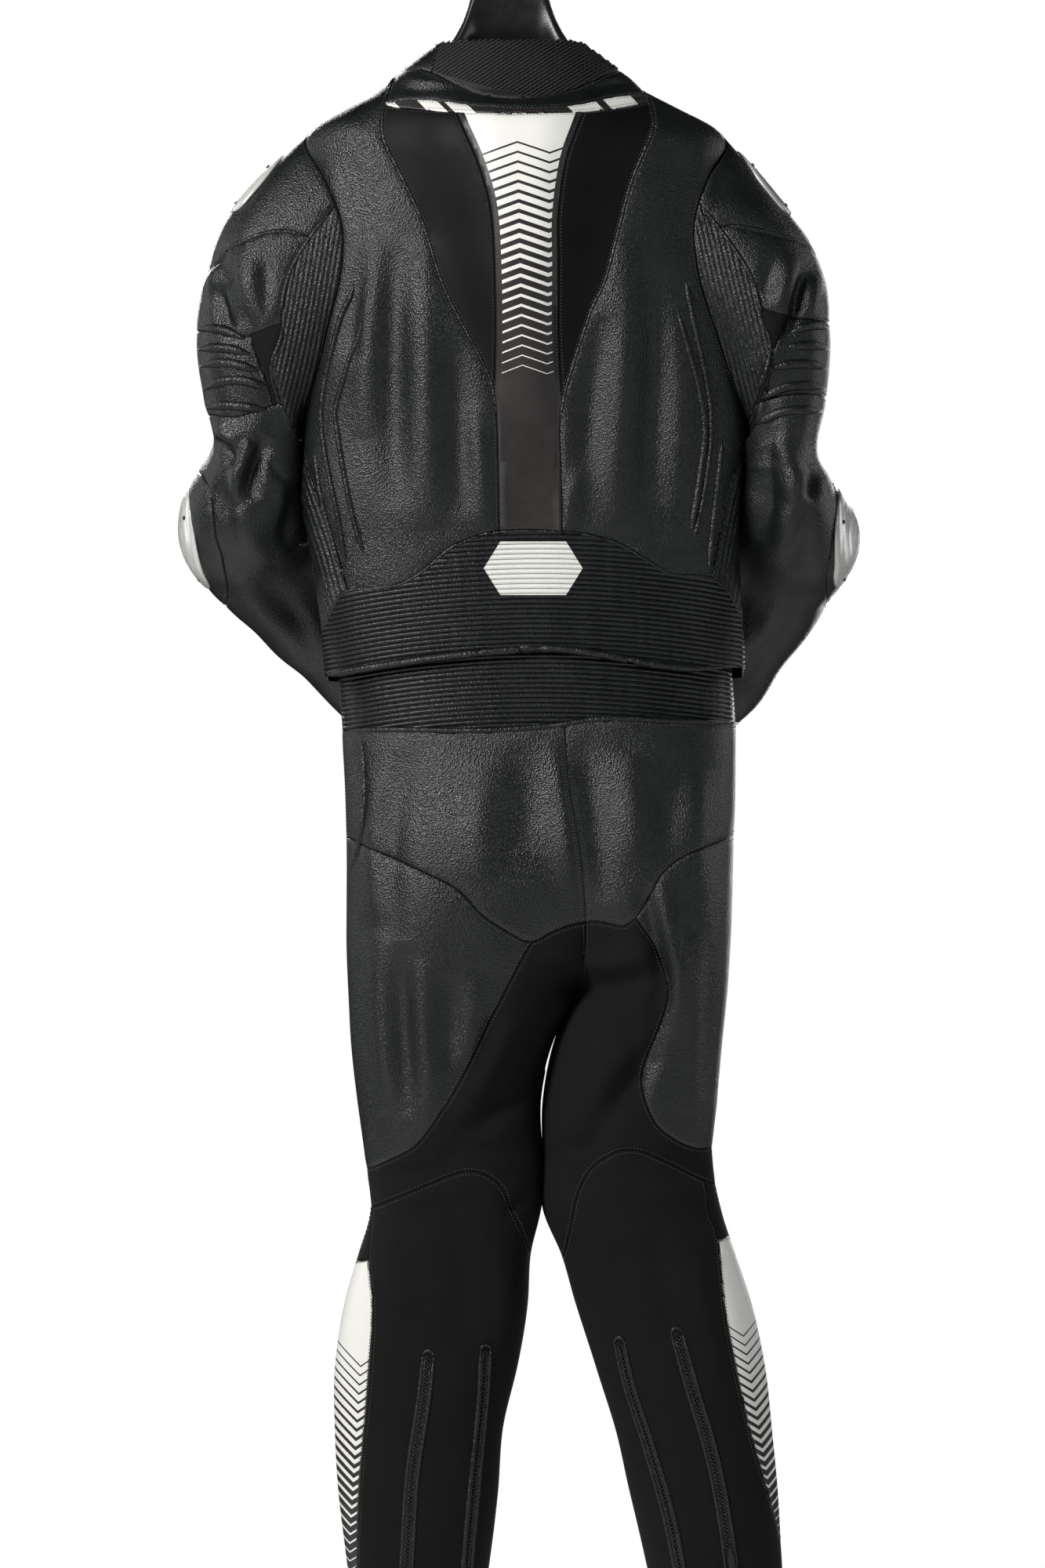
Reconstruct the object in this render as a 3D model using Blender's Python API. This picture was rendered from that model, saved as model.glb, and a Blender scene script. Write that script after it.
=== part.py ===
"""A two-piece leather motorcycle race suit hanging from a broad plastic hanger.

Metres, +Z up. The origin is the inside top of the hanger's hook, the suit's back faces -Y
and its front +Y, and +X is the wearer's right. Every height z is counted from the hook.
The cloth is four forms (torso, two sleeves, trousers), each a smooth function of two
numbers. One coarse net of triangles follows each form, seams split the net into panels,
and each panel becomes a wall of its own.
"""

import math

import bpy
import numpy as np

WALL = 0.0010
SEAM_GAP = 0.0004
LIFT = 0.0009  # how far a strip or plate lies above the cloth below it

# One ring of the torso for each row: centre and half width across, depth behind and before.
TORSO = {
    "z": (-0.162, -0.184, -0.200, -0.216, -0.232, -0.253, -0.304, -0.360, -0.440,
          -0.520, -0.568, -0.632, -0.680, -0.728, -0.768, -0.808, -0.840),
    "centre": (0.0000, 0.0008, 0.0008, 0.0008, 0.0016, 0.0056, 0.0064, 0.0088, 0.0112,
               0.0144, 0.0152, 0.0120, 0.0152, 0.0200, 0.0232, 0.0256, 0.0264),
    "half_width": (0.0704, 0.1008, 0.1200, 0.1392, 0.1696, 0.2048, 0.2192, 0.2248, 0.2272,
                   0.2280, 0.2272, 0.2248, 0.2192, 0.2160, 0.2144, 0.2128, 0.2128),
    "back": (0.052, 0.062, 0.068, 0.074, 0.079, 0.085, 0.092, 0.096, 0.098,
             0.094, 0.091, 0.087, 0.084, 0.084, 0.087, 0.092, 0.093),
    "front": (0.056, 0.064, 0.070, 0.076, 0.081, 0.086, 0.094, 0.098, 0.098,
              0.096, 0.094, 0.092, 0.090, 0.090, 0.091, 0.092, 0.093),
}

# The hard hump on the back: its middle, half width and rise.
HUMP = {
    "z": (-0.218, -0.229, -0.240, -0.268, -0.310, -0.352, -0.419, -0.508, -0.558),
    "centre": (0.0096, 0.0096, 0.0096, 0.0088, 0.0080, 0.0120, 0.0128, 0.0208, 0.0192),
    "half_width": (0.1408, 0.1408, 0.1408, 0.1392, 0.1160, 0.1008, 0.0792, 0.0416, 0.0352),
    "rise": (0.000, 0.012, 0.027, 0.035, 0.038, 0.037, 0.030, 0.012, 0.000),
}

# Half the armhole's width, as an angle of the torso ring, by height.
ARMHOLE = {
    "z": (-0.224, -0.253, -0.282, -0.310, -0.345, -0.393, -0.453, -0.519, -0.567, -0.600),
    "half_angle": (-0.30, 0.0, 0.34, 0.56, 0.70, 0.72, 0.60, 0.37, 0.0, -0.25),
}
ARMHOLE_TOP = -0.253
ARMHOLE_FOOT = -0.567

# Sections of each sleeve below the armhole: its outer and inner point in the back view,
# the depth of its middle and half its depth.
SLEEVE_LEFT = {
    "outer_x": (-0.2656, -0.2992, -0.3152, -0.3184, -0.3096, -0.3000, -0.3184, -0.3312, -0.3312,
                -0.3152, -0.2864, -0.2456, -0.2112, -0.1744, -0.1312),
    "outer_z": (-0.316, -0.370, -0.428, -0.480, -0.528, -0.568, -0.605, -0.640, -0.680,
                -0.710, -0.745, -0.777, -0.814, -0.849, -0.888),
    "inner_x": (-0.2160, -0.2168, -0.2176, -0.2176, -0.2176, -0.2176, -0.2168, -0.2160, -0.2144,
                -0.2072, -0.1944, -0.1696, -0.1408, -0.1104, -0.0768),
    "inner_z": (-0.570, -0.574, -0.578, -0.584, -0.590, -0.598, -0.607, -0.618, -0.631,
                -0.644, -0.659, -0.690, -0.728, -0.765, -0.806),
    "middle_y": (0.000, 0.000, 0.000, 0.000, 0.000, 0.002, 0.006, 0.014, 0.032,
                 0.066, 0.100, 0.128, 0.148, 0.160, 0.168),
    "half_depth": (0.076, 0.070, 0.066, 0.062, 0.060, 0.060, 0.062, 0.064, 0.062,
                   0.058, 0.054, 0.050, 0.047, 0.043, 0.040),
}
SLEEVE_RIGHT = {
    "outer_x": (0.2736, 0.3096, 0.3248, 0.3264, 0.3208, 0.3120, 0.3280, 0.3408, 0.3496,
                0.3456, 0.3240, 0.3008, 0.2656, 0.2352, 0.2048),
    "outer_z": (-0.325, -0.374, -0.428, -0.480, -0.528, -0.580, -0.609, -0.644, -0.680,
                -0.708, -0.738, -0.774, -0.816, -0.854, -0.890),
    "inner_x": (0.2472, 0.2480, 0.2480, 0.2480, 0.2480, 0.2480, 0.2472, 0.2464, 0.2456,
                0.2440, 0.2360, 0.2160, 0.1864, 0.1576, 0.1296),
    "inner_z": (-0.570, -0.574, -0.578, -0.584, -0.590, -0.598, -0.607, -0.618, -0.632,
                -0.646, -0.667, -0.699, -0.739, -0.778, -0.814),
    "middle_y": (0.000, 0.000, 0.000, 0.000, 0.000, 0.002, 0.006, 0.014, 0.032,
                 0.066, 0.100, 0.128, 0.148, 0.160, 0.168),
    "half_depth": (0.076, 0.070, 0.066, 0.062, 0.060, 0.060, 0.062, 0.064, 0.062,
                   0.058, 0.054, 0.050, 0.047, 0.043, 0.040),
}

# Rings of the trousers. Above the crotch both legs end at the centre line; below it each
# has an inner edge of its own. The crest is where a leg's ring is deepest.
TROUSERS = {
    "z": (-0.756, -0.808, -0.864, -0.920, -0.984, -1.040, -1.088, -1.130, -1.176,
          -1.240, -1.304, -1.356, -1.400, -1.448, -1.512, -1.576, -1.640, -1.704, -1.758),
    "left_outer": (-0.1712, -0.1736, -0.1704, -0.1672, -0.1656, -0.1656, -0.1656, -0.1640, -0.1616,
                   -0.1552, -0.1472, -0.1424, -0.1544, -0.1672, -0.1776, -0.1776, -0.1744, -0.1664, -0.1584),
    "right_outer": (0.2224, 0.2272, 0.2304, 0.2304, 0.2280, 0.2256, 0.2232, 0.2208, 0.2168,
                    0.2112, 0.2056, 0.2152, 0.2296, 0.2456, 0.2592, 0.2664, 0.2736, 0.2776, 0.2800),
    "left_inner": (0.0704, 0.0704, 0.0704, 0.0704, 0.0704, 0.0704, 0.0704, 0.0704, 0.0464,
                   0.0304, 0.0320, 0.0312, 0.0216, 0.0184, 0.0080, -0.0064, -0.0112, -0.0192, -0.0272),
    "right_inner": (0.0704, 0.0704, 0.0704, 0.0704, 0.0704, 0.0704, 0.0704, 0.0704, 0.0496,
                    0.0360, 0.0352, 0.0352, 0.0536, 0.0672, 0.0880, 0.1088, 0.1224, 0.1376, 0.1504),
    "left_crest": (0.0400, 0.0400, 0.0320, 0.0160, -0.0080, -0.0304, -0.0432, -0.0496, -0.0560,
                   -0.0624, -0.0592, -0.0576, -0.0672, -0.0736, -0.0840, -0.0920, -0.0928, -0.0928, -0.0928),
    "right_crest": (0.0560, 0.0600, 0.0760, 0.0960, 0.1200, 0.1408, 0.1488, 0.1472, 0.1360,
                    0.1248, 0.1200, 0.1232, 0.1408, 0.1552, 0.1728, 0.1872, 0.1984, 0.2080, 0.2152),
    "back": (0.0825, 0.084, 0.090, 0.098, 0.106, 0.107, 0.102, 0.096, 0.090,
             0.084, 0.078, 0.074, 0.075, 0.078, 0.080, 0.077, 0.072, 0.067, 0.063),
    "front": (0.0853, 0.085, 0.088, 0.090, 0.090, 0.088, 0.086, 0.085, 0.085,
              0.084, 0.082, 0.080, 0.077, 0.070, 0.064, 0.060, 0.057, 0.055, 0.053),
}
CENTRE_LINE = {
    "z": (-0.756, -0.860, -0.917, -0.993, -1.054, -1.100, -1.130),
    "x": (0.0496, 0.0560, 0.0600, 0.0720, 0.0768, 0.0760, 0.0704),
}
# How far round each leg its crest lies, as a share of the whole way.
INNER_SHARE = {"z": (-0.820, -0.864, -0.920, -0.984, -1.040, -1.130),
               "share": (0.015, 0.040, 0.080, 0.140, 0.190, 0.250)}
SEAT_START = -0.960
CROTCH = -1.130

SIDE = 0.5  # the side line, as a share of half the way round
ROUNDNESS = 0.8  # below 1 a ring is squarer than an ellipse

COLOURS = {
    "leather": (0.012, 0.014, 0.015, 1.0),
    "stretch": (0.010, 0.009, 0.009, 1.0),
    "knit": (0.016, 0.015, 0.016, 1.0),
    "white_leather": (0.78, 0.78, 0.74, 1.0),
    "plate": (0.70, 0.71, 0.72, 1.0),
    "zip": (0.012, 0.012, 0.012, 1.0),
    "plastic": (0.010, 0.010, 0.011, 1.0),
    "steel": (0.55, 0.56, 0.58, 1.0),
}
ROUGHNESS = {"leather": 0.42, "stretch": 0.9, "knit": 0.85, "white_leather": 0.35,
             "plate": 0.3, "zip": 0.6, "plastic": 0.3, "steel": 0.25}


# ---------------------------------------------------------------- forms

def smooth_at(knots, values, x):
    """A smooth curve through (knots, values), read at x and flat beyond its ends."""
    knots = np.asarray(knots, float)
    values = np.asarray(values, float)
    if knots[0] > knots[-1]:
        knots = knots[::-1]
        values = values[::-1]
    slopes = np.gradient(values, knots)
    x = np.clip(np.asarray(x, float), knots[0], knots[-1])
    i = np.clip(np.searchsorted(knots, x, side="right") - 1, 0, len(knots) - 2)
    step = knots[i + 1] - knots[i]
    t = (x - knots[i]) / step
    rise = 3 * t**2 - 2 * t**3
    start = (t**3 - 2 * t**2 + t) * step * slopes[i]
    end = (t**3 - t**2) * step * slopes[i + 1]
    return values[i] * (1 - rise) + values[i + 1] * rise + start + end


def ease(t):
    t = np.clip(t, 0.0, 1.0)
    return t * t * (3 - 2 * t)


def signed_power(value, power):
    return np.sign(value) * np.abs(value) ** power


def hump_rise(x, z):
    """How far the hump stands out behind the back at (x, z)."""
    centre = smooth_at(HUMP["z"], HUMP["centre"], z)
    half = smooth_at(HUMP["z"], HUMP["half_width"], z)
    height = smooth_at(HUMP["z"], HUMP["rise"], z)
    inside = (z <= HUMP["z"][0]) & (z >= HUMP["z"][-1])
    return np.where(inside, np.maximum(height, 0) * ease(1.15 * (1 - np.abs(x - centre) / half)), 0.0)


def torso(uv):
    """u runs -1..1 from the left front edge round the back (0) to the right front edge; v is z."""
    u, z = uv[:, 0], uv[:, 1]
    angle = u * math.pi
    half = smooth_at(TORSO["z"], TORSO["half_width"], z)
    depth = np.where(np.cos(angle) > 0, smooth_at(TORSO["z"], TORSO["back"], z),
                     smooth_at(TORSO["z"], TORSO["front"], z))
    x = smooth_at(TORSO["z"], TORSO["centre"], z) + half * signed_power(np.sin(angle), ROUNDNESS)
    y = -depth * signed_power(np.cos(angle), ROUNDNESS)
    y -= np.where(np.cos(angle) > 0, hump_rise(x, z), 0.0)
    return np.stack([x, y, z], axis=1)


def armhole_ring(side, phi):
    """The armhole's edge: phi is 0 at the shoulder, 180 at the armpit, negative at the back."""
    middle = (ARMHOLE_TOP + ARMHOLE_FOOT) / 2
    z = middle + (ARMHOLE_TOP - middle) * np.cos(phi)
    half = np.maximum(smooth_at(ARMHOLE["z"], ARMHOLE["half_angle"], z), 0.0)
    u = side * (0.5 + np.sign(phi) * half / math.pi)
    return torso(np.stack([u, z], axis=1))


def sleeve(side, uv):
    """u is the angle round the sleeve, v the section's number, 0 at the armhole."""
    phi, v = uv[:, 0], uv[:, 1]
    table = SLEEVE_LEFT if side < 0 else SLEEVE_RIGHT
    outer = np.stack([table["outer_x"], table["middle_y"], table["outer_z"]], axis=1)
    inner = np.stack([table["inner_x"], table["middle_y"], table["inner_z"]], axis=1)
    middle = (outer + inner) / 2
    across = (outer - inner) / 2
    along = np.gradient(middle, axis=0)
    depth = np.cross(along, across)
    depth /= np.linalg.norm(depth, axis=1, keepdims=True)
    depth *= np.sign(depth[:, 1:2]) * np.array(table["half_depth"])[:, None]
    ring_cos = signed_power(np.cos(phi), 0.9)[None, :, None]
    ring_sin = signed_power(np.sin(phi), 0.9)[None, :, None]
    rings = middle[:, None] + across[:, None] * ring_cos + depth[:, None] * ring_sin
    rings = np.concatenate([armhole_ring(side, phi)[None], rings])
    slopes = np.gradient(rings, axis=0)
    i = np.clip(v.astype(int), 0, len(rings) - 2)
    t = (v - i)[:, None]
    k = np.arange(len(phi))
    rise = 3 * t**2 - 2 * t**3
    start = (t**3 - 2 * t**2 + t) * slopes[i, k]
    end = (t**3 - t**2) * slopes[i + 1, k]
    return rings[i, k] * (1 - rise) + rings[i + 1, k] * rise + start + end


def trousers(uv, side):
    """|u| runs 0..1 from the centre back round the outer side to the centre front; v is z."""
    u, z = np.abs(uv[:, 0]), uv[:, 1]
    column = {}
    for name in ("outer", "inner", "crest"):
        left = smooth_at(TROUSERS["z"], TROUSERS["left_" + name], z)
        right = smooth_at(TROUSERS["z"], TROUSERS["right_" + name], z)
        column[name] = np.where(side < 0, left, right)
    centre = smooth_at(CENTRE_LINE["z"], CENTRE_LINE["x"], z)
    column["inner"] = np.where(z > CROTCH, centre, column["inner"])
    parted = np.clip((SEAT_START - z) / (SEAT_START - CROTCH), 0, 1)
    share = smooth_at(INNER_SHARE["z"], INNER_SHARE["share"], z)
    along = np.minimum(u, 1 - u)
    quarters = np.where(along < share, along / share, 1 + (along - share) / (SIDE - share))
    cosine = np.cos(math.pi / 2 * quarters)
    toward_inner = np.maximum(cosine, 0)
    toward_outer = np.maximum(-cosine, 0) ** ROUNDNESS
    x = (column["crest"] + (column["inner"] - column["crest"]) * toward_inner
         + (column["outer"] - column["crest"]) * toward_outer)
    behind = u < SIDE
    depth = np.where(behind, -smooth_at(TROUSERS["z"], TROUSERS["back"], z),
                     smooth_at(TROUSERS["z"], TROUSERS["front"], z))
    # Toward the centre line the legs' rings stay as deep as the seat joins them there.
    hollow = np.where(cosine > 0, parted * cosine, cosine)
    y = depth * np.sqrt(np.maximum(1 - hollow**2, 0)) ** ROUNDNESS
    return np.stack([x, y, z], axis=1)


# ---------------------------------------------------------------- seams

def drawn(points):
    """A dense smooth line through the points, carried on straight beyond both ends."""
    points = np.array(points, float)
    knots = np.arange(len(points))
    fine = np.linspace(0, len(points) - 1, 6 * (len(points) - 1) + 1)
    line = np.stack([smooth_at(knots, points[:, 0], fine), smooth_at(knots, points[:, 1], fine)], axis=1)
    far = 0.5
    head = line[0] + (line[0] - line[1]) / np.linalg.norm(line[0] - line[1]) * far
    tail = line[-1] + (line[-1] - line[-2]) / np.linalg.norm(line[-1] - line[-2]) * far
    return np.concatenate([[head], line, [tail]])


def left_of(points):
    """A function of place that is the distance to the line, positive to the left of its travel."""
    line = drawn(points)
    start = line[:-1]
    run = line[1:] - start
    length2 = (run**2).sum(axis=1)

    def distance(place, _uv):
        q = place[:, None, [0, 2]] - start[None]
        t = np.clip((q * run).sum(axis=2) / length2, 0, 1)
        away = q - t[..., None] * run
        gap = np.sqrt((away**2).sum(axis=2))
        best = gap.argmin(axis=1)
        k = np.arange(len(place))
        turn = run[best, 0] * q[k, best, 1] - run[best, 1] * q[k, best, 0]
        return np.where(turn >= 0, gap[k, best], -gap[k, best])

    return distance


# Seams of the jacket's back, each listed top to bottom or left to right.
COLLAR_ARC = ((-0.128, -0.187), (-0.104, -0.193), (-0.079, -0.198), (-0.040, -0.218), (0.009, -0.226),
              (0.064, -0.216), (0.111, -0.193), (0.130, -0.187), (0.152, -0.184))
COLLAR_EDGE = ((-0.068, -0.144), (-0.072, -0.166), (-0.079, -0.198), (-0.082, -0.216))
NECK_FRONT = ((-0.144, -0.187), (-0.104, -0.192), (-0.048, -0.214), (0.0, -0.222), (0.048, -0.214),
              (0.108, -0.194), (0.144, -0.187))
BACK_LEFT_EDGE = ((-0.110, -0.160), (-0.116, -0.194), (-0.126, -0.228), (-0.129, -0.252),
                  (-0.126, -0.272), (-0.107, -0.310), (-0.088, -0.352), (-0.066, -0.419),
                  (-0.040, -0.470), (-0.019, -0.512), (-0.013, -0.548), (-0.011, -0.600),
                  (-0.010, -0.672))
BACK_RIGHT_EDGE = ((0.130, -0.168), (0.134, -0.210), (0.142, -0.224), (0.146, -0.244),
                   (0.143, -0.264), (0.122, -0.316), (0.098, -0.408), (0.082, -0.444),
                   (0.058, -0.518), (0.051, -0.556), (0.052, -0.600), (0.053, -0.672))
BAND_TOP = ((-0.144, -0.227), (-0.122, -0.229), (-0.096, -0.227), (-0.064, -0.230), (-0.040, -0.234),
            (0.008, -0.237), (0.048, -0.236), (0.072, -0.233),
            (0.100, -0.225), (0.120, -0.221), (0.140, -0.219), (0.160, -0.214))
BAND_FOOT = ((-0.144, -0.230), (-0.125, -0.233), (-0.088, -0.238), (-0.048, -0.242), (0.008, -0.244),
             (0.066, -0.242), (0.112, -0.235), (0.145, -0.226),
             (0.168, -0.219))
STRIP_LEFT = ((-0.060, -0.200), (-0.053, -0.242), (-0.032, -0.293), (-0.019, -0.340),
              (-0.015, -0.397), (-0.014, -0.472), (-0.016, -0.536), (-0.022, -0.584), (-0.040, -0.672))
STRIP_RIGHT = ((0.080, -0.200), (0.074, -0.242), (0.058, -0.290), (0.050, -0.346), (0.050, -0.397),
               (0.050, -0.472), (0.054, -0.536), (0.062, -0.584), (0.080, -0.672))
LUMBAR_TOP = ((-0.196, -0.789), (-0.190, -0.765), (-0.178, -0.739), (-0.166, -0.724),
              (-0.117, -0.720), (-0.089, -0.706), (-0.060, -0.682), (-0.031, -0.669), (-0.009, -0.665),
              (0.022, -0.664), (0.052, -0.665), (0.078, -0.668), (0.110, -0.677), (0.140, -0.694),
              (0.164, -0.708), (0.199, -0.710), (0.220, -0.722),
              (0.234, -0.748), (0.239, -0.789))
SIDE_LEFT_EDGE = ((-0.232, -0.528), (-0.215, -0.567), (-0.200, -0.614), (-0.177, -0.680),
                  (-0.163, -0.732))
SIDE_RIGHT_EDGE = ((0.260, -0.512), (0.242, -0.556), (0.227, -0.610), (0.213, -0.672), (0.204, -0.720))
HEM = ((-0.216, -0.819), (-0.186, -0.810), (-0.141, -0.802), (-0.052, -0.790), (0.037, -0.783),
       (0.096, -0.790), (0.167, -0.802), (0.235, -0.802), (0.264, -0.802))
HEM_FRONT = ((-0.216, -0.814), (-0.088, -0.818), (0.032, -0.819), (0.144, -0.816), (0.264, -0.810))

# Seams of each sleeve.
SLEEVE_SEAMS = {
    -1: {
        "fan": ((-0.173, -0.330), (-0.182, -0.342), (-0.201, -0.365), (-0.221, -0.399),
                (-0.230, -0.433), (-0.231, -0.467), (-0.242, -0.499), (-0.234, -0.530),
                (-0.219, -0.562), (-0.204, -0.588)),
        "shoulder": ((-0.310, -0.396), (-0.290, -0.379), (-0.258, -0.365), (-0.230, -0.360),
                     (-0.204, -0.365), (-0.174, -0.374)),
        "upper_arm": ((-0.331, -0.462), (-0.314, -0.459), (-0.288, -0.464), (-0.267, -0.467),
                      (-0.247, -0.459), (-0.231, -0.455), (-0.200, -0.450)),
        "insert": ((-0.266, -0.440), (-0.261, -0.470), (-0.253, -0.496), (-0.243, -0.524),
                   (-0.234, -0.556)),
        "bellows": ((-0.328, -0.538), (-0.307, -0.544), (-0.280, -0.548), (-0.256, -0.542),
                    (-0.222, -0.530)),
        "elbow": ((-0.338, -0.592), (-0.314, -0.605), (-0.304, -0.632), (-0.299, -0.669),
                  (-0.293, -0.691), (-0.290, -0.729), (-0.310, -0.760)),
    },
    1: {
        "fan": ((0.184, -0.320), (0.194, -0.333), (0.213, -0.358), (0.230, -0.382), (0.246, -0.410),
                (0.255, -0.444), (0.264, -0.477), (0.258, -0.507),
                (0.248, -0.536), (0.240, -0.558), (0.227, -0.584)),
        "shoulder": ((0.184, -0.370), (0.220, -0.354), (0.252, -0.358), (0.282, -0.365),
                     (0.304, -0.373), (0.331, -0.392)),
        "upper_arm": ((0.240, -0.434), (0.264, -0.442), (0.282, -0.446), (0.304, -0.449),
                      (0.328, -0.451), (0.348, -0.454)),
        "insert": ((0.290, -0.432), (0.280, -0.456), (0.268, -0.484), (0.259, -0.524), (0.250, -0.560)),
        "bellows": ((0.232, -0.542), (0.260, -0.531), (0.288, -0.525), (0.312, -0.525),
                    (0.344, -0.530)),
        "elbow": ((0.342, -0.556), (0.320, -0.586), (0.331, -0.610), (0.334, -0.640), (0.330, -0.672),
                  (0.325, -0.708), (0.330, -0.744), (0.352, -0.760)),
    },
}

# Seams of the trousers.
WAIST_SEAM = ((-0.216, -0.868), (-0.172, -0.866), (-0.111, -0.865), (-0.034, -0.866), (0.037, -0.862),
              (0.096, -0.854), (0.155, -0.856), (0.232, -0.858), (0.272, -0.859))
LEG_SEAMS = {
    -1: {
        "seat": ((-0.200, -0.962), (-0.148, -0.982), (-0.093, -1.006), (-0.053, -1.026),
                 (-0.029, -1.051), (-0.004, -1.068), (0.021, -1.080),
                 (0.045, -1.069), (0.066, -1.062), (0.088, -1.059)),
        "thigh": ((0.032, -1.064), (0.008, -1.106), (-0.022, -1.165), (-0.044, -1.210),
                  (-0.066, -1.247), (-0.093, -1.284), (-0.118, -1.299),
                  (-0.145, -1.311), (-0.176, -1.322)),
        "knee": ((-0.168, -1.356), (-0.139, -1.350), (-0.078, -1.324), (-0.040, -1.312),
                 (-0.010, -1.326), (0.009, -1.366), (0.018, -1.387), (0.032, -1.420)),
        "outer": ((-0.134, -1.304), (-0.139, -1.350), (-0.141, -1.376), (-0.142, -1.404),
                  (-0.137, -1.453), (-0.142, -1.526), (-0.151, -1.623),
                  (-0.154, -1.715), (-0.154, -1.768)),
        "rib": ((-0.176, -1.406), (-0.156, -1.405), (-0.142, -1.402), (-0.124, -1.399)),
    },
    1: {
        "seat": ((0.068, -1.062), (0.086, -1.059), (0.104, -1.062), (0.117, -1.063), (0.132, -1.050),
                 (0.143, -1.030), (0.157, -1.008),
                 (0.182, -0.990), (0.226, -0.974), (0.256, -0.962)),
        "thigh": ((0.125, -1.052), (0.146, -1.084), (0.160, -1.124), (0.154, -1.160), (0.138, -1.200),
                  (0.134, -1.228), (0.147, -1.262),
                  (0.166, -1.279), (0.188, -1.289), (0.207, -1.290), (0.232, -1.290)),
        "knee": ((0.050, -1.416), (0.060, -1.380), (0.070, -1.331), (0.086, -1.306), (0.121, -1.290),
                 (0.164, -1.305), (0.204, -1.326), (0.232, -1.338)),
        "outer": ((0.194, -1.288), (0.198, -1.326), (0.202, -1.356), (0.211, -1.382), (0.218, -1.453),
                  (0.232, -1.526), (0.247, -1.589),
                  (0.268, -1.660), (0.288, -1.728)),
        "rib": ((0.200, -1.386), (0.213, -1.382), (0.225, -1.380), (0.240, -1.378)),
    },
}

# Calf zips: the line of each, from its rounded top to the hem, and where its slider is.
CALF_ZIPS = {
    # side, the line in the back view, how far down it the slider is, and the lift off the form
    "left_outer": (-1, ((-0.082, -1.498), (-0.087, -1.544), (-0.098, -1.616), (-0.103, -1.688),
    (-0.106, -1.749)), 0.93, LIFT),
    "left_inner": (-1, ((-0.024, -1.493), (-0.027, -1.544), (-0.034, -1.616), (-0.041, -1.688),
    (-0.046, -1.749)), 0.93, -0.0008),
    "right_inner": (1, ((0.111, -1.485), (0.122, -1.532), (0.142, -1.594), (0.162, -1.664),
    (0.179, -1.749)), 0.93, LIFT),
    "right_outer": (1, ((0.169, -1.475), (0.185, -1.532), (0.205, -1.600), (0.219, -1.672),
    (0.229, -1.749)), 0.80, LIFT),
}
ZIP_HALF_WIDTH = 0.006
ZIP_HEIGHT = 0.0022
SLIDER_HEIGHT = 0.0052
SLIDER_LENGTH = 0.013
SLIDER_BEVEL = 0.0006
ZIP_STEP = 0.022
TAB_LENGTH = 0.026
TAB_HALF_WIDTH = 0.0032
TAB_THICKNESS = 0.0016
TAB_CLEARANCE = 0.0003


# ---------------------------------------------------------------- the net of triangles

class Net:
    """Triangles over one or more forms; each vertex keeps its place in every form it is on."""

    def __init__(self):
        self.uv = np.zeros((0, 3, 2))
        self.seam = np.zeros(0, int)
        self.tri = np.zeros((0, 3), int)
        self.form = np.zeros(0, int)
        self.panel = np.zeros(0, object)

    def add(self, form, uv, tri, panel):
        """Adds triangles whose corners below len(self.uv) are shared with what is there."""
        fresh = np.full((len(uv), 3, 2), np.nan)
        fresh[:, form] = uv
        self.uv = np.concatenate([self.uv, fresh])
        self.seam = np.concatenate([self.seam, np.zeros(len(uv), int)])
        self.tri = np.concatenate([self.tri, tri])
        self.form = np.concatenate([self.form, np.full(len(tri), form)])
        self.panel = np.concatenate([self.panel, np.full(len(tri), panel, object)])

    def drop(self, panel):
        keep = self.panel != panel
        self.tri, self.form, self.panel = self.tri[keep], self.form[keep], self.panel[keep]


def cut(net, form, surface, panel, seam, below, above, snap=0.009, locked_snap=0.0035):
    """Splits one panel's triangles along seam = 0 and names the two sides."""
    active = (net.form == form) & (net.panel == panel)
    if not active.any():
        raise ValueError("no panel " + panel)
    used = np.unique(net.tri[active])
    uv = net.uv[used, form]
    value = np.zeros(len(net.uv))
    value[used] = seam(surface(uv), uv)
    near = used[(np.abs(value[used]) < snap) & (net.seam[used] == 0)]
    if len(near):
        here = net.uv[near, form]
        step = np.array([0.002, 0.0005]) if form == 0 else np.array([0.004, 0.004])
        slope = np.stack([
            (seam(surface(here + step * axis), here + step * axis) - value[near]) / step[i]
            for i, axis in enumerate(np.eye(2))
        ], axis=1)
        stretch = np.stack([
            np.linalg.norm(surface(here + step * axis) - surface(here), axis=1) / step[i]
            for i, axis in enumerate(np.eye(2))
        ], axis=1)
        slope = slope / stretch**2
        steep = (slope**2 * stretch**2).sum(axis=1)
        move = -value[near, None] * slope / np.maximum(steep, 1e-9)[:, None]
        size = np.linalg.norm(move * stretch, axis=1)
        edge = border(net)[near]
        good = (size < 1.6 * snap) & ~edge
        net.uv[near[good], form] += move[good]
        net.seam[near[good]] = 1
        value[near[good]] = 0
    value[used[(np.abs(value[used]) < locked_snap)]] = 0
    pairs = net.tri[active][:, [0, 1, 1, 2, 2, 0]].reshape(-1, 2)
    crossing = value[pairs[:, 0]] * value[pairs[:, 1]] < 0
    pairs = np.unique(np.sort(pairs[crossing], axis=1), axis=0)
    if len(pairs):
        split(net, pairs, value)
        value = np.concatenate([value, np.zeros(len(pairs))])
    active = (net.form == form) & (net.panel == panel)
    middle = value[net.tri[active]].sum(axis=1)
    flat = middle == 0
    if flat.any():
        centre = net.uv[net.tri[active][flat], form].mean(axis=1)
        middle[flat] = seam(surface(centre), centre)
    net.panel[active] = np.where(middle < 0, below, above)


def border(net):
    """Which vertices lie on an edge that only one triangle has."""
    pairs = np.sort(net.tri[:, [0, 1, 1, 2, 2, 0]].reshape(-1, 2), axis=1)
    unique, count = np.unique(pairs, axis=0, return_counts=True)
    found = np.zeros(len(net.uv), bool)
    found[unique[count == 1]] = True
    return found


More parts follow.
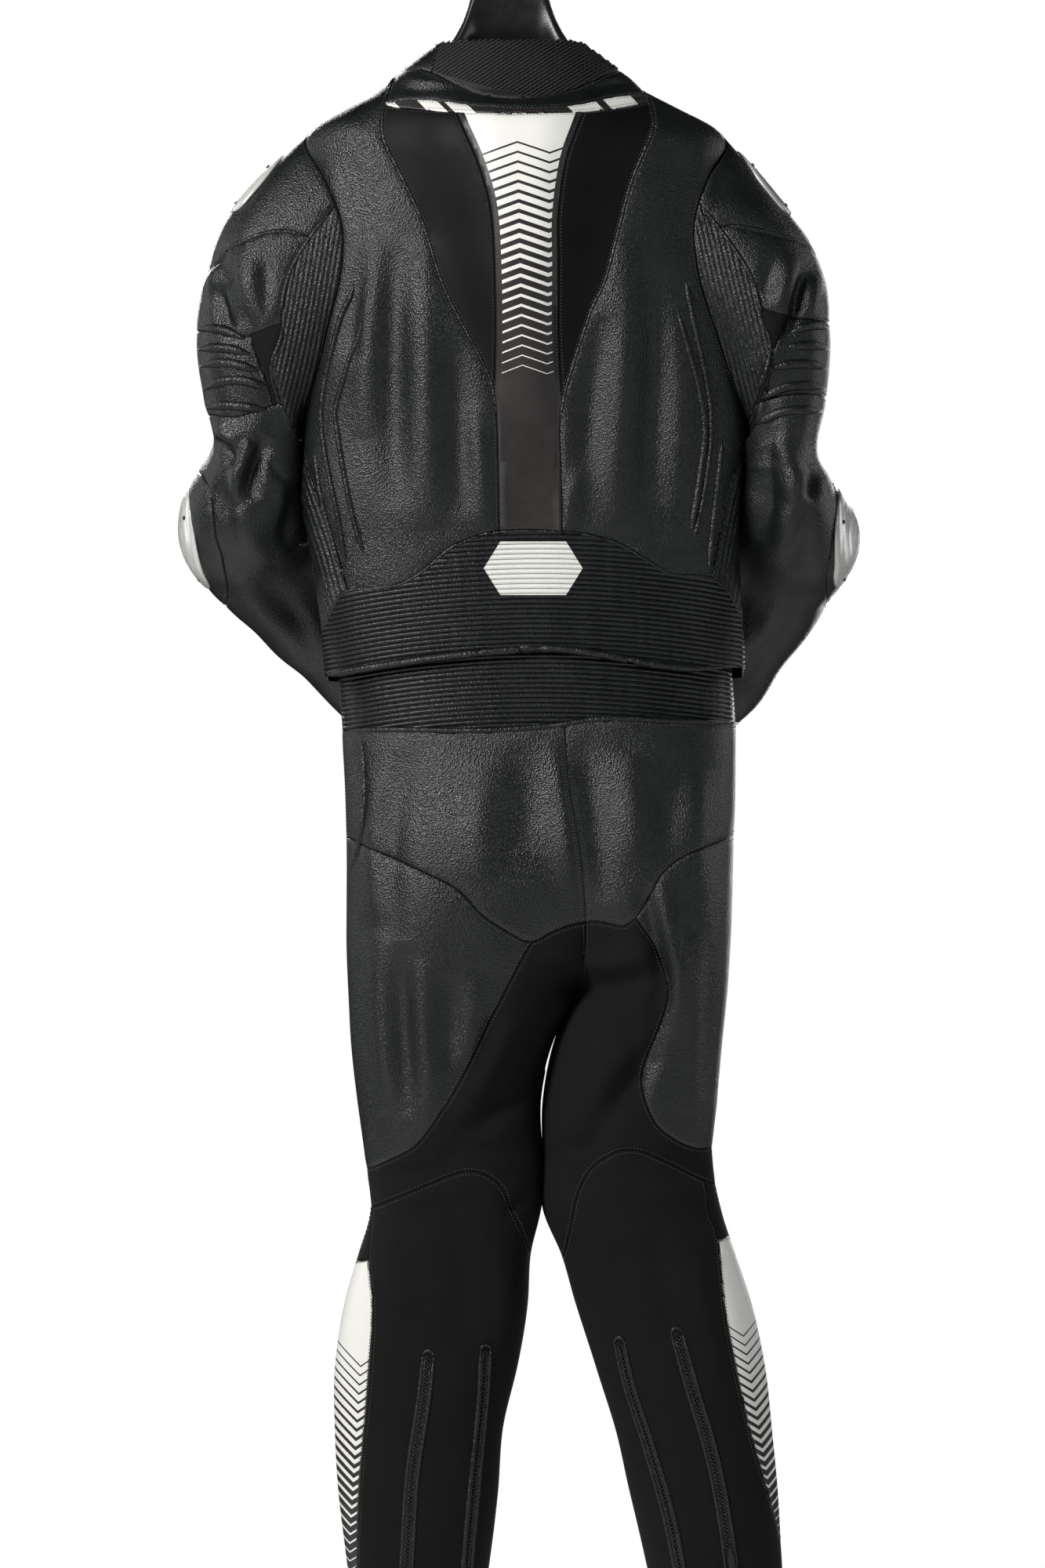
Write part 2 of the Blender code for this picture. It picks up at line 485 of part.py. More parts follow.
def split(net, pairs, value):
    """Puts a vertex on each pair's edge, where value is 0, and divides what has that edge."""
    first = len(net.uv)
    a, b = value[pairs[:, 0]], value[pairs[:, 1]]
    t = (a / (a - b))[:, None, None]
    net.uv = np.concatenate([net.uv, net.uv[pairs[:, 0]] * (1 - t) + net.uv[pairs[:, 1]] * t])
    net.seam = np.concatenate([net.seam, np.ones(len(pairs), int)])
    many = first + len(pairs) + 1
    keys = pairs[:, 0] * many + pairs[:, 1]
    ends = np.sort(np.stack([net.tri, np.roll(net.tri, -1, axis=1)], axis=2), axis=2)
    wanted = ends[..., 0] * many + ends[..., 1]
    place = np.clip(np.searchsorted(keys, wanted), 0, len(keys) - 1)
    middle = np.where(keys[place] == wanted, first + place, -1)
    count = (middle >= 0).sum(axis=1)
    parts = [(net.tri[count == 0], np.flatnonzero(count == 0))]
    for wanted_count in (1, 2, 3):
        rows = np.flatnonzero(count == wanted_count)
        if not len(rows):
            continue
        tri, mid = net.tri[rows], middle[rows]
        if wanted_count == 1:
            turn = mid.argmax(axis=1)
        else:
            turn = ((mid < 0).argmax(axis=1) + 1) % 3
        order = (turn[:, None] + np.arange(3)) % 3
        tri = np.take_along_axis(tri, order, axis=1)
        mid = np.take_along_axis(mid, order, axis=1)
        p, q, r = tri.T
        m0, m1, m2 = mid.T
        if wanted_count == 1:
            made = [(p, m0, r), (m0, q, r)]
        elif wanted_count == 2:
            made = [(m0, q, m1), (p, m0, m1), (p, m1, r)]
        else:
            made = [(p, m0, m2), (m0, q, m1), (m2, m1, r), (m0, m1, m2)]
        parts += [(np.stack(corners, axis=1), rows) for corners in made]
    kept = np.concatenate([rows for _, rows in parts])
    net.tri = np.concatenate([tri for tri, _ in parts])
    net.form, net.panel = net.form[kept], net.panel[kept]


def grid(rows, columns, first=0):
    """Triangles of a rectangular grid whose vertices are numbered row by row."""
    i, j = np.meshgrid(np.arange(rows - 1), np.arange(columns - 1), indexing="ij")
    a = first + (i * columns + j).ravel()
    b, c, d = a + 1, a + columns + 1, a + columns
    odd = ((i + j) % 2 == 1).ravel()[:, None]
    one = np.where(odd, np.stack([a, b, c], axis=1), np.stack([a, b, d], axis=1))
    two = np.where(odd, np.stack([a, c, d], axis=1), np.stack([b, c, d], axis=1))
    return np.concatenate([one, two])


# ---------------------------------------------------------------- the jacket

TORSO_COLUMNS = np.linspace(-1, 1, 25)
TORSO_ROWS = (-0.165, -0.182, -0.200, -0.221, -0.238, ARMHOLE_TOP, -0.284, -0.320, -0.360, -0.404,
-0.448,
              -0.488, -0.528, ARMHOLE_FOOT, -0.608, -0.648, -0.688, -0.728, -0.768, -0.800, -0.828)
SLEEVE_COLUMNS = 16
SLEEVE_ROWS = (0, 1, 2, 3, 4, 5, 6, 7, 8, 9, 10, 11, 12, 13, 14, 15)
TORSO_FORM, LEFT_FORM, RIGHT_FORM = 0, 1, 2


def sleeve_form(side):
    return lambda uv: sleeve(side, uv)


def jacket_place(net):
    """Every vertex's place, from the torso where it is on the torso."""
    place = np.full((len(net.uv), 3), np.nan)
    for form, surface in ((RIGHT_FORM, sleeve_form(1)), (LEFT_FORM, sleeve_form(-1)),
    (TORSO_FORM, torso)):
        known = ~np.isnan(net.uv[:, form, 0])
        place[known] = surface(net.uv[known, form])
    return place


def armhole_gap(place, uv):
    half = smooth_at(ARMHOLE["z"], ARMHOLE["half_angle"], uv[:, 1])
    return (np.abs(np.abs(uv[:, 0]) - 0.5) * math.pi - half) * 0.16


def side_line(_place, uv):
    return (np.abs(uv[:, 0]) - SIDE) * math.pi * 0.2


def across(_place, uv):
    return uv[:, 0] * math.pi * 0.2


def add_sleeve(net, side, form):
    """Joins a sleeve's net to the armhole's own vertices."""
    tri = net.tri[net.form == TORSO_FORM]
    pairs = np.sort(tri[:, [0, 1, 1, 2, 2, 0]].reshape(-1, 2), axis=1)
    unique, count = np.unique(pairs, axis=0, return_counts=True)
    rim = np.unique(unique[count == 1])
    u, z = net.uv[rim, TORSO_FORM, 0], net.uv[rim, TORSO_FORM, 1]
    at_hole = (u * side > 0.2) & (u * side < 0.8) & (z < ARMHOLE_TOP + 0.001) & (z > ARMHOLE_FOOT - 0.001)
    rim, u, z = rim[at_hole], u[at_hole], z[at_hole]
    middle = (ARMHOLE_TOP + ARMHOLE_FOOT) / 2
    phi = np.arccos(np.clip((z - middle) / (ARMHOLE_TOP - middle), -1, 1))
    phi *= np.where(u * side < 0.5, -1, 1)
    foot = int(np.argmax(np.abs(phi)))
    phi[foot] = -math.pi
    order = np.argsort(phi)
    rim, phi = rim[order], phi[order]
    net.uv[rim, form] = np.stack([phi, np.zeros(len(phi))], axis=1)
    net.seam[rim] = 1
    first = len(net.uv)
    rows = np.array(SLEEVE_ROWS[1:], float)
    around = np.linspace(-math.pi, math.pi, SLEEVE_COLUMNS + 1)
    fresh = np.stack([np.tile(around, len(rows)), np.repeat(rows, len(around))], axis=1)
    fresh = np.concatenate([fresh, [[math.pi, 0.0]]])
    closing = first + len(fresh) - 1
    below = grid(len(rows), len(around), first)
    upper = np.append(rim, closing)
    lower = first + np.arange(len(around))
    between = np.array(stitch_rows(upper, np.append(phi, math.pi), lower, around))
    tri = np.concatenate([between, below])
    net.add(form, fresh, tri if side < 0 else tri[:, ::-1], "sleeve")
    net.uv[closing, TORSO_FORM] = net.uv[rim[0], TORSO_FORM]


def stitch_rows(upper, upper_at, lower, lower_at):
    """Triangles between two rows of vertices that are spaced differently."""
    i = j = 0
    made = []
    while i < len(upper) - 1 or j < len(lower) - 1:
        next_upper = upper_at[i + 1] if i < len(upper) - 1 else math.inf
        next_lower = lower_at[j + 1] if j < len(lower) - 1 else math.inf
        if next_upper <= next_lower:
            made.append((upper[i], upper[i + 1], lower[j]))
            i += 1
        else:
            made.append((upper[i], lower[j + 1], lower[j]))
            j += 1
    return made


def cut_sleeve(net, side, form, name):
    surface = sleeve_form(side)
    seams = SLEEVE_SEAMS[side]

    def right_of(key):
        """Positive towards the body."""
        line = left_of(seams[key])
        return (lambda place, uv: line(place, uv)) if side < 0 else (lambda place, uv: -line(place, uv))

    fan_line = right_of("fan")

    def fan(place, uv):
        near = (uv[:, 0] < 0) & (uv[:, 1] < 4.5)
        return np.where(near, fan_line(place, uv), -0.04)

    insert_line = right_of("insert")

    def insert(place, uv):
        return np.where(uv[:, 0] < 0, insert_line(place, uv), -0.04)

    cut(net, form, surface, "sleeve", fan, "arm", "fan_" + name)
    cut(net, form, surface, "arm", left_of(seams["shoulder"]), "arm", "shoulder_" + name)
    cut(net, form, surface, "arm", left_of(seams["upper_arm"]), "arm", "upper_arm_" + name)
    cut(net, form, surface, "arm", left_of(seams["bellows"]), "arm_low", "arm")
    cut(net, form, surface, "arm", insert, "bellows_" + name, "insert_" + name)
    cut(net, form, surface, "arm_low", right_of("elbow"), "elbow_" + name, "forearm_" + name)


def jacket():
    net = Net()
    u, z = np.meshgrid(TORSO_COLUMNS, TORSO_ROWS)
    net.add(TORSO_FORM, np.stack([u.ravel(), z.ravel()], axis=1),
            grid(len(TORSO_ROWS), len(TORSO_COLUMNS))[:, ::-1], "torso")
    cut(net, TORSO_FORM, torso, "torso", armhole_gap, "off", "torso", locked_snap=0.002)
    net.drop("off")

    def torso_cut(panel, points, below, above):
        cut(net, TORSO_FORM, torso, panel, left_of(points), below, above)

    cut(net, TORSO_FORM, torso, "torso", side_line, "back", "front")
    torso_cut("back", HEM, "off", "back")
    torso_cut("front", HEM_FRONT, "off", "front")
    net.drop("off")
    torso_cut("back", COLLAR_ARC, "back", "collar_knit")
    torso_cut("collar_knit", COLLAR_EDGE, "collar_left", "collar_knit")
    torso_cut("front", NECK_FRONT, "front", "collar_front")
    cut(net, TORSO_FORM, torso, "front", across, "front_left", "front_right")
    cut(net, TORSO_FORM, torso, "collar_front", across, "collar_left", "collar_right")
    torso_cut("back", LUMBAR_TOP, "lumbar_panel", "back")
    torso_cut("back", SIDE_LEFT_EDGE, "side_left", "back")
    torso_cut("back", SIDE_RIGHT_EDGE, "back", "side_right")
    torso_cut("back", BACK_LEFT_EDGE, "back_left", "middle")
    torso_cut("middle", BACK_RIGHT_EDGE, "middle", "back_right")
    torso_cut("middle", BAND_TOP, "hump", "yoke")
    torso_cut("hump", BAND_FOOT, "hump", "hump_band")
    torso_cut("hump", STRIP_LEFT, "hump_left", "back_strip")
    torso_cut("back_strip", STRIP_RIGHT, "back_strip", "hump_right")
    for side, form, name in ((-1, LEFT_FORM, "left"), (1, RIGHT_FORM, "right")):
        add_sleeve(net, side, form)
        cut_sleeve(net, side, form, name)
    return net


# ---------------------------------------------------------------- the trousers

LEG_COLUMNS = np.linspace(0, 1, 13)
LEG_ROWS = (-0.756, -0.782, -0.820, -0.864, -0.908, -0.952, -0.992, -1.032, -1.072, -1.104, CROTCH,
            -1.168, -1.212, -1.256, -1.300, -1.344, -1.384, -1.432, -1.480, -1.528, -1.576,
            -1.624, -1.672, -1.720, -1.758)


def trousers_net():
    """Both legs' nets, which share the centre back down to the crotch."""
    net = Net()
    columns, rows = len(LEG_COLUMNS), len(LEG_ROWS)
    u, z = np.meshgrid(LEG_COLUMNS, LEG_ROWS)
    left = np.stack([-u.ravel(), z.ravel()], axis=1)
    net.add(LEFT_FORM, left, grid(rows, columns), "leg_left")
    right = np.stack([u.ravel(), z.ravel()], axis=1)
    ids = np.arange(rows * columns) + rows * columns
    shared = np.array([r * columns for r, height in enumerate(LEG_ROWS) if height > CROTCH + 1e-6])
    ids[shared] = shared
    net.uv[shared, RIGHT_FORM] = right[shared]
    net.add(RIGHT_FORM, right, ids[grid(rows, columns)][:, ::-1], "leg_right")
    return net


def leg_form(side):
    return lambda uv: trousers(uv, np.full(len(uv), side))


def trousers_place(net):
    place = np.full((len(net.uv), 3), np.nan)
    for form, side in ((RIGHT_FORM, 1), (LEFT_FORM, -1)):
        known = ~np.isnan(net.uv[:, form, 0])
        place[known] = leg_form(side)(net.uv[known, form])
    return place


def cut_leg(net, side, form, name):
    surface = leg_form(side)
    seams = LEG_SEAMS[side]

    def leg_cut(panel, seam, below, above):
        cut(net, form, surface, panel, seam, below, above)

    def inward(key):
        line = left_of(seams[key])
        return line if side < 0 else (lambda place, uv: -line(place, uv))

    leg_cut("leg_" + name, side_line, "leg_back", "leg_front_" + name)
    leg_cut("leg_back", left_of(WAIST_SEAM), "leg_back", "waist_panel")
    leg_cut("leg_back", left_of(seams["seat"]), "leg_back", "seat_" + name)
    leg_cut("leg_back", inward("thigh"), "thigh_" + name, "leg_back")
    leg_cut("leg_back", left_of(seams["knee"]), "leg_back", "inner_leg_" + name)
    leg_cut("leg_back", inward("outer"), "outer", "calf_" + name)
    leg_cut("outer", left_of(seams["rib"]), "shin_panel_" + name, "knee_rib_" + name)


# ---------------------------------------------------------------- from net to walls

def vertex_normals(place, tri):
    """Normals shared by every vertex at one place, each face weighted by its angle there."""
    corner = place[tri]
    face = np.cross(corner[:, 1] - corner[:, 0], corner[:, 2] - corner[:, 0])
    face /= np.maximum(np.linalg.norm(face, axis=1, keepdims=True), 1e-12)
    _, group = np.unique(np.round(place, 6), axis=0, return_inverse=True)
    group = group.reshape(-1)
    total = np.zeros((group.max() + 1, 3))
    for k in range(3):
        one = corner[:, (k + 1) % 3] - corner[:, k]
        two = corner[:, (k + 2) % 3] - corner[:, k]
        lengths = np.linalg.norm(one, axis=1) * np.linalg.norm(two, axis=1)
        angle = np.arccos(np.clip((one * two).sum(axis=1) / np.maximum(lengths, 1e-12), -1, 1))
        np.add.at(total, group[tri[:, k]], face * angle[:, None])
    length = np.linalg.norm(total, axis=1, keepdims=True)
    return (total / np.maximum(length, 1e-12))[group]


def wall(place, normal, tri, thickness):
    """One panel's closed wall: its net drawn in from the seams, and as thick as given inwards."""
    used, local = np.unique(tri, return_inverse=True)
    tri = local.reshape(-1, 3)
    place, normal = place[used], normal[used]
    half = tri[:, [0, 1, 1, 2, 2, 0]].reshape(-1, 2)
    key = set(map(tuple, half.tolist()))
    rim = np.array([pair for pair in half.tolist() if (pair[1], pair[0]) not in key])
    run = place[rim[:, 1]] - place[rim[:, 0]]
    run /= np.maximum(np.linalg.norm(run, axis=1, keepdims=True), 1e-9)
    inward = np.cross(normal[rim].mean(axis=1), run)
    inward /= np.maximum(np.linalg.norm(inward, axis=1, keepdims=True), 1e-9)
    total = np.zeros_like(place)
    for end in (0, 1):
        np.add.at(total, rim[:, end], inward)
    size2 = (total**2).sum(axis=1)
    # Two edges' inward directions a and b: the mitre is (a + b) / (1 + a.b), and |a + b|^2 = 2 + 2 a.b.
    total[size2 > 0] /= np.maximum(size2[size2 > 0] / 2, 0.45)[:, None]
    outer = place + total * SEAM_GAP / 2
    inner = outer - normal * thickness
    count = len(place)
    a, b = rim.T
    sides = np.concatenate([np.stack([b, a, a + count], axis=1),
                            np.stack([b, a + count, b + count], axis=1)])
    points = np.concatenate([outer, inner])
    faces = np.concatenate([tri, tri[:, ::-1] + count, sides])
    return points, faces


def biggest_patches(net):
    """Gives each panel's stray patches to the panel beside them."""
    for _ in range(3):
        pairs = np.sort(net.tri[:, [0, 1, 1, 2, 2, 0]].reshape(-1, 2), axis=1)
        owner = np.repeat(np.arange(len(net.tri)), 3)
        order = np.lexsort((pairs[:, 1], pairs[:, 0]))
        pairs, owner = pairs[order], owner[order]
        same = (pairs[1:] == pairs[:-1]).all(axis=1)
        links = np.stack([owner[:-1][same], owner[1:][same]], axis=1)
        inside = net.panel[links[:, 0]] == net.panel[links[:, 1]]
        group = np.arange(len(net.tri))
        while True:
            low = np.minimum(group[links[inside, 0]], group[links[inside, 1]])
            fresh = group.copy()
            np.minimum.at(fresh, links[inside, 0], low)
            np.minimum.at(fresh, links[inside, 1], low)
            if (fresh == group).all():
                break
            group = fresh
        changed = False
        for name in np.unique(net.panel.astype(str)):
            members = np.flatnonzero(net.panel == name)
            kinds, sizes = np.unique(group[members], return_counts=True)
            for kind in kinds[np.argsort(-sizes)][1:]:
                patch = np.flatnonzero(group == kind)
                touching = links[np.isin(links, patch).any(axis=1)]
                others = np.unique(touching)
                others = others[(net.panel[others] != name) & (net.form[others] == net.form[patch[0]])]
                if len(others):
                    names, votes = np.unique(net.panel[others].astype(str), return_counts=True)
                    net.panel[patch] = names[votes.argmax()]
                    changed = True
        if not changed:
            return


# ---------------------------------------------------------------- making objects

def material(kind):
    made = bpy.data.materials.get(kind) or bpy.data.materials.new(kind)
    made.use_nodes = True
    shader = made.node_tree.nodes["Principled BSDF"]
    shader.inputs["Base Color"].default_value = COLOURS[kind]
    shader.inputs["Roughness"].default_value = ROUGHNESS[kind]
    shader.inputs["Metallic"].default_value = 1.0 if kind == "steel" else 0.0
    return made


def make(name, points, faces, kind, origin=(0, 0, 0)):
    points = np.asarray(points, float)
    faces = np.asarray(faces, int)
    corner = points[faces]
    volume = np.einsum("ij,ij->i", corner[:, 0], np.cross(corner[:, 1], corner[:, 2])).sum()
    if volume < 0:
        faces = faces[:, ::-1]
    mesh = bpy.data.meshes.new(name)
    mesh.from_pydata((points - np.array(origin)).tolist(), [], faces.tolist())
    mesh.validate()
    mesh.shade_smooth()
    obj = bpy.data.objects.new(name, mesh)
    obj.location = origin
    obj.data.materials.append(material(kind))
    bpy.context.scene.collection.objects.link(obj)
    return obj


def kind_of(name):
    stem = name.replace("_left", "").replace("_right", "")
    if stem in ("back_strip", "shin_panel"):
        return "white_leather"
    if stem in ("insert", "inner_leg", "calf"):
        return "stretch"
    return "knit" if stem == "collar_knit" else "leather"


def make_panels(net, place):
    biggest_patches(net)
    normal = vertex_normals(place, net.tri)
    for name in sorted(set(net.panel)):
        points, faces = wall(place, normal, net.tri[net.panel == name], WALL)
        make(name, points, faces, kind_of(name))


def form_normal(surface, uv, step):
    """The form's outward normal, by small steps; outward is away from the form's middle."""
    du = surface(uv + [step[0], 0]) - surface(uv - [step[0], 0])
    dv = surface(uv + [0, step[1]]) - surface(uv - [0, step[1]])
    normal = np.cross(du, dv)
    return normal / np.linalg.norm(normal, axis=1, keepdims=True)


def strip(centre, across_dir, normal, heights, lift):
    """A bar along a line, with four corners at each place and its own height there."""
    low = centre + normal * lift
    corners = []
    for sideways, up in ((-1, 0), (1, 0), (1, 1), (-1, 1)):
        lifted = low + normal * (np.asarray(heights)[:, None] * up)
        corners.append(lifted + across_dir * ZIP_HALF_WIDTH * sideways)
    points = np.stack(corners, axis=1).reshape(-1, 3)
    faces = []
    for i in range(len(centre) - 1):
        for k in range(4):
            a, b = 4 * i + k, 4 * i + (k + 1) % 4
            faces += [(a, b, b + 4), (a, b + 4, a + 4)]
    last = 4 * (len(centre) - 1)
    faces += [(0, 2, 1), (0, 3, 2), (last, last + 1, last + 2), (last, last + 2, last + 3)]
    return points, np.array(faces)


def zip_with_tab(name, surface, uv_line, slider_share, lift, outward):
    """A zip lying on the cloth with its slider, and the slider's pull tab in a node of its own."""
    centre = surface(uv_line)
    length = np.concatenate([[0], np.cumsum(np.linalg.norm(np.diff(centre, axis=0), axis=1))])
    slider = slider_share * length[-1]
    marks = np.arange(0, length[-1], ZIP_STEP)
    half = SLIDER_LENGTH / 2
    edges = slider + np.array([-half - SLIDER_BEVEL, -half, half, half + SLIDER_BEVEL])
    marks = marks[(np.abs(marks - slider) > SLIDER_LENGTH)]
    marks = np.unique(np.concatenate([marks, edges, [length[-1]]]))
    uv = np.stack([np.interp(marks, length, uv_line[:, k]) for k in (0, 1)], axis=1)
    centre = surface(uv)
    run = np.gradient(centre, marks, axis=0)
    run /= np.linalg.norm(run, axis=1, keepdims=True)
    normal = form_normal(surface, uv, (0.01, 0.004))
    normal *= np.sign((normal * outward).sum(axis=1, keepdims=True))
    at_slider = np.abs(marks - slider) <= SLIDER_LENGTH / 2 + 1e-6
    middle = np.flatnonzero(at_slider)
    normal[middle] = normal[middle].mean(axis=0)
    sideways = np.cross(normal, run)
    sideways /= np.linalg.norm(sideways, axis=1, keepdims=True)
    heights = np.where(at_slider, SLIDER_HEIGHT, ZIP_HEIGHT)
    points, faces = strip(centre, sideways, normal, heights, lift)
    make(name, points, faces, "zip")
    i = middle[0]
    up, side_dir, down = normal[i], sideways[i], run[i]
    rise = lift + SLIDER_HEIGHT + TAB_CLEARANCE + TAB_THICKNESS / 2
    pivot = (centre[middle[0]] + centre[middle[-1]]) / 2 + up * rise
    if down[2] > 0:
        down = -down
    down = down - up * (down @ up)
    down /= np.linalg.norm(down)
    make_tab(name.replace("zip", "tab"), pivot, side_dir, down, up)


def make_tab(name, pivot, side_dir, down, up):
    """A flat pull tab, narrower at its root, hanging from the hinge line at pivot."""
    outline = ((-0.0006, 0.5), (0.004, 0.55), (0.009, 1.0), (TAB_LENGTH - 0.002, 1.0),
               (TAB_LENGTH, 0.7))
    points, faces = [], []
    for reach, share in outline:
        for sideways, lift in ((-1, -1), (1, -1), (1, 1), (-1, 1)):
            points.append(pivot + down * reach + side_dir * TAB_HALF_WIDTH * share * sideways
                          + up * TAB_THICKNESS / 2 * lift)
    for i in range(len(outline) - 1):
        for k in range(4):
            a, b = 4 * i + k, 4 * i + (k + 1) % 4
            faces += [(a, b, b + 4), (a, b + 4, a + 4)]
    last = 4 * (len(outline) - 1)
    faces += [(0, 2, 1), (0, 3, 2), (last, last + 1, last + 2), (last, last + 2, last + 3)]
    make(name, points, faces, "zip", origin=tuple(pivot))


def leg_uv(side, points):
    """Where points of the back view lie on a leg: u found by halving between crest and side."""
    points = np.array(drawn(points)[1:-1])
    low = np.full(len(points), 0.02)
    high = np.full(len(points), 0.5)
    for _ in range(40):
        middle = (low + high) / 2
        x = trousers(np.stack([middle, points[:, 1]], axis=1), np.full(len(points), side))[:, 0]
        further = (x - points[:, 0]) * side > 0
        high = np.where(further, middle, high)
        low = np.where(further, low, middle)
    return np.stack([side * (low + high) / 2, points[:, 1]], axis=1)


def make_zips():
    for name, (side, points, share, lift) in CALF_ZIPS.items():
        uv = leg_uv(side, points)
        zip_with_tab("calf_zip_" + name, leg_form(side), uv, share, lift, np.array([0, -1, 0]))
    z = np.linspace(-0.197, -0.814, 60)
    uv = np.stack([np.full(60, 0.9999), z], axis=1)
    zip_with_tab("front_zip", torso, uv, 0.045, LIFT, np.array([0, 1, 0]))


PLATES = {
    # side: (shoulder plate's middle and half size, elbow plate's) in the sleeve's own (u, v)
    -1: (((0.10, 0.92), (0.50, 0.50)), ((0.05, 8.75), (0.62, 1.25))),
    1: (((0.10, 0.80), (0.50, 0.50)), ((0.05, 8.75), (0.62, 1.25))),
}
PLATE_THICKNESS = 0.0032
PLATE_LIFT = 0.0009


def make_plate(name, side, middle, half):
    """A hard plate lying on the sleeve, with an oval outline and a bevelled rim."""
    surface = sleeve_form(side)
    rings, around = (1.0, 0.62, 0.25), 16
    angle = np.linspace(0, 2 * math.pi, around, endpoint=False)
    uv = [middle]
    for share in rings[::-1]:
        u = middle[0] + half[0] * share * signed_power(np.cos(angle), 0.75)
        v = middle[1] + half[1] * share * signed_power(np.sin(angle), 0.75)
        uv += list(zip(u, v))
    uv = np.array(uv)
    place = surface(uv)
    normal = form_normal(surface, uv, (0.05, 0.05))
    normal *= np.sign((normal * [side, 0, 0]).sum(axis=1, keepdims=True))
    low = place + normal * PLATE_LIFT
    rim = np.arange(1 + around * (len(rings) - 1), len(uv))
    high = low + normal * PLATE_THICKNESS
    high[rim] = low[rim] + normal[rim] * PLATE_THICKNESS * 0.45
    faces = [(0, 1 + k, 1 + (k + 1) % around) for k in range(around)]
    for ring in range(len(rings) - 1):
        for k in range(around):
            a, b = 1 + ring * around + k, 1 + ring * around + (k + 1) % around
            faces += [(a, a + around, b + around), (a, b + around, b)]
    count = len(uv)
    top = np.array(faces)
    sides = []
    for k in range(around):
        a, b = rim[k], rim[(k + 1) % around]
        sides += [(b, a, a + count), (b, a + count, b + count)]
    made = np.concatenate([top, top[:, ::-1] + count, np.array(sides)])
    make(name, np.concatenate([high, low]), made, "plate")


# ---------------------------------------------------------------- the hanger

# Half the hanger, from the neck out to the arm's end: distance out, top, underside, half depth.
HANGER = {
    "out": (0.000, 0.030, 0.038, 0.0415, 0.048, 0.057, 0.066, 0.085, 0.110, 0.140, 0.165, 0.186),
    "top": (-0.090, -0.090, -0.104, -0.126, -0.142, -0.159, -0.170, -0.185, -0.205, -0.223, -0.238,
    -0.262),
    "foot": (-0.168, -0.169, -0.173, -0.176, -0.183, -0.190, -0.196, -0.209, -0.228, -0.248, -0.264,
    -0.276),
    "half_depth": (0.016, 0.017, 0.019, 0.021, 0.024, 0.027, 0.029, 0.034, 0.0415, 0.0466, 0.0466,
    0.031),
}
HANGER_AROUND = 12
HOOK_WIRE = 0.00225
HOOK_RADIUS = 0.024


def make_hanger():
    out = np.concatenate([-np.array(HANGER["out"])[:0:-1], HANGER["out"]])
    table = {key: np.concatenate([np.array(row)[:0:-1], row]) for key, row in HANGER.items()}
    angle = np.linspace(0, 2 * math.pi, HANGER_AROUND, endpoint=False) + math.pi / HANGER_AROUND
    middle = (table["top"] + table["foot"]) / 2
    half = (table["top"] - table["foot"]) / 2
    points = []
    for i, x in enumerate(out):
        y = table["half_depth"][i] * signed_power(np.sin(angle), 0.75)
        z = middle[i] + half[i] * signed_power(np.cos(angle), 0.75)
        points += [(x, yy, zz) for yy, zz in zip(y, z)]
    faces = []
    for i in range(len(out) - 1):
        for k in range(HANGER_AROUND):
            a, b = i * HANGER_AROUND + k, i * HANGER_AROUND + (k + 1) % HANGER_AROUND
            faces += [(a, b, b + HANGER_AROUND), (a, b + HANGER_AROUND, a + HANGER_AROUND)]
    last = (len(out) - 1) * HANGER_AROUND
    for k in range(1, HANGER_AROUND - 1):
        faces += [(0, k + 1, k), (last, last + k, last + k + 1)]
    make("hanger", points, faces, "plastic")


def make_hook():
    """A bent wire: up from the hanger's neck, out to one side and over the top."""
    centre_z = HOOK_WIRE - HOOK_RADIUS
    angles = np.radians(np.linspace(-55, 205, 20))
    arc = [(HOOK_RADIUS * math.cos(a), centre_z + HOOK_RADIUS * math.sin(a)) for a in angles]
    stem = [(0.0, HANGER["top"][0] - 0.0006), (0.0, -0.075), (0.001, -0.062), (0.006, -0.052)]
    curve = bpy.data.curves.new("hook", "CURVE")
    curve.dimensions = "3D"
    curve.bevel_depth = HOOK_WIRE
    curve.bevel_resolution = 2
    curve.use_fill_caps = True
    line = curve.splines.new("POLY")
    route = stem + arc
    line.points.add(len(route) - 1)
    for point, (x, z) in zip(line.points, route):
        point.co = (x, 0.0, z, 1.0)
    obj = bpy.data.objects.new("hook", curve)
    obj.data.materials.append(material("steel"))
    bpy.context.scene.collection.objects.link(obj)


def main():
    for obj in list(bpy.data.objects):
        bpy.data.objects.remove(obj, do_unlink=True)
    net = jacket()
    make_panels(net, jacket_place(net))
    net = trousers_net()
    cut_leg(net, -1, LEFT_FORM, "left")
    cut_leg(net, 1, RIGHT_FORM, "right")
    make_panels(net, trousers_place(net))
    make_zips()
    for side, name in ((-1, "left"), (1, "right")):
        shoulder, elbow = PLATES[side]
        make_plate("shoulder_plate_" + name, side, *shoulder)
        make_plate("elbow_plate_" + name, side, *elbow)
    make_hanger()
    make_hook()


main()
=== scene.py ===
import math

import bpy
import numpy as np
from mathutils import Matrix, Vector
from mathutils.bvhtree import BVHTree
from mathutils.kdtree import KDTree


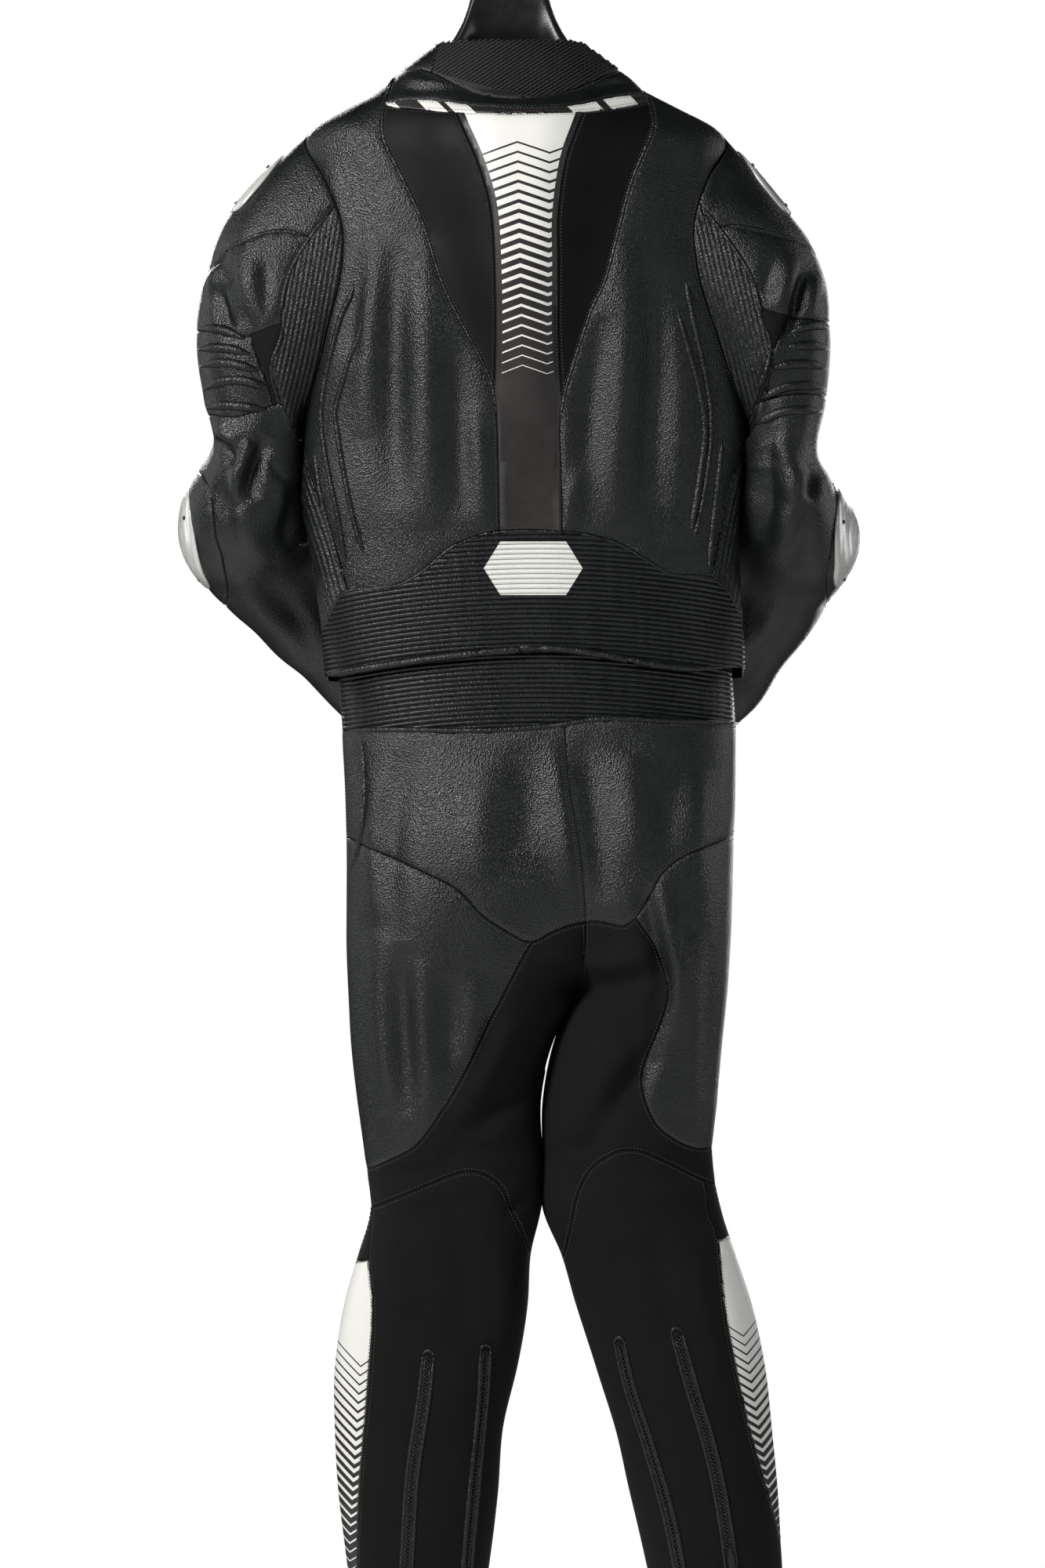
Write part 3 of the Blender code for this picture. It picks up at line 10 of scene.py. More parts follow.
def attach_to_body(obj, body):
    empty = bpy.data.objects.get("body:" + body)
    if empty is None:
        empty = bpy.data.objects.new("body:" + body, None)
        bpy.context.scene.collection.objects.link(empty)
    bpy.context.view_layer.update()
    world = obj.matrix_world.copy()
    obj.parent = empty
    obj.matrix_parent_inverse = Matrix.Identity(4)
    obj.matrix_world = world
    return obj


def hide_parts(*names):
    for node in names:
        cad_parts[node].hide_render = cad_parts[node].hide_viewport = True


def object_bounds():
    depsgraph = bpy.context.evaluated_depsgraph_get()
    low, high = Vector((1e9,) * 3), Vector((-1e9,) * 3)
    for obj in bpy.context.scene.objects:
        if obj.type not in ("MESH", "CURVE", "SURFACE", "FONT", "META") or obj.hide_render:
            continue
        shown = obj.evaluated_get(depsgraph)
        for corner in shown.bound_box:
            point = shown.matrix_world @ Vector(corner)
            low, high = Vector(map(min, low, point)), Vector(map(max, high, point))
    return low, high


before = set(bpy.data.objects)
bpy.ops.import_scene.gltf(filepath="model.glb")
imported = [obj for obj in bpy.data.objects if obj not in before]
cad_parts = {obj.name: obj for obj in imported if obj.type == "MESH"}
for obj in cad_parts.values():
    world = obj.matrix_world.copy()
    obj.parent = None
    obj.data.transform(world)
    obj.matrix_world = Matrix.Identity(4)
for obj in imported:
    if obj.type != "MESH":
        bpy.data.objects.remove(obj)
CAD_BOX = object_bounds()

# The looks of a two-piece leather race suit on its hanger. The suit's cloth is four forms
# (torso, two sleeves, trousers), the same as in the solids. A fine net follows each form, the
# seams cut it into panels, and each panel becomes a thin shell with its own relief: rolled
# edges, ribs, creases and folds. Metres, +Z up; the back faces -Y.

SUIT = "suit"
THICKNESS = 0.0013
SNAP = 0.0017  # a net vertex nearer to a seam than this moves onto it
LOCKED_SNAP = 0.0005  # a vertex that may not move counts as on the seam when this near
EDGE_INSET = 0.0012  # how wide a panel's rolled edge is
EDGE_DROP = 0.0011  # how far the rolled edge sinks into the seam
MM = 0.001

# One ring of the torso for each row: centre and half width across, depth behind and before.
TORSO = {
    "z": (-0.162, -0.184, -0.200, -0.216, -0.232, -0.253, -0.304, -0.360, -0.440,
          -0.520, -0.568, -0.632, -0.680, -0.728, -0.768, -0.808, -0.840),
    "centre": (0.0000, 0.0008, 0.0008, 0.0008, 0.0016, 0.0056, 0.0064, 0.0088, 0.0112,
               0.0144, 0.0152, 0.0120, 0.0152, 0.0200, 0.0232, 0.0256, 0.0264),
    "half_width": (0.0704, 0.1008, 0.1200, 0.1392, 0.1696, 0.2048, 0.2192, 0.2248, 0.2272,
                   0.2280, 0.2272, 0.2248, 0.2192, 0.2160, 0.2144, 0.2128, 0.2128),
    "back": (0.052, 0.062, 0.068, 0.074, 0.079, 0.085, 0.092, 0.096, 0.098,
             0.094, 0.091, 0.087, 0.084, 0.084, 0.087, 0.092, 0.093),
    "front": (0.056, 0.064, 0.070, 0.076, 0.081, 0.086, 0.094, 0.098, 0.098,
              0.096, 0.094, 0.092, 0.090, 0.090, 0.091, 0.092, 0.093),
}
# The hard hump on the back: its middle, half width and rise.
HUMP = {
    "z": (-0.218, -0.229, -0.240, -0.268, -0.310, -0.352, -0.419, -0.508, -0.558),
    "centre": (0.0096, 0.0096, 0.0096, 0.0088, 0.0080, 0.0120, 0.0128, 0.0208, 0.0192),
    "half_width": (0.1408, 0.1408, 0.1408, 0.1392, 0.1160, 0.1008, 0.0792, 0.0416, 0.0352),
    "rise": (0.000, 0.012, 0.027, 0.035, 0.038, 0.037, 0.030, 0.012, 0.000),
}
# Half the armhole's width, as an angle of the torso ring, by height.
ARMHOLE = {
    "z": (-0.224, -0.253, -0.282, -0.310, -0.345, -0.393, -0.453, -0.519, -0.567, -0.600),
    "half_angle": (-0.30, 0.0, 0.34, 0.56, 0.70, 0.72, 0.60, 0.37, 0.0, -0.25),
}
ARMHOLE_TOP = -0.253
ARMHOLE_FOOT = -0.567
# Sections of each sleeve below the armhole: its outer and inner point in the back view,
# the depth of its middle and half its depth.
SLEEVE_LEFT = {
    "outer_x": (-0.2656, -0.2992, -0.3152, -0.3184, -0.3096, -0.3000, -0.3184, -0.3312, -0.3312,
                -0.3152, -0.2864, -0.2456, -0.2112, -0.1744, -0.1312),
    "outer_z": (-0.316, -0.370, -0.428, -0.480, -0.528, -0.568, -0.605, -0.640, -0.680,
                -0.710, -0.745, -0.777, -0.814, -0.849, -0.888),
    "inner_x": (-0.2160, -0.2168, -0.2176, -0.2176, -0.2176, -0.2176, -0.2168, -0.2160, -0.2144,
                -0.2072, -0.1944, -0.1696, -0.1408, -0.1104, -0.0768),
    "inner_z": (-0.570, -0.574, -0.578, -0.584, -0.590, -0.598, -0.607, -0.618, -0.631,
                -0.644, -0.659, -0.690, -0.728, -0.765, -0.806),
    "middle_y": (0.000, 0.000, 0.000, 0.000, 0.000, 0.002, 0.006, 0.014, 0.032,
                 0.066, 0.100, 0.128, 0.148, 0.160, 0.168),
    "half_depth": (0.076, 0.070, 0.066, 0.062, 0.060, 0.060, 0.062, 0.064, 0.062,
                   0.058, 0.054, 0.050, 0.047, 0.043, 0.040),
}
SLEEVE_RIGHT = {
    "outer_x": (0.2736, 0.3096, 0.3248, 0.3264, 0.3208, 0.3120, 0.3280, 0.3408, 0.3496,
                0.3456, 0.3240, 0.3008, 0.2656, 0.2352, 0.2048),
    "outer_z": (-0.325, -0.374, -0.428, -0.480, -0.528, -0.580, -0.609, -0.644, -0.680,
                -0.708, -0.738, -0.774, -0.816, -0.854, -0.890),
    "inner_x": (0.2472, 0.2480, 0.2480, 0.2480, 0.2480, 0.2480, 0.2472, 0.2464, 0.2456,
                0.2440, 0.2360, 0.2160, 0.1864, 0.1576, 0.1296),
    "inner_z": (-0.570, -0.574, -0.578, -0.584, -0.590, -0.598, -0.607, -0.618, -0.632,
                -0.646, -0.667, -0.699, -0.739, -0.778, -0.814),
    "middle_y": (0.000, 0.000, 0.000, 0.000, 0.000, 0.002, 0.006, 0.014, 0.032,
                 0.066, 0.100, 0.128, 0.148, 0.160, 0.168),
    "half_depth": (0.076, 0.070, 0.066, 0.062, 0.060, 0.060, 0.062, 0.064, 0.062,
                   0.058, 0.054, 0.050, 0.047, 0.043, 0.040),
}
# Rings of the trousers. Above the crotch both legs end at the centre line; below it each
# has an inner edge of its own. The crest is where a leg's ring is deepest.
TROUSERS = {
    "z": (-0.756, -0.808, -0.864, -0.920, -0.984, -1.040, -1.088, -1.130, -1.176,
          -1.240, -1.304, -1.356, -1.400, -1.448, -1.512, -1.576, -1.640, -1.704, -1.758),
    "left_outer": (-0.1712, -0.1736, -0.1704, -0.1672, -0.1656, -0.1656, -0.1656, -0.1640, -0.1616,
                   -0.1552, -0.1472, -0.1424, -0.1544, -0.1672, -0.1776, -0.1776, -0.1744, -0.1664, -0.1584),
    "right_outer": (0.2224, 0.2272, 0.2304, 0.2304, 0.2280, 0.2256, 0.2232, 0.2208, 0.2168,
                    0.2112, 0.2056, 0.2152, 0.2296, 0.2456, 0.2592, 0.2664, 0.2736, 0.2776, 0.2800),
    "left_inner": (0.0704, 0.0704, 0.0704, 0.0704, 0.0704, 0.0704, 0.0704, 0.0704, 0.0464,
                   0.0304, 0.0320, 0.0312, 0.0216, 0.0184, 0.0080, -0.0064, -0.0112, -0.0192, -0.0272),
    "right_inner": (0.0704, 0.0704, 0.0704, 0.0704, 0.0704, 0.0704, 0.0704, 0.0704, 0.0496,
                    0.0360, 0.0352, 0.0352, 0.0536, 0.0672, 0.0880, 0.1088, 0.1224, 0.1376, 0.1504),
    "left_crest": (0.0400, 0.0400, 0.0320, 0.0160, -0.0080, -0.0304, -0.0432, -0.0496, -0.0560,
                   -0.0624, -0.0592, -0.0576, -0.0672, -0.0736, -0.0840, -0.0920, -0.0928, -0.0928, -0.0928),
    "right_crest": (0.0560, 0.0600, 0.0760, 0.0960, 0.1200, 0.1408, 0.1488, 0.1472, 0.1360,
                    0.1248, 0.1200, 0.1232, 0.1408, 0.1552, 0.1728, 0.1872, 0.1984, 0.2080, 0.2152),
    "back": (0.0825, 0.084, 0.090, 0.098, 0.106, 0.107, 0.102, 0.096, 0.090,
             0.084, 0.078, 0.074, 0.075, 0.078, 0.080, 0.077, 0.072, 0.067, 0.063),
    "front": (0.0853, 0.085, 0.088, 0.090, 0.090, 0.088, 0.086, 0.085, 0.085,
              0.084, 0.082, 0.080, 0.077, 0.070, 0.064, 0.060, 0.057, 0.055, 0.053),
}
CENTRE_LINE = {
    "z": (-0.756, -0.860, -0.917, -0.993, -1.054, -1.100, -1.130),
    "x": (0.0496, 0.0560, 0.0600, 0.0720, 0.0768, 0.0760, 0.0704),
}
# How far round each leg its crest lies, as a share of the whole way.
INNER_SHARE = {"z": (-0.820, -0.864, -0.920, -0.984, -1.040, -1.130),
               "share": (0.015, 0.040, 0.080, 0.140, 0.190, 0.250)}
SEAT_START = -0.960
CROTCH = -1.130
SIDE = 0.5  # the side line, as a share of half the way round
ROUNDNESS = 0.8  # below 1 a ring is squarer than an ellipse

def smooth_at(knots, values, x):
    """A smooth curve through (knots, values), read at x and flat beyond its ends."""
    knots = np.asarray(knots, float)
    values = np.asarray(values, float)
    if knots[0] > knots[-1]:
        knots = knots[::-1]
        values = values[::-1]
    slopes = np.gradient(values, knots)
    x = np.clip(np.asarray(x, float), knots[0], knots[-1])
    i = np.clip(np.searchsorted(knots, x, side="right") - 1, 0, len(knots) - 2)
    step = knots[i + 1] - knots[i]
    t = (x - knots[i]) / step
    rise = 3 * t**2 - 2 * t**3
    start = (t**3 - 2 * t**2 + t) * step * slopes[i]
    end = (t**3 - t**2) * step * slopes[i + 1]
    return values[i] * (1 - rise) + values[i + 1] * rise + start + end


def ease(t):
    t = np.clip(t, 0.0, 1.0)
    return t * t * (3 - 2 * t)


def signed_power(value, power):
    return np.sign(value) * np.abs(value) ** power


def hump_rise(x, z):
    """How far the hump stands out behind the back at (x, z)."""
    centre = smooth_at(HUMP["z"], HUMP["centre"], z)
    half = smooth_at(HUMP["z"], HUMP["half_width"], z)
    height = smooth_at(HUMP["z"], HUMP["rise"], z)
    inside = (z <= HUMP["z"][0]) & (z >= HUMP["z"][-1])
    return np.where(inside, np.maximum(height, 0) * ease(1.15 * (1 - np.abs(x - centre) / half)), 0.0)


def torso(uv):
    """u runs -1..1 from the left front edge round the back (0) to the right front edge; v is z."""
    u, z = uv[:, 0], uv[:, 1]
    angle = u * math.pi
    half = smooth_at(TORSO["z"], TORSO["half_width"], z)
    depth = np.where(np.cos(angle) > 0, smooth_at(TORSO["z"], TORSO["back"], z),
                     smooth_at(TORSO["z"], TORSO["front"], z))
    x = smooth_at(TORSO["z"], TORSO["centre"], z) + half * signed_power(np.sin(angle), ROUNDNESS)
    y = -depth * signed_power(np.cos(angle), ROUNDNESS)
    y -= np.where(np.cos(angle) > 0, hump_rise(x, z), 0.0)
    return np.stack([x, y, z], axis=1)


def armhole_ring(side, phi):
    """The armhole's edge: phi is 0 at the shoulder, 180 at the armpit, negative at the back."""
    middle = (ARMHOLE_TOP + ARMHOLE_FOOT) / 2
    z = middle + (ARMHOLE_TOP - middle) * np.cos(phi)
    half = np.maximum(smooth_at(ARMHOLE["z"], ARMHOLE["half_angle"], z), 0.0)
    u = side * (0.5 + np.sign(phi) * half / math.pi)
    return torso(np.stack([u, z], axis=1))


def sleeve(side, uv):
    """u is the angle round the sleeve, v the section's number, 0 at the armhole."""
    phi, v = uv[:, 0], uv[:, 1]
    table = SLEEVE_LEFT if side < 0 else SLEEVE_RIGHT
    outer = np.stack([table["outer_x"], table["middle_y"], table["outer_z"]], axis=1)
    inner = np.stack([table["inner_x"], table["middle_y"], table["inner_z"]], axis=1)
    middle = (outer + inner) / 2
    across = (outer - inner) / 2
    along = np.gradient(middle, axis=0)
    depth = np.cross(along, across)
    depth /= np.linalg.norm(depth, axis=1, keepdims=True)
    depth *= np.sign(depth[:, 1:2]) * np.array(table["half_depth"])[:, None]
    ring_cos = signed_power(np.cos(phi), 0.9)[None, :, None]
    ring_sin = signed_power(np.sin(phi), 0.9)[None, :, None]
    rings = middle[:, None] + across[:, None] * ring_cos + depth[:, None] * ring_sin
    rings = np.concatenate([armhole_ring(side, phi)[None], rings])
    slopes = np.gradient(rings, axis=0)
    i = np.clip(v.astype(int), 0, len(rings) - 2)
    t = (v - i)[:, None]
    k = np.arange(len(phi))
    rise = 3 * t**2 - 2 * t**3
    start = (t**3 - 2 * t**2 + t) * slopes[i, k]
    end = (t**3 - t**2) * slopes[i + 1, k]
    return rings[i, k] * (1 - rise) + rings[i + 1, k] * rise + start + end


def trousers(uv, side):
    """|u| runs 0..1 from the centre back round the outer side to the centre front; v is z."""
    u, z = np.abs(uv[:, 0]), uv[:, 1]
    column = {}
    for name in ("outer", "inner", "crest"):
        left = smooth_at(TROUSERS["z"], TROUSERS["left_" + name], z)
        right = smooth_at(TROUSERS["z"], TROUSERS["right_" + name], z)
        column[name] = np.where(side < 0, left, right)
    centre = smooth_at(CENTRE_LINE["z"], CENTRE_LINE["x"], z)
    column["inner"] = np.where(z > CROTCH, centre, column["inner"])
    parted = np.clip((SEAT_START - z) / (SEAT_START - CROTCH), 0, 1)
    share = smooth_at(INNER_SHARE["z"], INNER_SHARE["share"], z)
    along = np.minimum(u, 1 - u)
    quarters = np.where(along < share, along / share, 1 + (along - share) / (SIDE - share))
    cosine = np.cos(math.pi / 2 * quarters)
    toward_inner = np.maximum(cosine, 0)
    toward_outer = np.maximum(-cosine, 0) ** ROUNDNESS
    x = (column["crest"] + (column["inner"] - column["crest"]) * toward_inner
         + (column["outer"] - column["crest"]) * toward_outer)
    behind = u < SIDE
    depth = np.where(behind, -smooth_at(TROUSERS["z"], TROUSERS["back"], z),
                     smooth_at(TROUSERS["z"], TROUSERS["front"], z))
    # Toward the centre line the legs' rings stay as deep as the seat joins them there.
    hollow = np.where(cosine > 0, parted * cosine, cosine)
    y = depth * np.sqrt(np.maximum(1 - hollow**2, 0)) ** ROUNDNESS
    return np.stack([x, y, z], axis=1)


def drawn(points):
    """A dense smooth line through the points, carried on straight beyond both ends."""
    points = np.array(points, float)
    knots = np.arange(len(points))
    fine = np.linspace(0, len(points) - 1, 6 * (len(points) - 1) + 1)
    line = np.stack([smooth_at(knots, points[:, 0], fine), smooth_at(knots, points[:, 1], fine)], axis=1)
    far = 0.5
    head = line[0] + (line[0] - line[1]) / np.linalg.norm(line[0] - line[1]) * far
    tail = line[-1] + (line[-1] - line[-2]) / np.linalg.norm(line[-1] - line[-2]) * far
    return np.concatenate([[head], line, [tail]])


# Seams of the jacket's back, each listed top to bottom or left to right.
COLLAR_ARC = ((-0.128, -0.187), (-0.104, -0.193), (-0.079, -0.198), (-0.040, -0.218), (0.009, -0.226),
              (0.064, -0.216), (0.111, -0.193), (0.130, -0.187), (0.152, -0.184))
COLLAR_EDGE = ((-0.068, -0.144), (-0.072, -0.166), (-0.079, -0.198), (-0.082, -0.216))
NECK_FRONT = ((-0.144, -0.187), (-0.104, -0.192), (-0.048, -0.214), (0.0, -0.222), (0.048, -0.214),
              (0.108, -0.194), (0.144, -0.187))
BACK_LEFT_EDGE = ((-0.110, -0.160), (-0.116, -0.194), (-0.126, -0.228), (-0.129, -0.252),
                  (-0.126, -0.272), (-0.107, -0.310), (-0.088, -0.352), (-0.066, -0.419),
                  (-0.040, -0.470), (-0.019, -0.512), (-0.013, -0.548), (-0.011, -0.600),
                  (-0.010, -0.672))
BACK_RIGHT_EDGE = ((0.130, -0.168), (0.134, -0.210), (0.142, -0.224), (0.146, -0.244),
                   (0.143, -0.264), (0.122, -0.316), (0.098, -0.408), (0.082, -0.444),
                   (0.058, -0.518), (0.051, -0.556), (0.052, -0.600), (0.053, -0.672))
BAND_TOP = ((-0.144, -0.227), (-0.122, -0.229), (-0.096, -0.227), (-0.064, -0.230), (-0.040, -0.234),
            (0.008, -0.237), (0.048, -0.236), (0.072, -0.233),
            (0.100, -0.225), (0.120, -0.221), (0.140, -0.219), (0.160, -0.214))
BAND_FOOT = ((-0.144, -0.230), (-0.125, -0.233), (-0.088, -0.238), (-0.048, -0.242), (0.008, -0.244),
             (0.066, -0.242), (0.112, -0.235), (0.145, -0.226),
             (0.168, -0.219))
STRIP_LEFT = ((-0.060, -0.200), (-0.053, -0.242), (-0.032, -0.293), (-0.019, -0.340),
              (-0.015, -0.397), (-0.014, -0.472), (-0.016, -0.536), (-0.022, -0.584), (-0.040, -0.672))
STRIP_RIGHT = ((0.080, -0.200), (0.074, -0.242), (0.058, -0.290), (0.050, -0.346), (0.050, -0.397),
               (0.050, -0.472), (0.054, -0.536), (0.062, -0.584), (0.080, -0.672))
LUMBAR_TOP = ((-0.196, -0.789), (-0.190, -0.765), (-0.178, -0.739), (-0.166, -0.724),
              (-0.117, -0.720), (-0.089, -0.706), (-0.060, -0.682), (-0.031, -0.669), (-0.009, -0.665),
              (0.022, -0.664), (0.052, -0.665), (0.078, -0.668), (0.110, -0.677), (0.140, -0.694),
              (0.164, -0.708), (0.199, -0.710), (0.220, -0.722),
              (0.234, -0.748), (0.239, -0.789))
SIDE_LEFT_EDGE = ((-0.232, -0.528), (-0.215, -0.567), (-0.200, -0.614), (-0.177, -0.680),
                  (-0.163, -0.732))
SIDE_RIGHT_EDGE = ((0.260, -0.512), (0.242, -0.556), (0.227, -0.610), (0.213, -0.672), (0.204, -0.720))
HEM = ((-0.216, -0.819), (-0.186, -0.810), (-0.141, -0.802), (-0.052, -0.790), (0.037, -0.783),
       (0.096, -0.790), (0.167, -0.802), (0.235, -0.802), (0.264, -0.802))
HEM_FRONT = ((-0.216, -0.814), (-0.088, -0.818), (0.032, -0.819), (0.144, -0.816), (0.264, -0.810))
# Seams of each sleeve.
SLEEVE_SEAMS = {
    -1: {
        "fan": ((-0.173, -0.330), (-0.182, -0.342), (-0.201, -0.365), (-0.221, -0.399),
                (-0.230, -0.433), (-0.231, -0.467), (-0.242, -0.499), (-0.234, -0.530),
                (-0.219, -0.562), (-0.204, -0.588)),
        "shoulder": ((-0.310, -0.396), (-0.290, -0.379), (-0.258, -0.365), (-0.230, -0.360),
                     (-0.204, -0.365), (-0.174, -0.374)),
        "upper_arm": ((-0.331, -0.462), (-0.314, -0.459), (-0.288, -0.464), (-0.267, -0.467),
                      (-0.247, -0.459), (-0.231, -0.455), (-0.200, -0.450)),
        "insert": ((-0.266, -0.440), (-0.261, -0.470), (-0.253, -0.496), (-0.243, -0.524),
                   (-0.234, -0.556)),
        "bellows": ((-0.328, -0.538), (-0.307, -0.544), (-0.280, -0.548), (-0.256, -0.542),
                    (-0.222, -0.530)),
        "elbow": ((-0.338, -0.592), (-0.314, -0.605), (-0.304, -0.632), (-0.299, -0.669),
                  (-0.293, -0.691), (-0.290, -0.729), (-0.310, -0.760)),
    },
    1: {
        "fan": ((0.184, -0.320), (0.194, -0.333), (0.213, -0.358), (0.230, -0.382), (0.246, -0.410),
                (0.255, -0.444), (0.264, -0.477), (0.258, -0.507),
                (0.248, -0.536), (0.240, -0.558), (0.227, -0.584)),
        "shoulder": ((0.184, -0.370), (0.220, -0.354), (0.252, -0.358), (0.282, -0.365),
                     (0.304, -0.373), (0.331, -0.392)),
        "upper_arm": ((0.240, -0.434), (0.264, -0.442), (0.282, -0.446), (0.304, -0.449),
                      (0.328, -0.451), (0.348, -0.454)),
        "insert": ((0.290, -0.432), (0.280, -0.456), (0.268, -0.484), (0.259, -0.524), (0.250, -0.560)),
        "bellows": ((0.232, -0.542), (0.260, -0.531), (0.288, -0.525), (0.312, -0.525),
                    (0.344, -0.530)),
        "elbow": ((0.342, -0.556), (0.320, -0.586), (0.331, -0.610), (0.334, -0.640), (0.330, -0.672),
                  (0.325, -0.708), (0.330, -0.744), (0.352, -0.760)),
    },
}
# Seams of the trousers.
WAIST_SEAM = ((-0.216, -0.868), (-0.172, -0.866), (-0.111, -0.865), (-0.034, -0.866), (0.037, -0.862),
              (0.096, -0.854), (0.155, -0.856), (0.232, -0.858), (0.272, -0.859))
LEG_SEAMS = {
    -1: {
        "seat": ((-0.200, -0.962), (-0.148, -0.982), (-0.093, -1.006), (-0.053, -1.026),
                 (-0.029, -1.051), (-0.004, -1.068), (0.021, -1.080),
                 (0.045, -1.069), (0.066, -1.062), (0.088, -1.059)),
        "thigh": ((0.032, -1.064), (0.008, -1.106), (-0.022, -1.165), (-0.044, -1.210),
                  (-0.066, -1.247), (-0.093, -1.284), (-0.118, -1.299),
                  (-0.145, -1.311), (-0.176, -1.322)),
        "knee": ((-0.168, -1.356), (-0.139, -1.350), (-0.078, -1.324), (-0.040, -1.312),
                 (-0.010, -1.326), (0.009, -1.366), (0.018, -1.387), (0.032, -1.420)),
        "outer": ((-0.134, -1.304), (-0.139, -1.350), (-0.141, -1.376), (-0.142, -1.404),
                  (-0.137, -1.453), (-0.142, -1.526), (-0.151, -1.623),
                  (-0.154, -1.715), (-0.154, -1.768)),
        "rib": ((-0.176, -1.406), (-0.156, -1.405), (-0.142, -1.402), (-0.124, -1.399)),
    },
    1: {
        "seat": ((0.068, -1.062), (0.086, -1.059), (0.104, -1.062), (0.117, -1.063), (0.132, -1.050),
                 (0.143, -1.030), (0.157, -1.008),
                 (0.182, -0.990), (0.226, -0.974), (0.256, -0.962)),
        "thigh": ((0.125, -1.052), (0.146, -1.084), (0.160, -1.124), (0.154, -1.160), (0.138, -1.200),
                  (0.134, -1.228), (0.147, -1.262),
                  (0.166, -1.279), (0.188, -1.289), (0.207, -1.290), (0.232, -1.290)),
        "knee": ((0.050, -1.416), (0.060, -1.380), (0.070, -1.331), (0.086, -1.306), (0.121, -1.290),
                 (0.164, -1.305), (0.204, -1.326), (0.232, -1.338)),
        "outer": ((0.194, -1.288), (0.198, -1.326), (0.202, -1.356), (0.211, -1.382), (0.218, -1.453),
                  (0.232, -1.526), (0.247, -1.589),
                  (0.268, -1.660), (0.288, -1.728)),
        "rib": ((0.200, -1.386), (0.213, -1.382), (0.225, -1.380), (0.240, -1.378)),
    },
}
# Calf zips: the line of each in the back view, from its rounded top to the hem.
CALF_ZIPS = {
    "left_outer": ((-0.082, -1.498), (-0.087, -1.544), (-0.098, -1.616), (-0.103, -1.688), (-0.106, -1.749)),
    "left_inner": ((-0.024, -1.493), (-0.027, -1.544), (-0.034, -1.616), (-0.041, -1.688), (-0.046, -1.749)),
    "right_inner": ((0.111, -1.485), (0.122, -1.532), (0.142, -1.594), (0.162, -1.664), (0.179, -1.749)),
    "right_outer": ((0.169, -1.475), (0.185, -1.532), (0.205, -1.600), (0.219, -1.672), (0.229, -1.749)),
}
FRONT_ZIP = {"x": 0.0014, "top": -0.198, "foot": -0.813}


def left_of(points):
    """A function of place that is the distance to the line, positive to the left of its travel."""
    line = drawn(points)
    start = line[:-1]
    run = line[1:] - start
    length2 = (run**2).sum(axis=1)

    def distance(place, _uv):
        found = []
        for block in np.array_split(place[:, [0, 2]], max(1, len(place) // 20000)):
            q = block[:, None] - start[None]
            t = np.clip((q * run).sum(axis=2) / length2, 0, 1)
            away = q - t[..., None] * run
            gap = np.sqrt((away**2).sum(axis=2))
            best = gap.argmin(axis=1)
            k = np.arange(len(block))
            turn = run[best, 0] * q[k, best, 1] - run[best, 1] * q[k, best, 0]
            found.append(np.where(turn >= 0, gap[k, best], -gap[k, best]))
        return np.concatenate(found)

    return distance


def inward_of(points, side):
    """The same, but positive towards the middle of the body, for a seam of that side."""
    line = left_of(points)
    return lambda place, uv: -side * line(place, uv)


# ---------------------------------------------------------------- the net of triangles

class Net:
    """Triangles over one or more forms; each vertex keeps its place in every form it is on."""

    def __init__(self):
        self.uv = np.zeros((0, 3, 2))
        self.seam = np.zeros(0, int)
        self.tri = np.zeros((0, 3), int)
        self.form = np.zeros(0, int)
        self.panel = np.zeros(0, object)

    def add(self, form, uv, tri, panel):
        """Adds triangles whose corners below len(self.uv) are shared with what is there."""
        fresh = np.full((len(uv), 3, 2), np.nan)
        fresh[:, form] = uv
        self.uv = np.concatenate([self.uv, fresh])
        self.seam = np.concatenate([self.seam, np.zeros(len(uv), int)])
        self.tri = np.concatenate([self.tri, tri])
        self.form = np.concatenate([self.form, np.full(len(tri), form)])
        self.panel = np.concatenate([self.panel, np.full(len(tri), panel, object)])

    def drop(self, panel):
        keep = self.panel != panel
        self.tri, self.form, self.panel = self.tri[keep], self.form[keep], self.panel[keep]


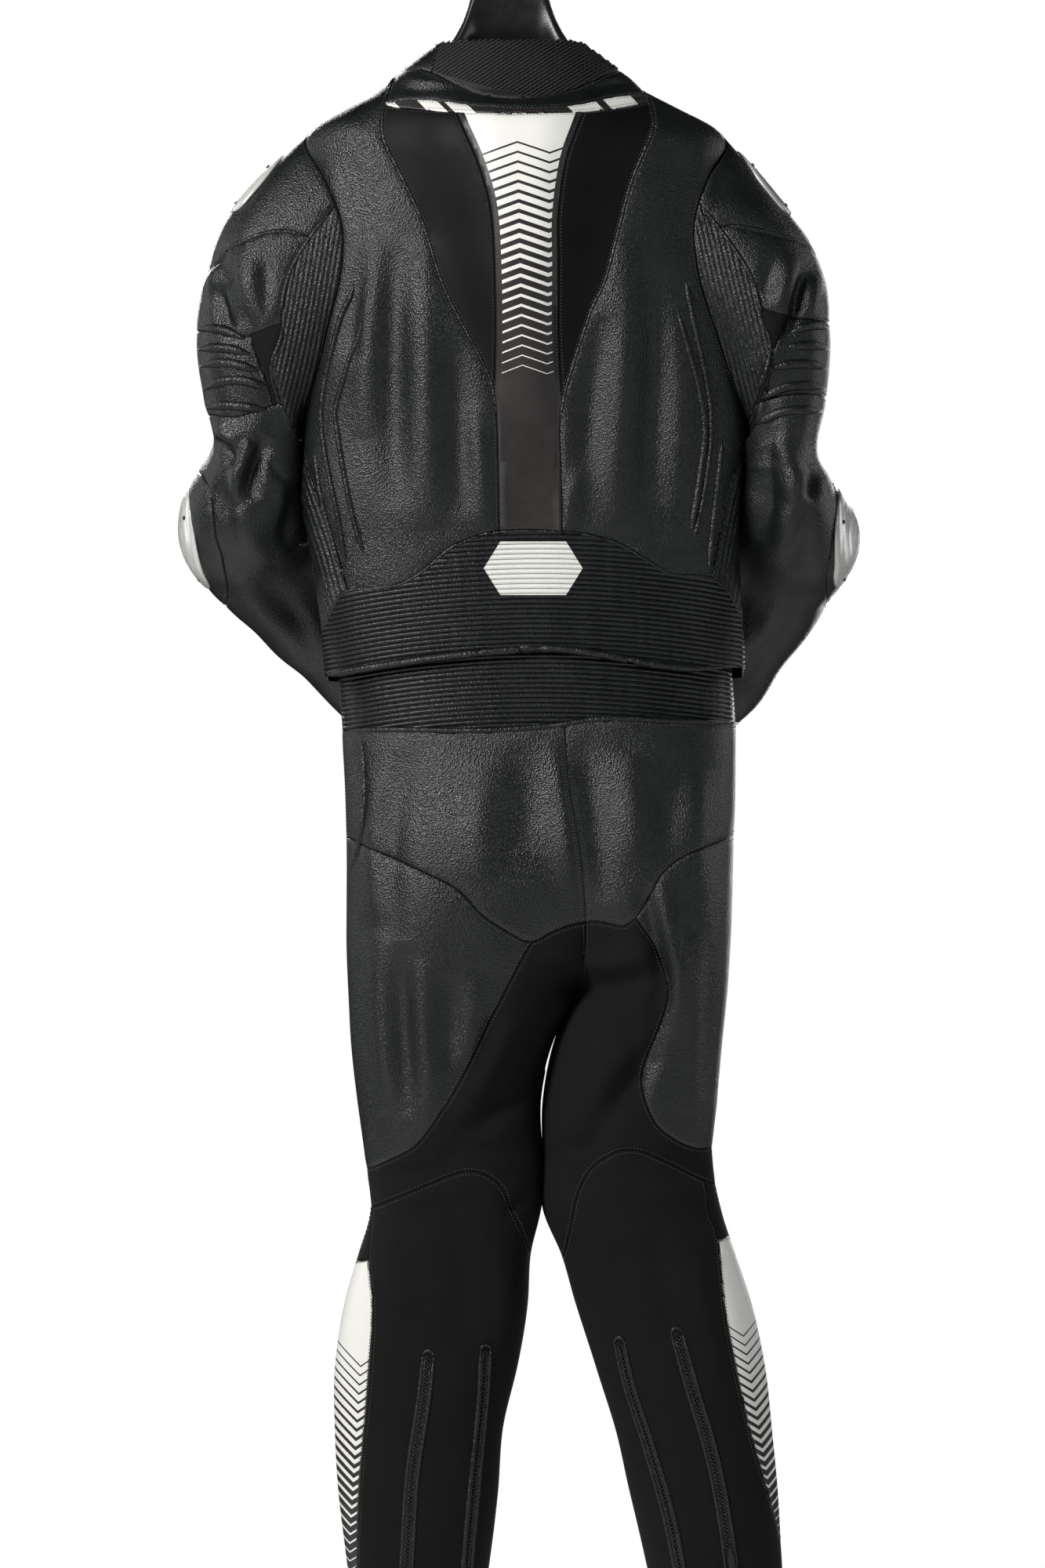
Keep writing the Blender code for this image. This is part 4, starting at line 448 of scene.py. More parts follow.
def split(net, pairs, value):
    """Puts a vertex on each pair's edge, where value is 0, and divides what has that edge."""
    first = len(net.uv)
    a, b = value[pairs[:, 0]], value[pairs[:, 1]]
    t = (a / (a - b))[:, None, None]
    net.uv = np.concatenate([net.uv, net.uv[pairs[:, 0]] * (1 - t) + net.uv[pairs[:, 1]] * t])
    net.seam = np.concatenate([net.seam, np.ones(len(pairs), int)])
    many = first + len(pairs) + 1
    keys = pairs[:, 0] * many + pairs[:, 1]
    ends = np.sort(np.stack([net.tri, np.roll(net.tri, -1, axis=1)], axis=2), axis=2)
    wanted = ends[..., 0] * many + ends[..., 1]
    place = np.clip(np.searchsorted(keys, wanted), 0, len(keys) - 1)
    middle = np.where(keys[place] == wanted, first + place, -1)
    count = (middle >= 0).sum(axis=1)
    parts = [(net.tri[count == 0], np.flatnonzero(count == 0))]
    for wanted_count in (1, 2, 3):
        rows = np.flatnonzero(count == wanted_count)
        if not len(rows):
            continue
        tri, mid = net.tri[rows], middle[rows]
        if wanted_count == 1:
            turn = mid.argmax(axis=1)
        else:
            turn = ((mid < 0).argmax(axis=1) + 1) % 3
        order = (turn[:, None] + np.arange(3)) % 3
        tri = np.take_along_axis(tri, order, axis=1)
        mid = np.take_along_axis(mid, order, axis=1)
        p, q, r = tri.T
        m0, m1, m2 = mid.T
        if wanted_count == 1:
            made = [(p, m0, r), (m0, q, r)]
        elif wanted_count == 2:
            made = [(m0, q, m1), (p, m0, m1), (p, m1, r)]
        else:
            made = [(p, m0, m2), (m0, q, m1), (m2, m1, r), (m0, m1, m2)]
        parts += [(np.stack(corners, axis=1), rows) for corners in made]
    kept = np.concatenate([rows for _, rows in parts])
    net.tri = np.concatenate([tri for tri, _ in parts])
    net.form, net.panel = net.form[kept], net.panel[kept]


def sleeve_form(side):
    return lambda uv: sleeve(side, uv)


def armhole_gap(_place, uv):
    half = smooth_at(ARMHOLE["z"], ARMHOLE["half_angle"], uv[:, 1])
    return (np.abs(np.abs(uv[:, 0]) - 0.5) * math.pi - half) * 0.16


def side_line(_place, uv):
    return (np.abs(uv[:, 0]) - SIDE) * math.pi * 0.2


def across(_place, uv):
    return uv[:, 0] * math.pi * 0.2


def stitch_rows(upper, upper_at, lower, lower_at):
    """Triangles between two rows of vertices that are spaced differently."""
    i = j = 0
    made = []
    while i < len(upper) - 1 or j < len(lower) - 1:
        next_upper = upper_at[i + 1] if i < len(upper) - 1 else math.inf
        next_lower = lower_at[j + 1] if j < len(lower) - 1 else math.inf
        if next_upper <= next_lower:
            made.append((upper[i], upper[i + 1], lower[j]))
            i += 1
        else:
            made.append((upper[i], lower[j + 1], lower[j]))
            j += 1
    return made


def cut_sleeve(net, side, form, name):
    surface = sleeve_form(side)
    seams = SLEEVE_SEAMS[side]

    fan_line = inward_of(seams["fan"], side)

    def fan(place, uv):
        near = (uv[:, 0] < 0) & (uv[:, 1] < 4.5)
        return np.where(near, fan_line(place, uv), -0.04)

    insert_line = inward_of(seams["insert"], side)

    def insert(place, uv):
        return np.where(uv[:, 0] < 0, insert_line(place, uv), -0.04)

    cut(net, form, surface, "sleeve", fan, "arm", "fan_" + name)
    cut(net, form, surface, "arm", left_of(seams["shoulder"]), "arm", "shoulder_" + name)
    cut(net, form, surface, "arm", left_of(seams["upper_arm"]), "arm", "upper_arm_" + name)
    cut(net, form, surface, "arm", left_of(seams["bellows"]), "arm_low", "arm")
    cut(net, form, surface, "arm", insert, "bellows_" + name, "insert_" + name)
    cut(net, form, surface, "arm_low", inward_of(seams["elbow"], side), "elbow_" + name, "forearm_" + name)


def border(net):
    """Which vertices lie on an edge that only one triangle has."""
    found = np.zeros(len(net.uv), bool)
    found[rim_of(net.tri)] = True
    return found


def cut(net, form, surface, panel, seam, below, above, snap=SNAP, locked_snap=LOCKED_SNAP):
    """Splits one panel's triangles along seam = 0 and names the two sides."""
    active = (net.form == form) & (net.panel == panel)
    used = np.unique(net.tri[active])
    uv = net.uv[used, form]
    value = np.zeros(len(net.uv))
    value[used] = seam(surface(uv), uv)
    fixed = np.zeros(len(net.uv), bool)
    fixed[:len(net.edge)] = net.edge
    near = used[(np.abs(value[used]) < snap) & (net.seam[used] == 0) & ~fixed[used]]
    if len(near):
        here = net.uv[near, form]
        step = np.array([0.001, 0.0004]) if form == 0 else np.array([0.003, 0.003])
        nudged = [here + step * axis for axis in np.eye(2)]
        slope = np.stack([(seam(surface(at), at) - value[near]) / step[i]
                          for i, at in enumerate(nudged)], axis=1)
        base = surface(here)
        stretch = np.stack([np.linalg.norm(surface(at) - base, axis=1) / step[i]
                            for i, at in enumerate(nudged)], axis=1)
        slope = slope / np.maximum(stretch, 1e-6) ** 2
        steep = (slope**2 * stretch**2).sum(axis=1)
        move = -value[near, None] * slope / np.maximum(steep, 1e-9)[:, None]
        good = np.linalg.norm(move * stretch, axis=1) < 1.6 * snap
        net.uv[near[good], form] += move[good]
        net.seam[near[good]] = 1
        value[near[good]] = 0
    value[used[(np.abs(value[used]) < locked_snap)]] = 0
    pairs = net.tri[active][:, [0, 1, 1, 2, 2, 0]].reshape(-1, 2)
    crossing = value[pairs[:, 0]] * value[pairs[:, 1]] < 0
    pairs = np.unique(np.sort(pairs[crossing], axis=1), axis=0)
    if len(pairs):
        split(net, pairs, value)
        value = np.concatenate([value, np.zeros(len(pairs))])
    active = (net.form == form) & (net.panel == panel)
    middle = value[net.tri[active]].sum(axis=1)
    flat = middle == 0
    if flat.any():
        centre = net.uv[net.tri[active][flat], form].mean(axis=1)
        middle[flat] = seam(surface(centre), centre)
    net.panel[active] = np.where(middle < 0, below, above)


def grid(rows, columns, first=0):
    """Triangles of a rectangular grid whose vertices are numbered row by row."""
    i, j = np.meshgrid(np.arange(rows - 1), np.arange(columns - 1), indexing="ij")
    a = first + (i * columns + j).ravel()
    b, c, d = a + 1, a + columns + 1, a + columns
    odd = ((i + j) % 2 == 1).ravel()[:, None]
    one = np.where(odd, np.stack([a, b, c], axis=1), np.stack([a, b, d], axis=1))
    two = np.where(odd, np.stack([a, c, d], axis=1), np.stack([b, c, d], axis=1))
    return np.concatenate([one, two])


def spaced(*stretches):
    """Rows or columns from (start, end, step) stretches that follow each other."""
    found = [np.array([stretches[0][0]])]
    for start, end, step in stretches:
        count = max(1, round(abs(end - start) / step))
        found.append(np.linspace(start, end, count + 1)[1:])
    return np.concatenate(found)


# ---------------------------------------------------------------- the jacket

TORSO_COLUMNS = spaced((-1, -0.5, 0.0115), (-0.5, 0.5, 0.0073), (0.5, 1, 0.0115))
TORSO_ROWS = spaced((-0.165, ARMHOLE_TOP, 0.0026), (ARMHOLE_TOP, ARMHOLE_FOOT, 0.0042),
                    (ARMHOLE_FOOT, -0.664, 0.0044), (-0.664, -0.828, 0.00125))
SLEEVE_COLUMNS = 80
SLEEVE_ROWS = spaced((0, 15, 0.075))
TORSO_FORM, LEFT_FORM, RIGHT_FORM = 0, 1, 2


def add_sleeve(net, side, form):
    """Joins a sleeve's net to the armhole's own vertices."""
    rim = np.unique(rim_of(net.tri[net.form == TORSO_FORM]))
    u, z = net.uv[rim, TORSO_FORM, 0], net.uv[rim, TORSO_FORM, 1]
    at_hole = (u * side > 0.2) & (u * side < 0.8) & (z < ARMHOLE_TOP + 0.001) & (z > ARMHOLE_FOOT - 0.001)
    rim, u, z = rim[at_hole], u[at_hole], z[at_hole]
    middle = (ARMHOLE_TOP + ARMHOLE_FOOT) / 2
    phi = np.arccos(np.clip((z - middle) / (ARMHOLE_TOP - middle), -1, 1))
    phi *= np.where(u * side < 0.5, -1, 1)
    foot = int(np.argmax(np.abs(phi)))
    phi[foot] = -math.pi
    order = np.argsort(phi)
    rim, phi = rim[order], phi[order]
    net.uv[rim, form] = np.stack([phi, np.zeros(len(phi))], axis=1)
    net.seam[rim] = 1
    first = len(net.uv)
    rows = SLEEVE_ROWS[1:]
    around = np.linspace(-math.pi, math.pi, SLEEVE_COLUMNS + 1)
    fresh = np.stack([np.tile(around, len(rows)), np.repeat(rows, len(around))], axis=1)
    fresh = np.concatenate([fresh, [[math.pi, 0.0]]])
    closing = first + len(fresh) - 1
    below = grid(len(rows), len(around), first)
    lower = first + np.arange(len(around))
    between = np.array(stitch_rows(np.append(rim, closing), np.append(phi, math.pi), lower, around))
    tri = np.concatenate([between, below])
    net.add(form, fresh, tri if side < 0 else tri[:, ::-1], "sleeve")
    net.uv[closing, TORSO_FORM] = net.uv[rim[0], TORSO_FORM]
    net.edge = border(net)


def jacket():
    net = Net()
    u, z = np.meshgrid(TORSO_COLUMNS, TORSO_ROWS)
    net.add(TORSO_FORM, np.stack([u.ravel(), z.ravel()], axis=1),
            grid(len(TORSO_ROWS), len(TORSO_COLUMNS))[:, ::-1], "torso")
    net.edge = border(net)
    cut(net, TORSO_FORM, torso, "torso", armhole_gap, "off", "torso")
    net.drop("off")

    def torso_cut(panel, points, below, above):
        cut(net, TORSO_FORM, torso, panel, left_of(points), below, above)

    cut(net, TORSO_FORM, torso, "torso", side_line, "back", "front")
    torso_cut("back", HEM, "off", "back")
    torso_cut("front", HEM_FRONT, "off", "front")
    net.drop("off")
    torso_cut("back", COLLAR_ARC, "back", "collar_knit")
    torso_cut("collar_knit", COLLAR_EDGE, "collar_left", "collar_knit")
    torso_cut("front", NECK_FRONT, "front", "collar_front")
    cut(net, TORSO_FORM, torso, "front", across, "front_left", "front_right")
    cut(net, TORSO_FORM, torso, "collar_front", across, "collar_left", "collar_right")
    torso_cut("back", LUMBAR_TOP, "lumbar_panel", "back")
    torso_cut("back", SIDE_LEFT_EDGE, "side_left", "back")
    torso_cut("back", SIDE_RIGHT_EDGE, "back", "side_right")
    torso_cut("back", BACK_LEFT_EDGE, "back_left", "middle")
    torso_cut("middle", BACK_RIGHT_EDGE, "middle", "back_right")
    torso_cut("middle", BAND_TOP, "hump", "yoke")
    torso_cut("hump", BAND_FOOT, "hump", "hump_band")
    torso_cut("hump", STRIP_LEFT, "hump_left", "back_strip")
    torso_cut("back_strip", STRIP_RIGHT, "back_strip", "hump_right")
    for side, form, name in ((-1, LEFT_FORM, "left"), (1, RIGHT_FORM, "right")):
        add_sleeve(net, side, form)
        cut_sleeve(net, side, form, name)
    return net


# ---------------------------------------------------------------- the trousers

LEG_COLUMNS = spaced((0, 0.5, 0.0075), (0.5, 1, 0.0125))
LEG_ROWS = spaced((-0.756, -0.776, 0.010), (-0.776, -0.872, 0.00125), (-0.872, CROTCH, 0.0046),
                  (CROTCH, -1.758, 0.0047))


def trousers_net():
    """Both legs' nets, which share the centre back down to the crotch."""
    net = Net()
    columns, rows = len(LEG_COLUMNS), len(LEG_ROWS)
    u, z = np.meshgrid(LEG_COLUMNS, LEG_ROWS)
    net.add(LEFT_FORM, np.stack([-u.ravel(), z.ravel()], axis=1), grid(rows, columns), "leg_left")
    right = np.stack([u.ravel(), z.ravel()], axis=1)
    ids = np.arange(rows * columns) + rows * columns
    shared = np.array([r * columns for r, height in enumerate(LEG_ROWS) if height > CROTCH + 1e-6])
    ids[shared] = shared
    net.uv[shared, RIGHT_FORM] = right[shared]
    net.add(RIGHT_FORM, right, ids[grid(rows, columns)][:, ::-1], "leg_right")
    net.edge = border(net)
    net.edge[shared] = True
    return net


def leg_form(side):
    return lambda uv: trousers(uv, np.full(len(uv), side))


def cut_leg(net, side, form, name):
    surface = leg_form(side)
    seams = LEG_SEAMS[side]

    def leg_cut(panel, seam, below, above):
        cut(net, form, surface, panel, seam, below, above)

    leg_cut("leg_" + name, side_line, "leg_back", "leg_front_" + name)
    leg_cut("leg_back", left_of(WAIST_SEAM), "leg_back", "waist_panel")
    leg_cut("leg_back", left_of(seams["seat"]), "leg_back", "seat_" + name)
    leg_cut("leg_back", inward_of(seams["thigh"], side), "thigh_" + name, "leg_back")
    leg_cut("leg_back", left_of(seams["knee"]), "leg_back", "inner_leg_" + name)
    leg_cut("leg_back", inward_of(seams["outer"], side), "outer", "calf_" + name)
    leg_cut("outer", left_of(seams["rib"]), "shin_panel_" + name, "knee_rib_" + name)


def vertex_normals(place, tri):
    """Normals shared by every vertex at one place, each face weighted by its angle there."""
    corner = place[tri]
    face = np.cross(corner[:, 1] - corner[:, 0], corner[:, 2] - corner[:, 0])
    face /= np.maximum(np.linalg.norm(face, axis=1, keepdims=True), 1e-12)
    _, group = np.unique(np.round(place, 6), axis=0, return_inverse=True)
    group = group.reshape(-1)
    total = np.zeros((group.max() + 1, 3))
    for k in range(3):
        one = corner[:, (k + 1) % 3] - corner[:, k]
        two = corner[:, (k + 2) % 3] - corner[:, k]
        lengths = np.linalg.norm(one, axis=1) * np.linalg.norm(two, axis=1)
        angle = np.arccos(np.clip((one * two).sum(axis=1) / np.maximum(lengths, 1e-12), -1, 1))
        np.add.at(total, group[tri[:, k]], face * angle[:, None])
    length = np.linalg.norm(total, axis=1, keepdims=True)
    return (total / np.maximum(length, 1e-12))[group]


def biggest_patches(net):
    """Gives each panel's stray patches to the panel beside them."""
    for _ in range(3):
        pairs = np.sort(net.tri[:, [0, 1, 1, 2, 2, 0]].reshape(-1, 2), axis=1)
        owner = np.repeat(np.arange(len(net.tri)), 3)
        order = np.lexsort((pairs[:, 1], pairs[:, 0]))
        pairs, owner = pairs[order], owner[order]
        same = (pairs[1:] == pairs[:-1]).all(axis=1)
        links = np.stack([owner[:-1][same], owner[1:][same]], axis=1)
        inside = net.panel[links[:, 0]] == net.panel[links[:, 1]]
        a, b = links[inside].T
        group = np.arange(len(net.tri))
        while True:
            before = group.copy()
            low = np.minimum(group[a], group[b])
            np.minimum.at(group, group[a], low)
            np.minimum.at(group, group[b], low)
            group = group[group]
            if (before == group).all():
                break
        changed = False
        for name in np.unique(net.panel.astype(str)):
            members = np.flatnonzero(net.panel == name)
            kinds, sizes = np.unique(group[members], return_counts=True)
            for kind in kinds[np.argsort(-sizes)][1:]:
                patch = np.flatnonzero(group == kind)
                touching = links[np.isin(links, patch).any(axis=1)]
                others = np.unique(touching)
                others = others[(net.panel[others] != name) & (net.form[others] == net.form[patch[0]])]
                if len(others):
                    names, votes = np.unique(net.panel[others].astype(str), return_counts=True)
                    net.panel[patch] = names[votes.argmax()]
                    changed = True
        if not changed:
            return


# ---------------------------------------------------------------- relief

def stroke_relief(place, strokes):
    """Height of soft folds drawn in the back view: each is (line, half width, height)."""
    total = np.zeros(len(place))
    for line, width, height in strokes:
        line = drawn(line)[1:-1]
        reach = 3 * width
        low = line.min(axis=0) - reach
        high = line.max(axis=0) + reach
        near = np.flatnonzero((place[:, 0] > low[0]) & (place[:, 0] < high[0])
                              & (place[:, 2] > low[1]) & (place[:, 2] < high[1]))
        if not len(near):
            continue
        start = line[:-1]
        run = line[1:] - start
        length = np.linalg.norm(run, axis=1)
        before = np.concatenate([[0], np.cumsum(length)])
        q = place[near][:, None, [0, 2]] - start[None]
        t = np.clip((q * run).sum(axis=2) / length**2, 0, 1)
        gap = np.linalg.norm(q - t[..., None] * run, axis=2)
        best = gap.argmin(axis=1)
        k = np.arange(len(near))
        along = (before[best] + t[k, best] * length[best]) / before[-1]
        taper = np.sin(math.pi * np.clip(along, 0, 1)) ** 0.6
        total[near] += height * taper * np.exp(-(gap[k, best] / width) ** 2)
    return total


def wave(place, pitch, seed, way=(1, 1, 1)):
    """Slow uneven waves, between -1 and 1, the same on each run."""
    rng = np.random.default_rng(seed)
    total = np.zeros(len(place))
    for _ in range(6):
        direction = rng.normal(size=3) * way
        direction /= np.linalg.norm(direction)
        turns = place @ direction * 2 * math.pi / pitch
        total += np.sin(turns / rng.uniform(0.7, 1.5) + rng.uniform(0, 6.28))
    return total / 3.0


# Soft folds, drawn in the back view: line, half width, height (negative for a trough).
TORSO_FOLDS = (
    # left half of the back
    (((-0.144, -0.384), (-0.158, -0.440), (-0.158, -0.496)), 0.012, -0.0030),
    (((-0.136, -0.360), (-0.139, -0.424), (-0.144, -0.496), (-0.146, -0.568)), 0.014, 0.0030),
    (((-0.114, -0.376), (-0.117, -0.464), (-0.118, -0.552), (-0.114, -0.640)), 0.016, -0.0046),
    (((-0.090, -0.368), (-0.087, -0.456), (-0.084, -0.552), (-0.082, -0.664)), 0.019, 0.0052),
    (((-0.054, -0.472), (-0.051, -0.568), (-0.048, -0.648)), 0.013, -0.0036),
    (((-0.035, -0.536), (-0.030, -0.600), (-0.026, -0.656)), 0.009, 0.0030),
    (((-0.144, -0.264), (-0.155, -0.328), (-0.150, -0.392)), 0.020, -0.0016),
    (((-0.171, -0.272), (-0.174, -0.312), (-0.170, -0.368)), 0.014, 0.0012),
    (((-0.197, -0.240), (-0.156, -0.264), (-0.136, -0.312)), 0.018, 0.0025),
    # right half
    (((0.078, -0.616), (0.082, -0.536), (0.094, -0.448)), 0.014, -0.0036),
    (((0.106, -0.680), (0.110, -0.592), (0.116, -0.512), (0.120, -0.440), (0.120, -0.376)), 0.019, 0.0052),
    (((0.142, -0.664), (0.146, -0.568), (0.150, -0.488), (0.148, -0.400)), 0.016, -0.0046),
    (((0.171, -0.680), (0.174, -0.600), (0.176, -0.520), (0.168, -0.440)), 0.014, 0.0026),
    (((0.056, -0.672), (0.062, -0.632), (0.072, -0.600)), 0.009, 0.0026),
    (((0.166, -0.264), (0.173, -0.328), (0.176, -0.384)), 0.018, -0.0016),
    (((0.196, -0.256), (0.192, -0.304), (0.184, -0.368)), 0.012, 0.0012),
    (((0.088, -0.680), (0.120, -0.672), (0.160, -0.672)), 0.012, -0.0022),
    # below the collar
    (((-0.116, -0.210), (-0.096, -0.216), (-0.072, -0.214)), 0.005, -0.0014),
    (((-0.104, -0.203), (-0.084, -0.210), (-0.062, -0.210)), 0.004, 0.0012),
    (((0.076, -0.219), (0.098, -0.213), (0.120, -0.210)), 0.004, -0.0012),
    (((0.082, -0.210), (0.106, -0.203), (0.125, -0.203)), 0.004, 0.0012),
)
# Raised stitched ridges beside the side strips.
STITCHED_RIDGES = (
    ((-0.157, -0.413), (-0.161, -0.427), (-0.170, -0.445), (-0.181, -0.484), (-0.188, -0.516),
     (-0.191, -0.549), (-0.186, -0.591), (-0.174, -0.649), (-0.166, -0.697)),
    ((-0.148, -0.450), (-0.153, -0.469), (-0.161, -0.487), (-0.171, -0.520), (-0.177, -0.542),
     (-0.176, -0.551), (-0.171, -0.586), (-0.160, -0.643), (-0.147, -0.689)),
    ((-0.198, -0.583), (-0.191, -0.629), (-0.180, -0.672), (-0.171, -0.703)),
    ((0.178, -0.410), (0.187, -0.456), (0.198, -0.504), (0.204, -0.544), (0.203, -0.584),
     (0.196, -0.632), (0.187, -0.672)),
    ((0.170, -0.442), (0.181, -0.480), (0.192, -0.520), (0.198, -0.560), (0.194, -0.600), (0.184, -0.664)),
    ((0.216, -0.572), (0.211, -0.616), (0.206, -0.664), (0.202, -0.704)),
)
SLEEVE_FOLDS = {
    -1: (
        (((-0.310, -0.400), (-0.298, -0.384), (-0.286, -0.378)), 0.006, -0.0040),
        (((-0.316, -0.424), (-0.302, -0.408), (-0.296, -0.392)), 0.007, 0.0040),
        (((-0.294, -0.416), (-0.290, -0.440), (-0.282, -0.462)), 0.007, -0.0050),
        (((-0.270, -0.384), (-0.266, -0.416), (-0.262, -0.448)), 0.010, 0.0030),
        (((-0.248, -0.384), (-0.246, -0.416), (-0.248, -0.440)), 0.007, -0.0026),
        (((-0.299, -0.549), (-0.288, -0.565), (-0.274, -0.573)), 0.007, 0.0050),
        (((-0.294, -0.568), (-0.280, -0.588), (-0.274, -0.600)), 0.006, -0.0040),
        (((-0.260, -0.574), (-0.270, -0.594), (-0.275, -0.610), (-0.278, -0.632)), 0.007, 0.0075),
        (((-0.245, -0.568), (-0.254, -0.588), (-0.261, -0.610), (-0.262, -0.632)), 0.009, -0.0085),
        (((-0.238, -0.608), (-0.229, -0.632), (-0.227, -0.664), (-0.234, -0.696)), 0.010, 0.0030),
        (((-0.223, -0.610), (-0.226, -0.640), (-0.231, -0.680)), 0.007, -0.0060),
        (((-0.280, -0.640), (-0.264, -0.672), (-0.244, -0.696)), 0.013, 0.0035),
        (((-0.292, -0.616), (-0.286, -0.648), (-0.280, -0.680)), 0.009, -0.0030),
        (((-0.256, -0.712), (-0.230, -0.736), (-0.200, -0.760)), 0.014, -0.0035),
        (((-0.280, -0.712), (-0.248, -0.748), (-0.212, -0.784)), 0.012, 0.0030),
        (((-0.216, -0.728), (-0.198, -0.760), (-0.181, -0.800)), 0.010, 0.0030),
        (((-0.240, -0.592), (-0.235, -0.605), (-0.226, -0.614)), 0.004, -0.0020),
    ),
    1: (
        (((0.288, -0.384), (0.280, -0.416), (0.277, -0.440)), 0.010, 0.0034),
        (((0.298, -0.400), (0.293, -0.424), (0.290, -0.448), (0.280, -0.466)), 0.007, -0.0060),
        (((0.316, -0.396), (0.307, -0.424), (0.304, -0.448)), 0.008, 0.0035),
        (((0.268, -0.384), (0.261, -0.408), (0.259, -0.436)), 0.008, -0.0024),
        (((0.268, -0.568), (0.280, -0.584), (0.286, -0.608), (0.280, -0.632)), 0.010, 0.0035),
        (((0.308, -0.594), (0.309, -0.610), (0.304, -0.632)), 0.007, -0.0060),
        (((0.296, -0.600), (0.290, -0.632), (0.283, -0.656), (0.277, -0.680)), 0.011, 0.0050),
        (((0.260, -0.600), (0.262, -0.640), (0.258, -0.672)), 0.010, -0.0035),
        (((0.304, -0.640), (0.294, -0.672), (0.283, -0.704)), 0.009, -0.0030),
        (((0.284, -0.728), (0.268, -0.752), (0.252, -0.784)), 0.013, 0.0032),
        (((0.304, -0.704), (0.284, -0.744), (0.260, -0.784), (0.244, -0.816)), 0.009, -0.0026),
        (((0.248, -0.728), (0.244, -0.760), (0.240, -0.792)), 0.009, 0.0026),
    ),
}
# Where each sleeve's bellows ridges cross the middle of the sleeve's back.
BELLOWS_LINES = {
    -1: (
        ((-0.318, -0.457), (-0.292, -0.459), (-0.267, -0.470)),
        ((-0.320, -0.478), (-0.291, -0.478), (-0.260, -0.485)),
        ((-0.320, -0.496), (-0.288, -0.493), (-0.252, -0.502)),
        ((-0.316, -0.522), (-0.296, -0.513), (-0.272, -0.511), (-0.240, -0.520)),
        ((-0.310, -0.538), (-0.288, -0.536), (-0.244, -0.541)),
    ),
    1: (
        ((0.283, -0.464), (0.304, -0.455), (0.330, -0.459)),
        ((0.280, -0.478), (0.304, -0.475), (0.330, -0.479)),
        ((0.264, -0.499), (0.296, -0.494), (0.330, -0.498)),
        ((0.254, -0.530), (0.280, -0.518), (0.304, -0.516), (0.328, -0.520)),
        ((0.248, -0.556), (0.280, -0.542), (0.324, -0.541)),
    ),
}
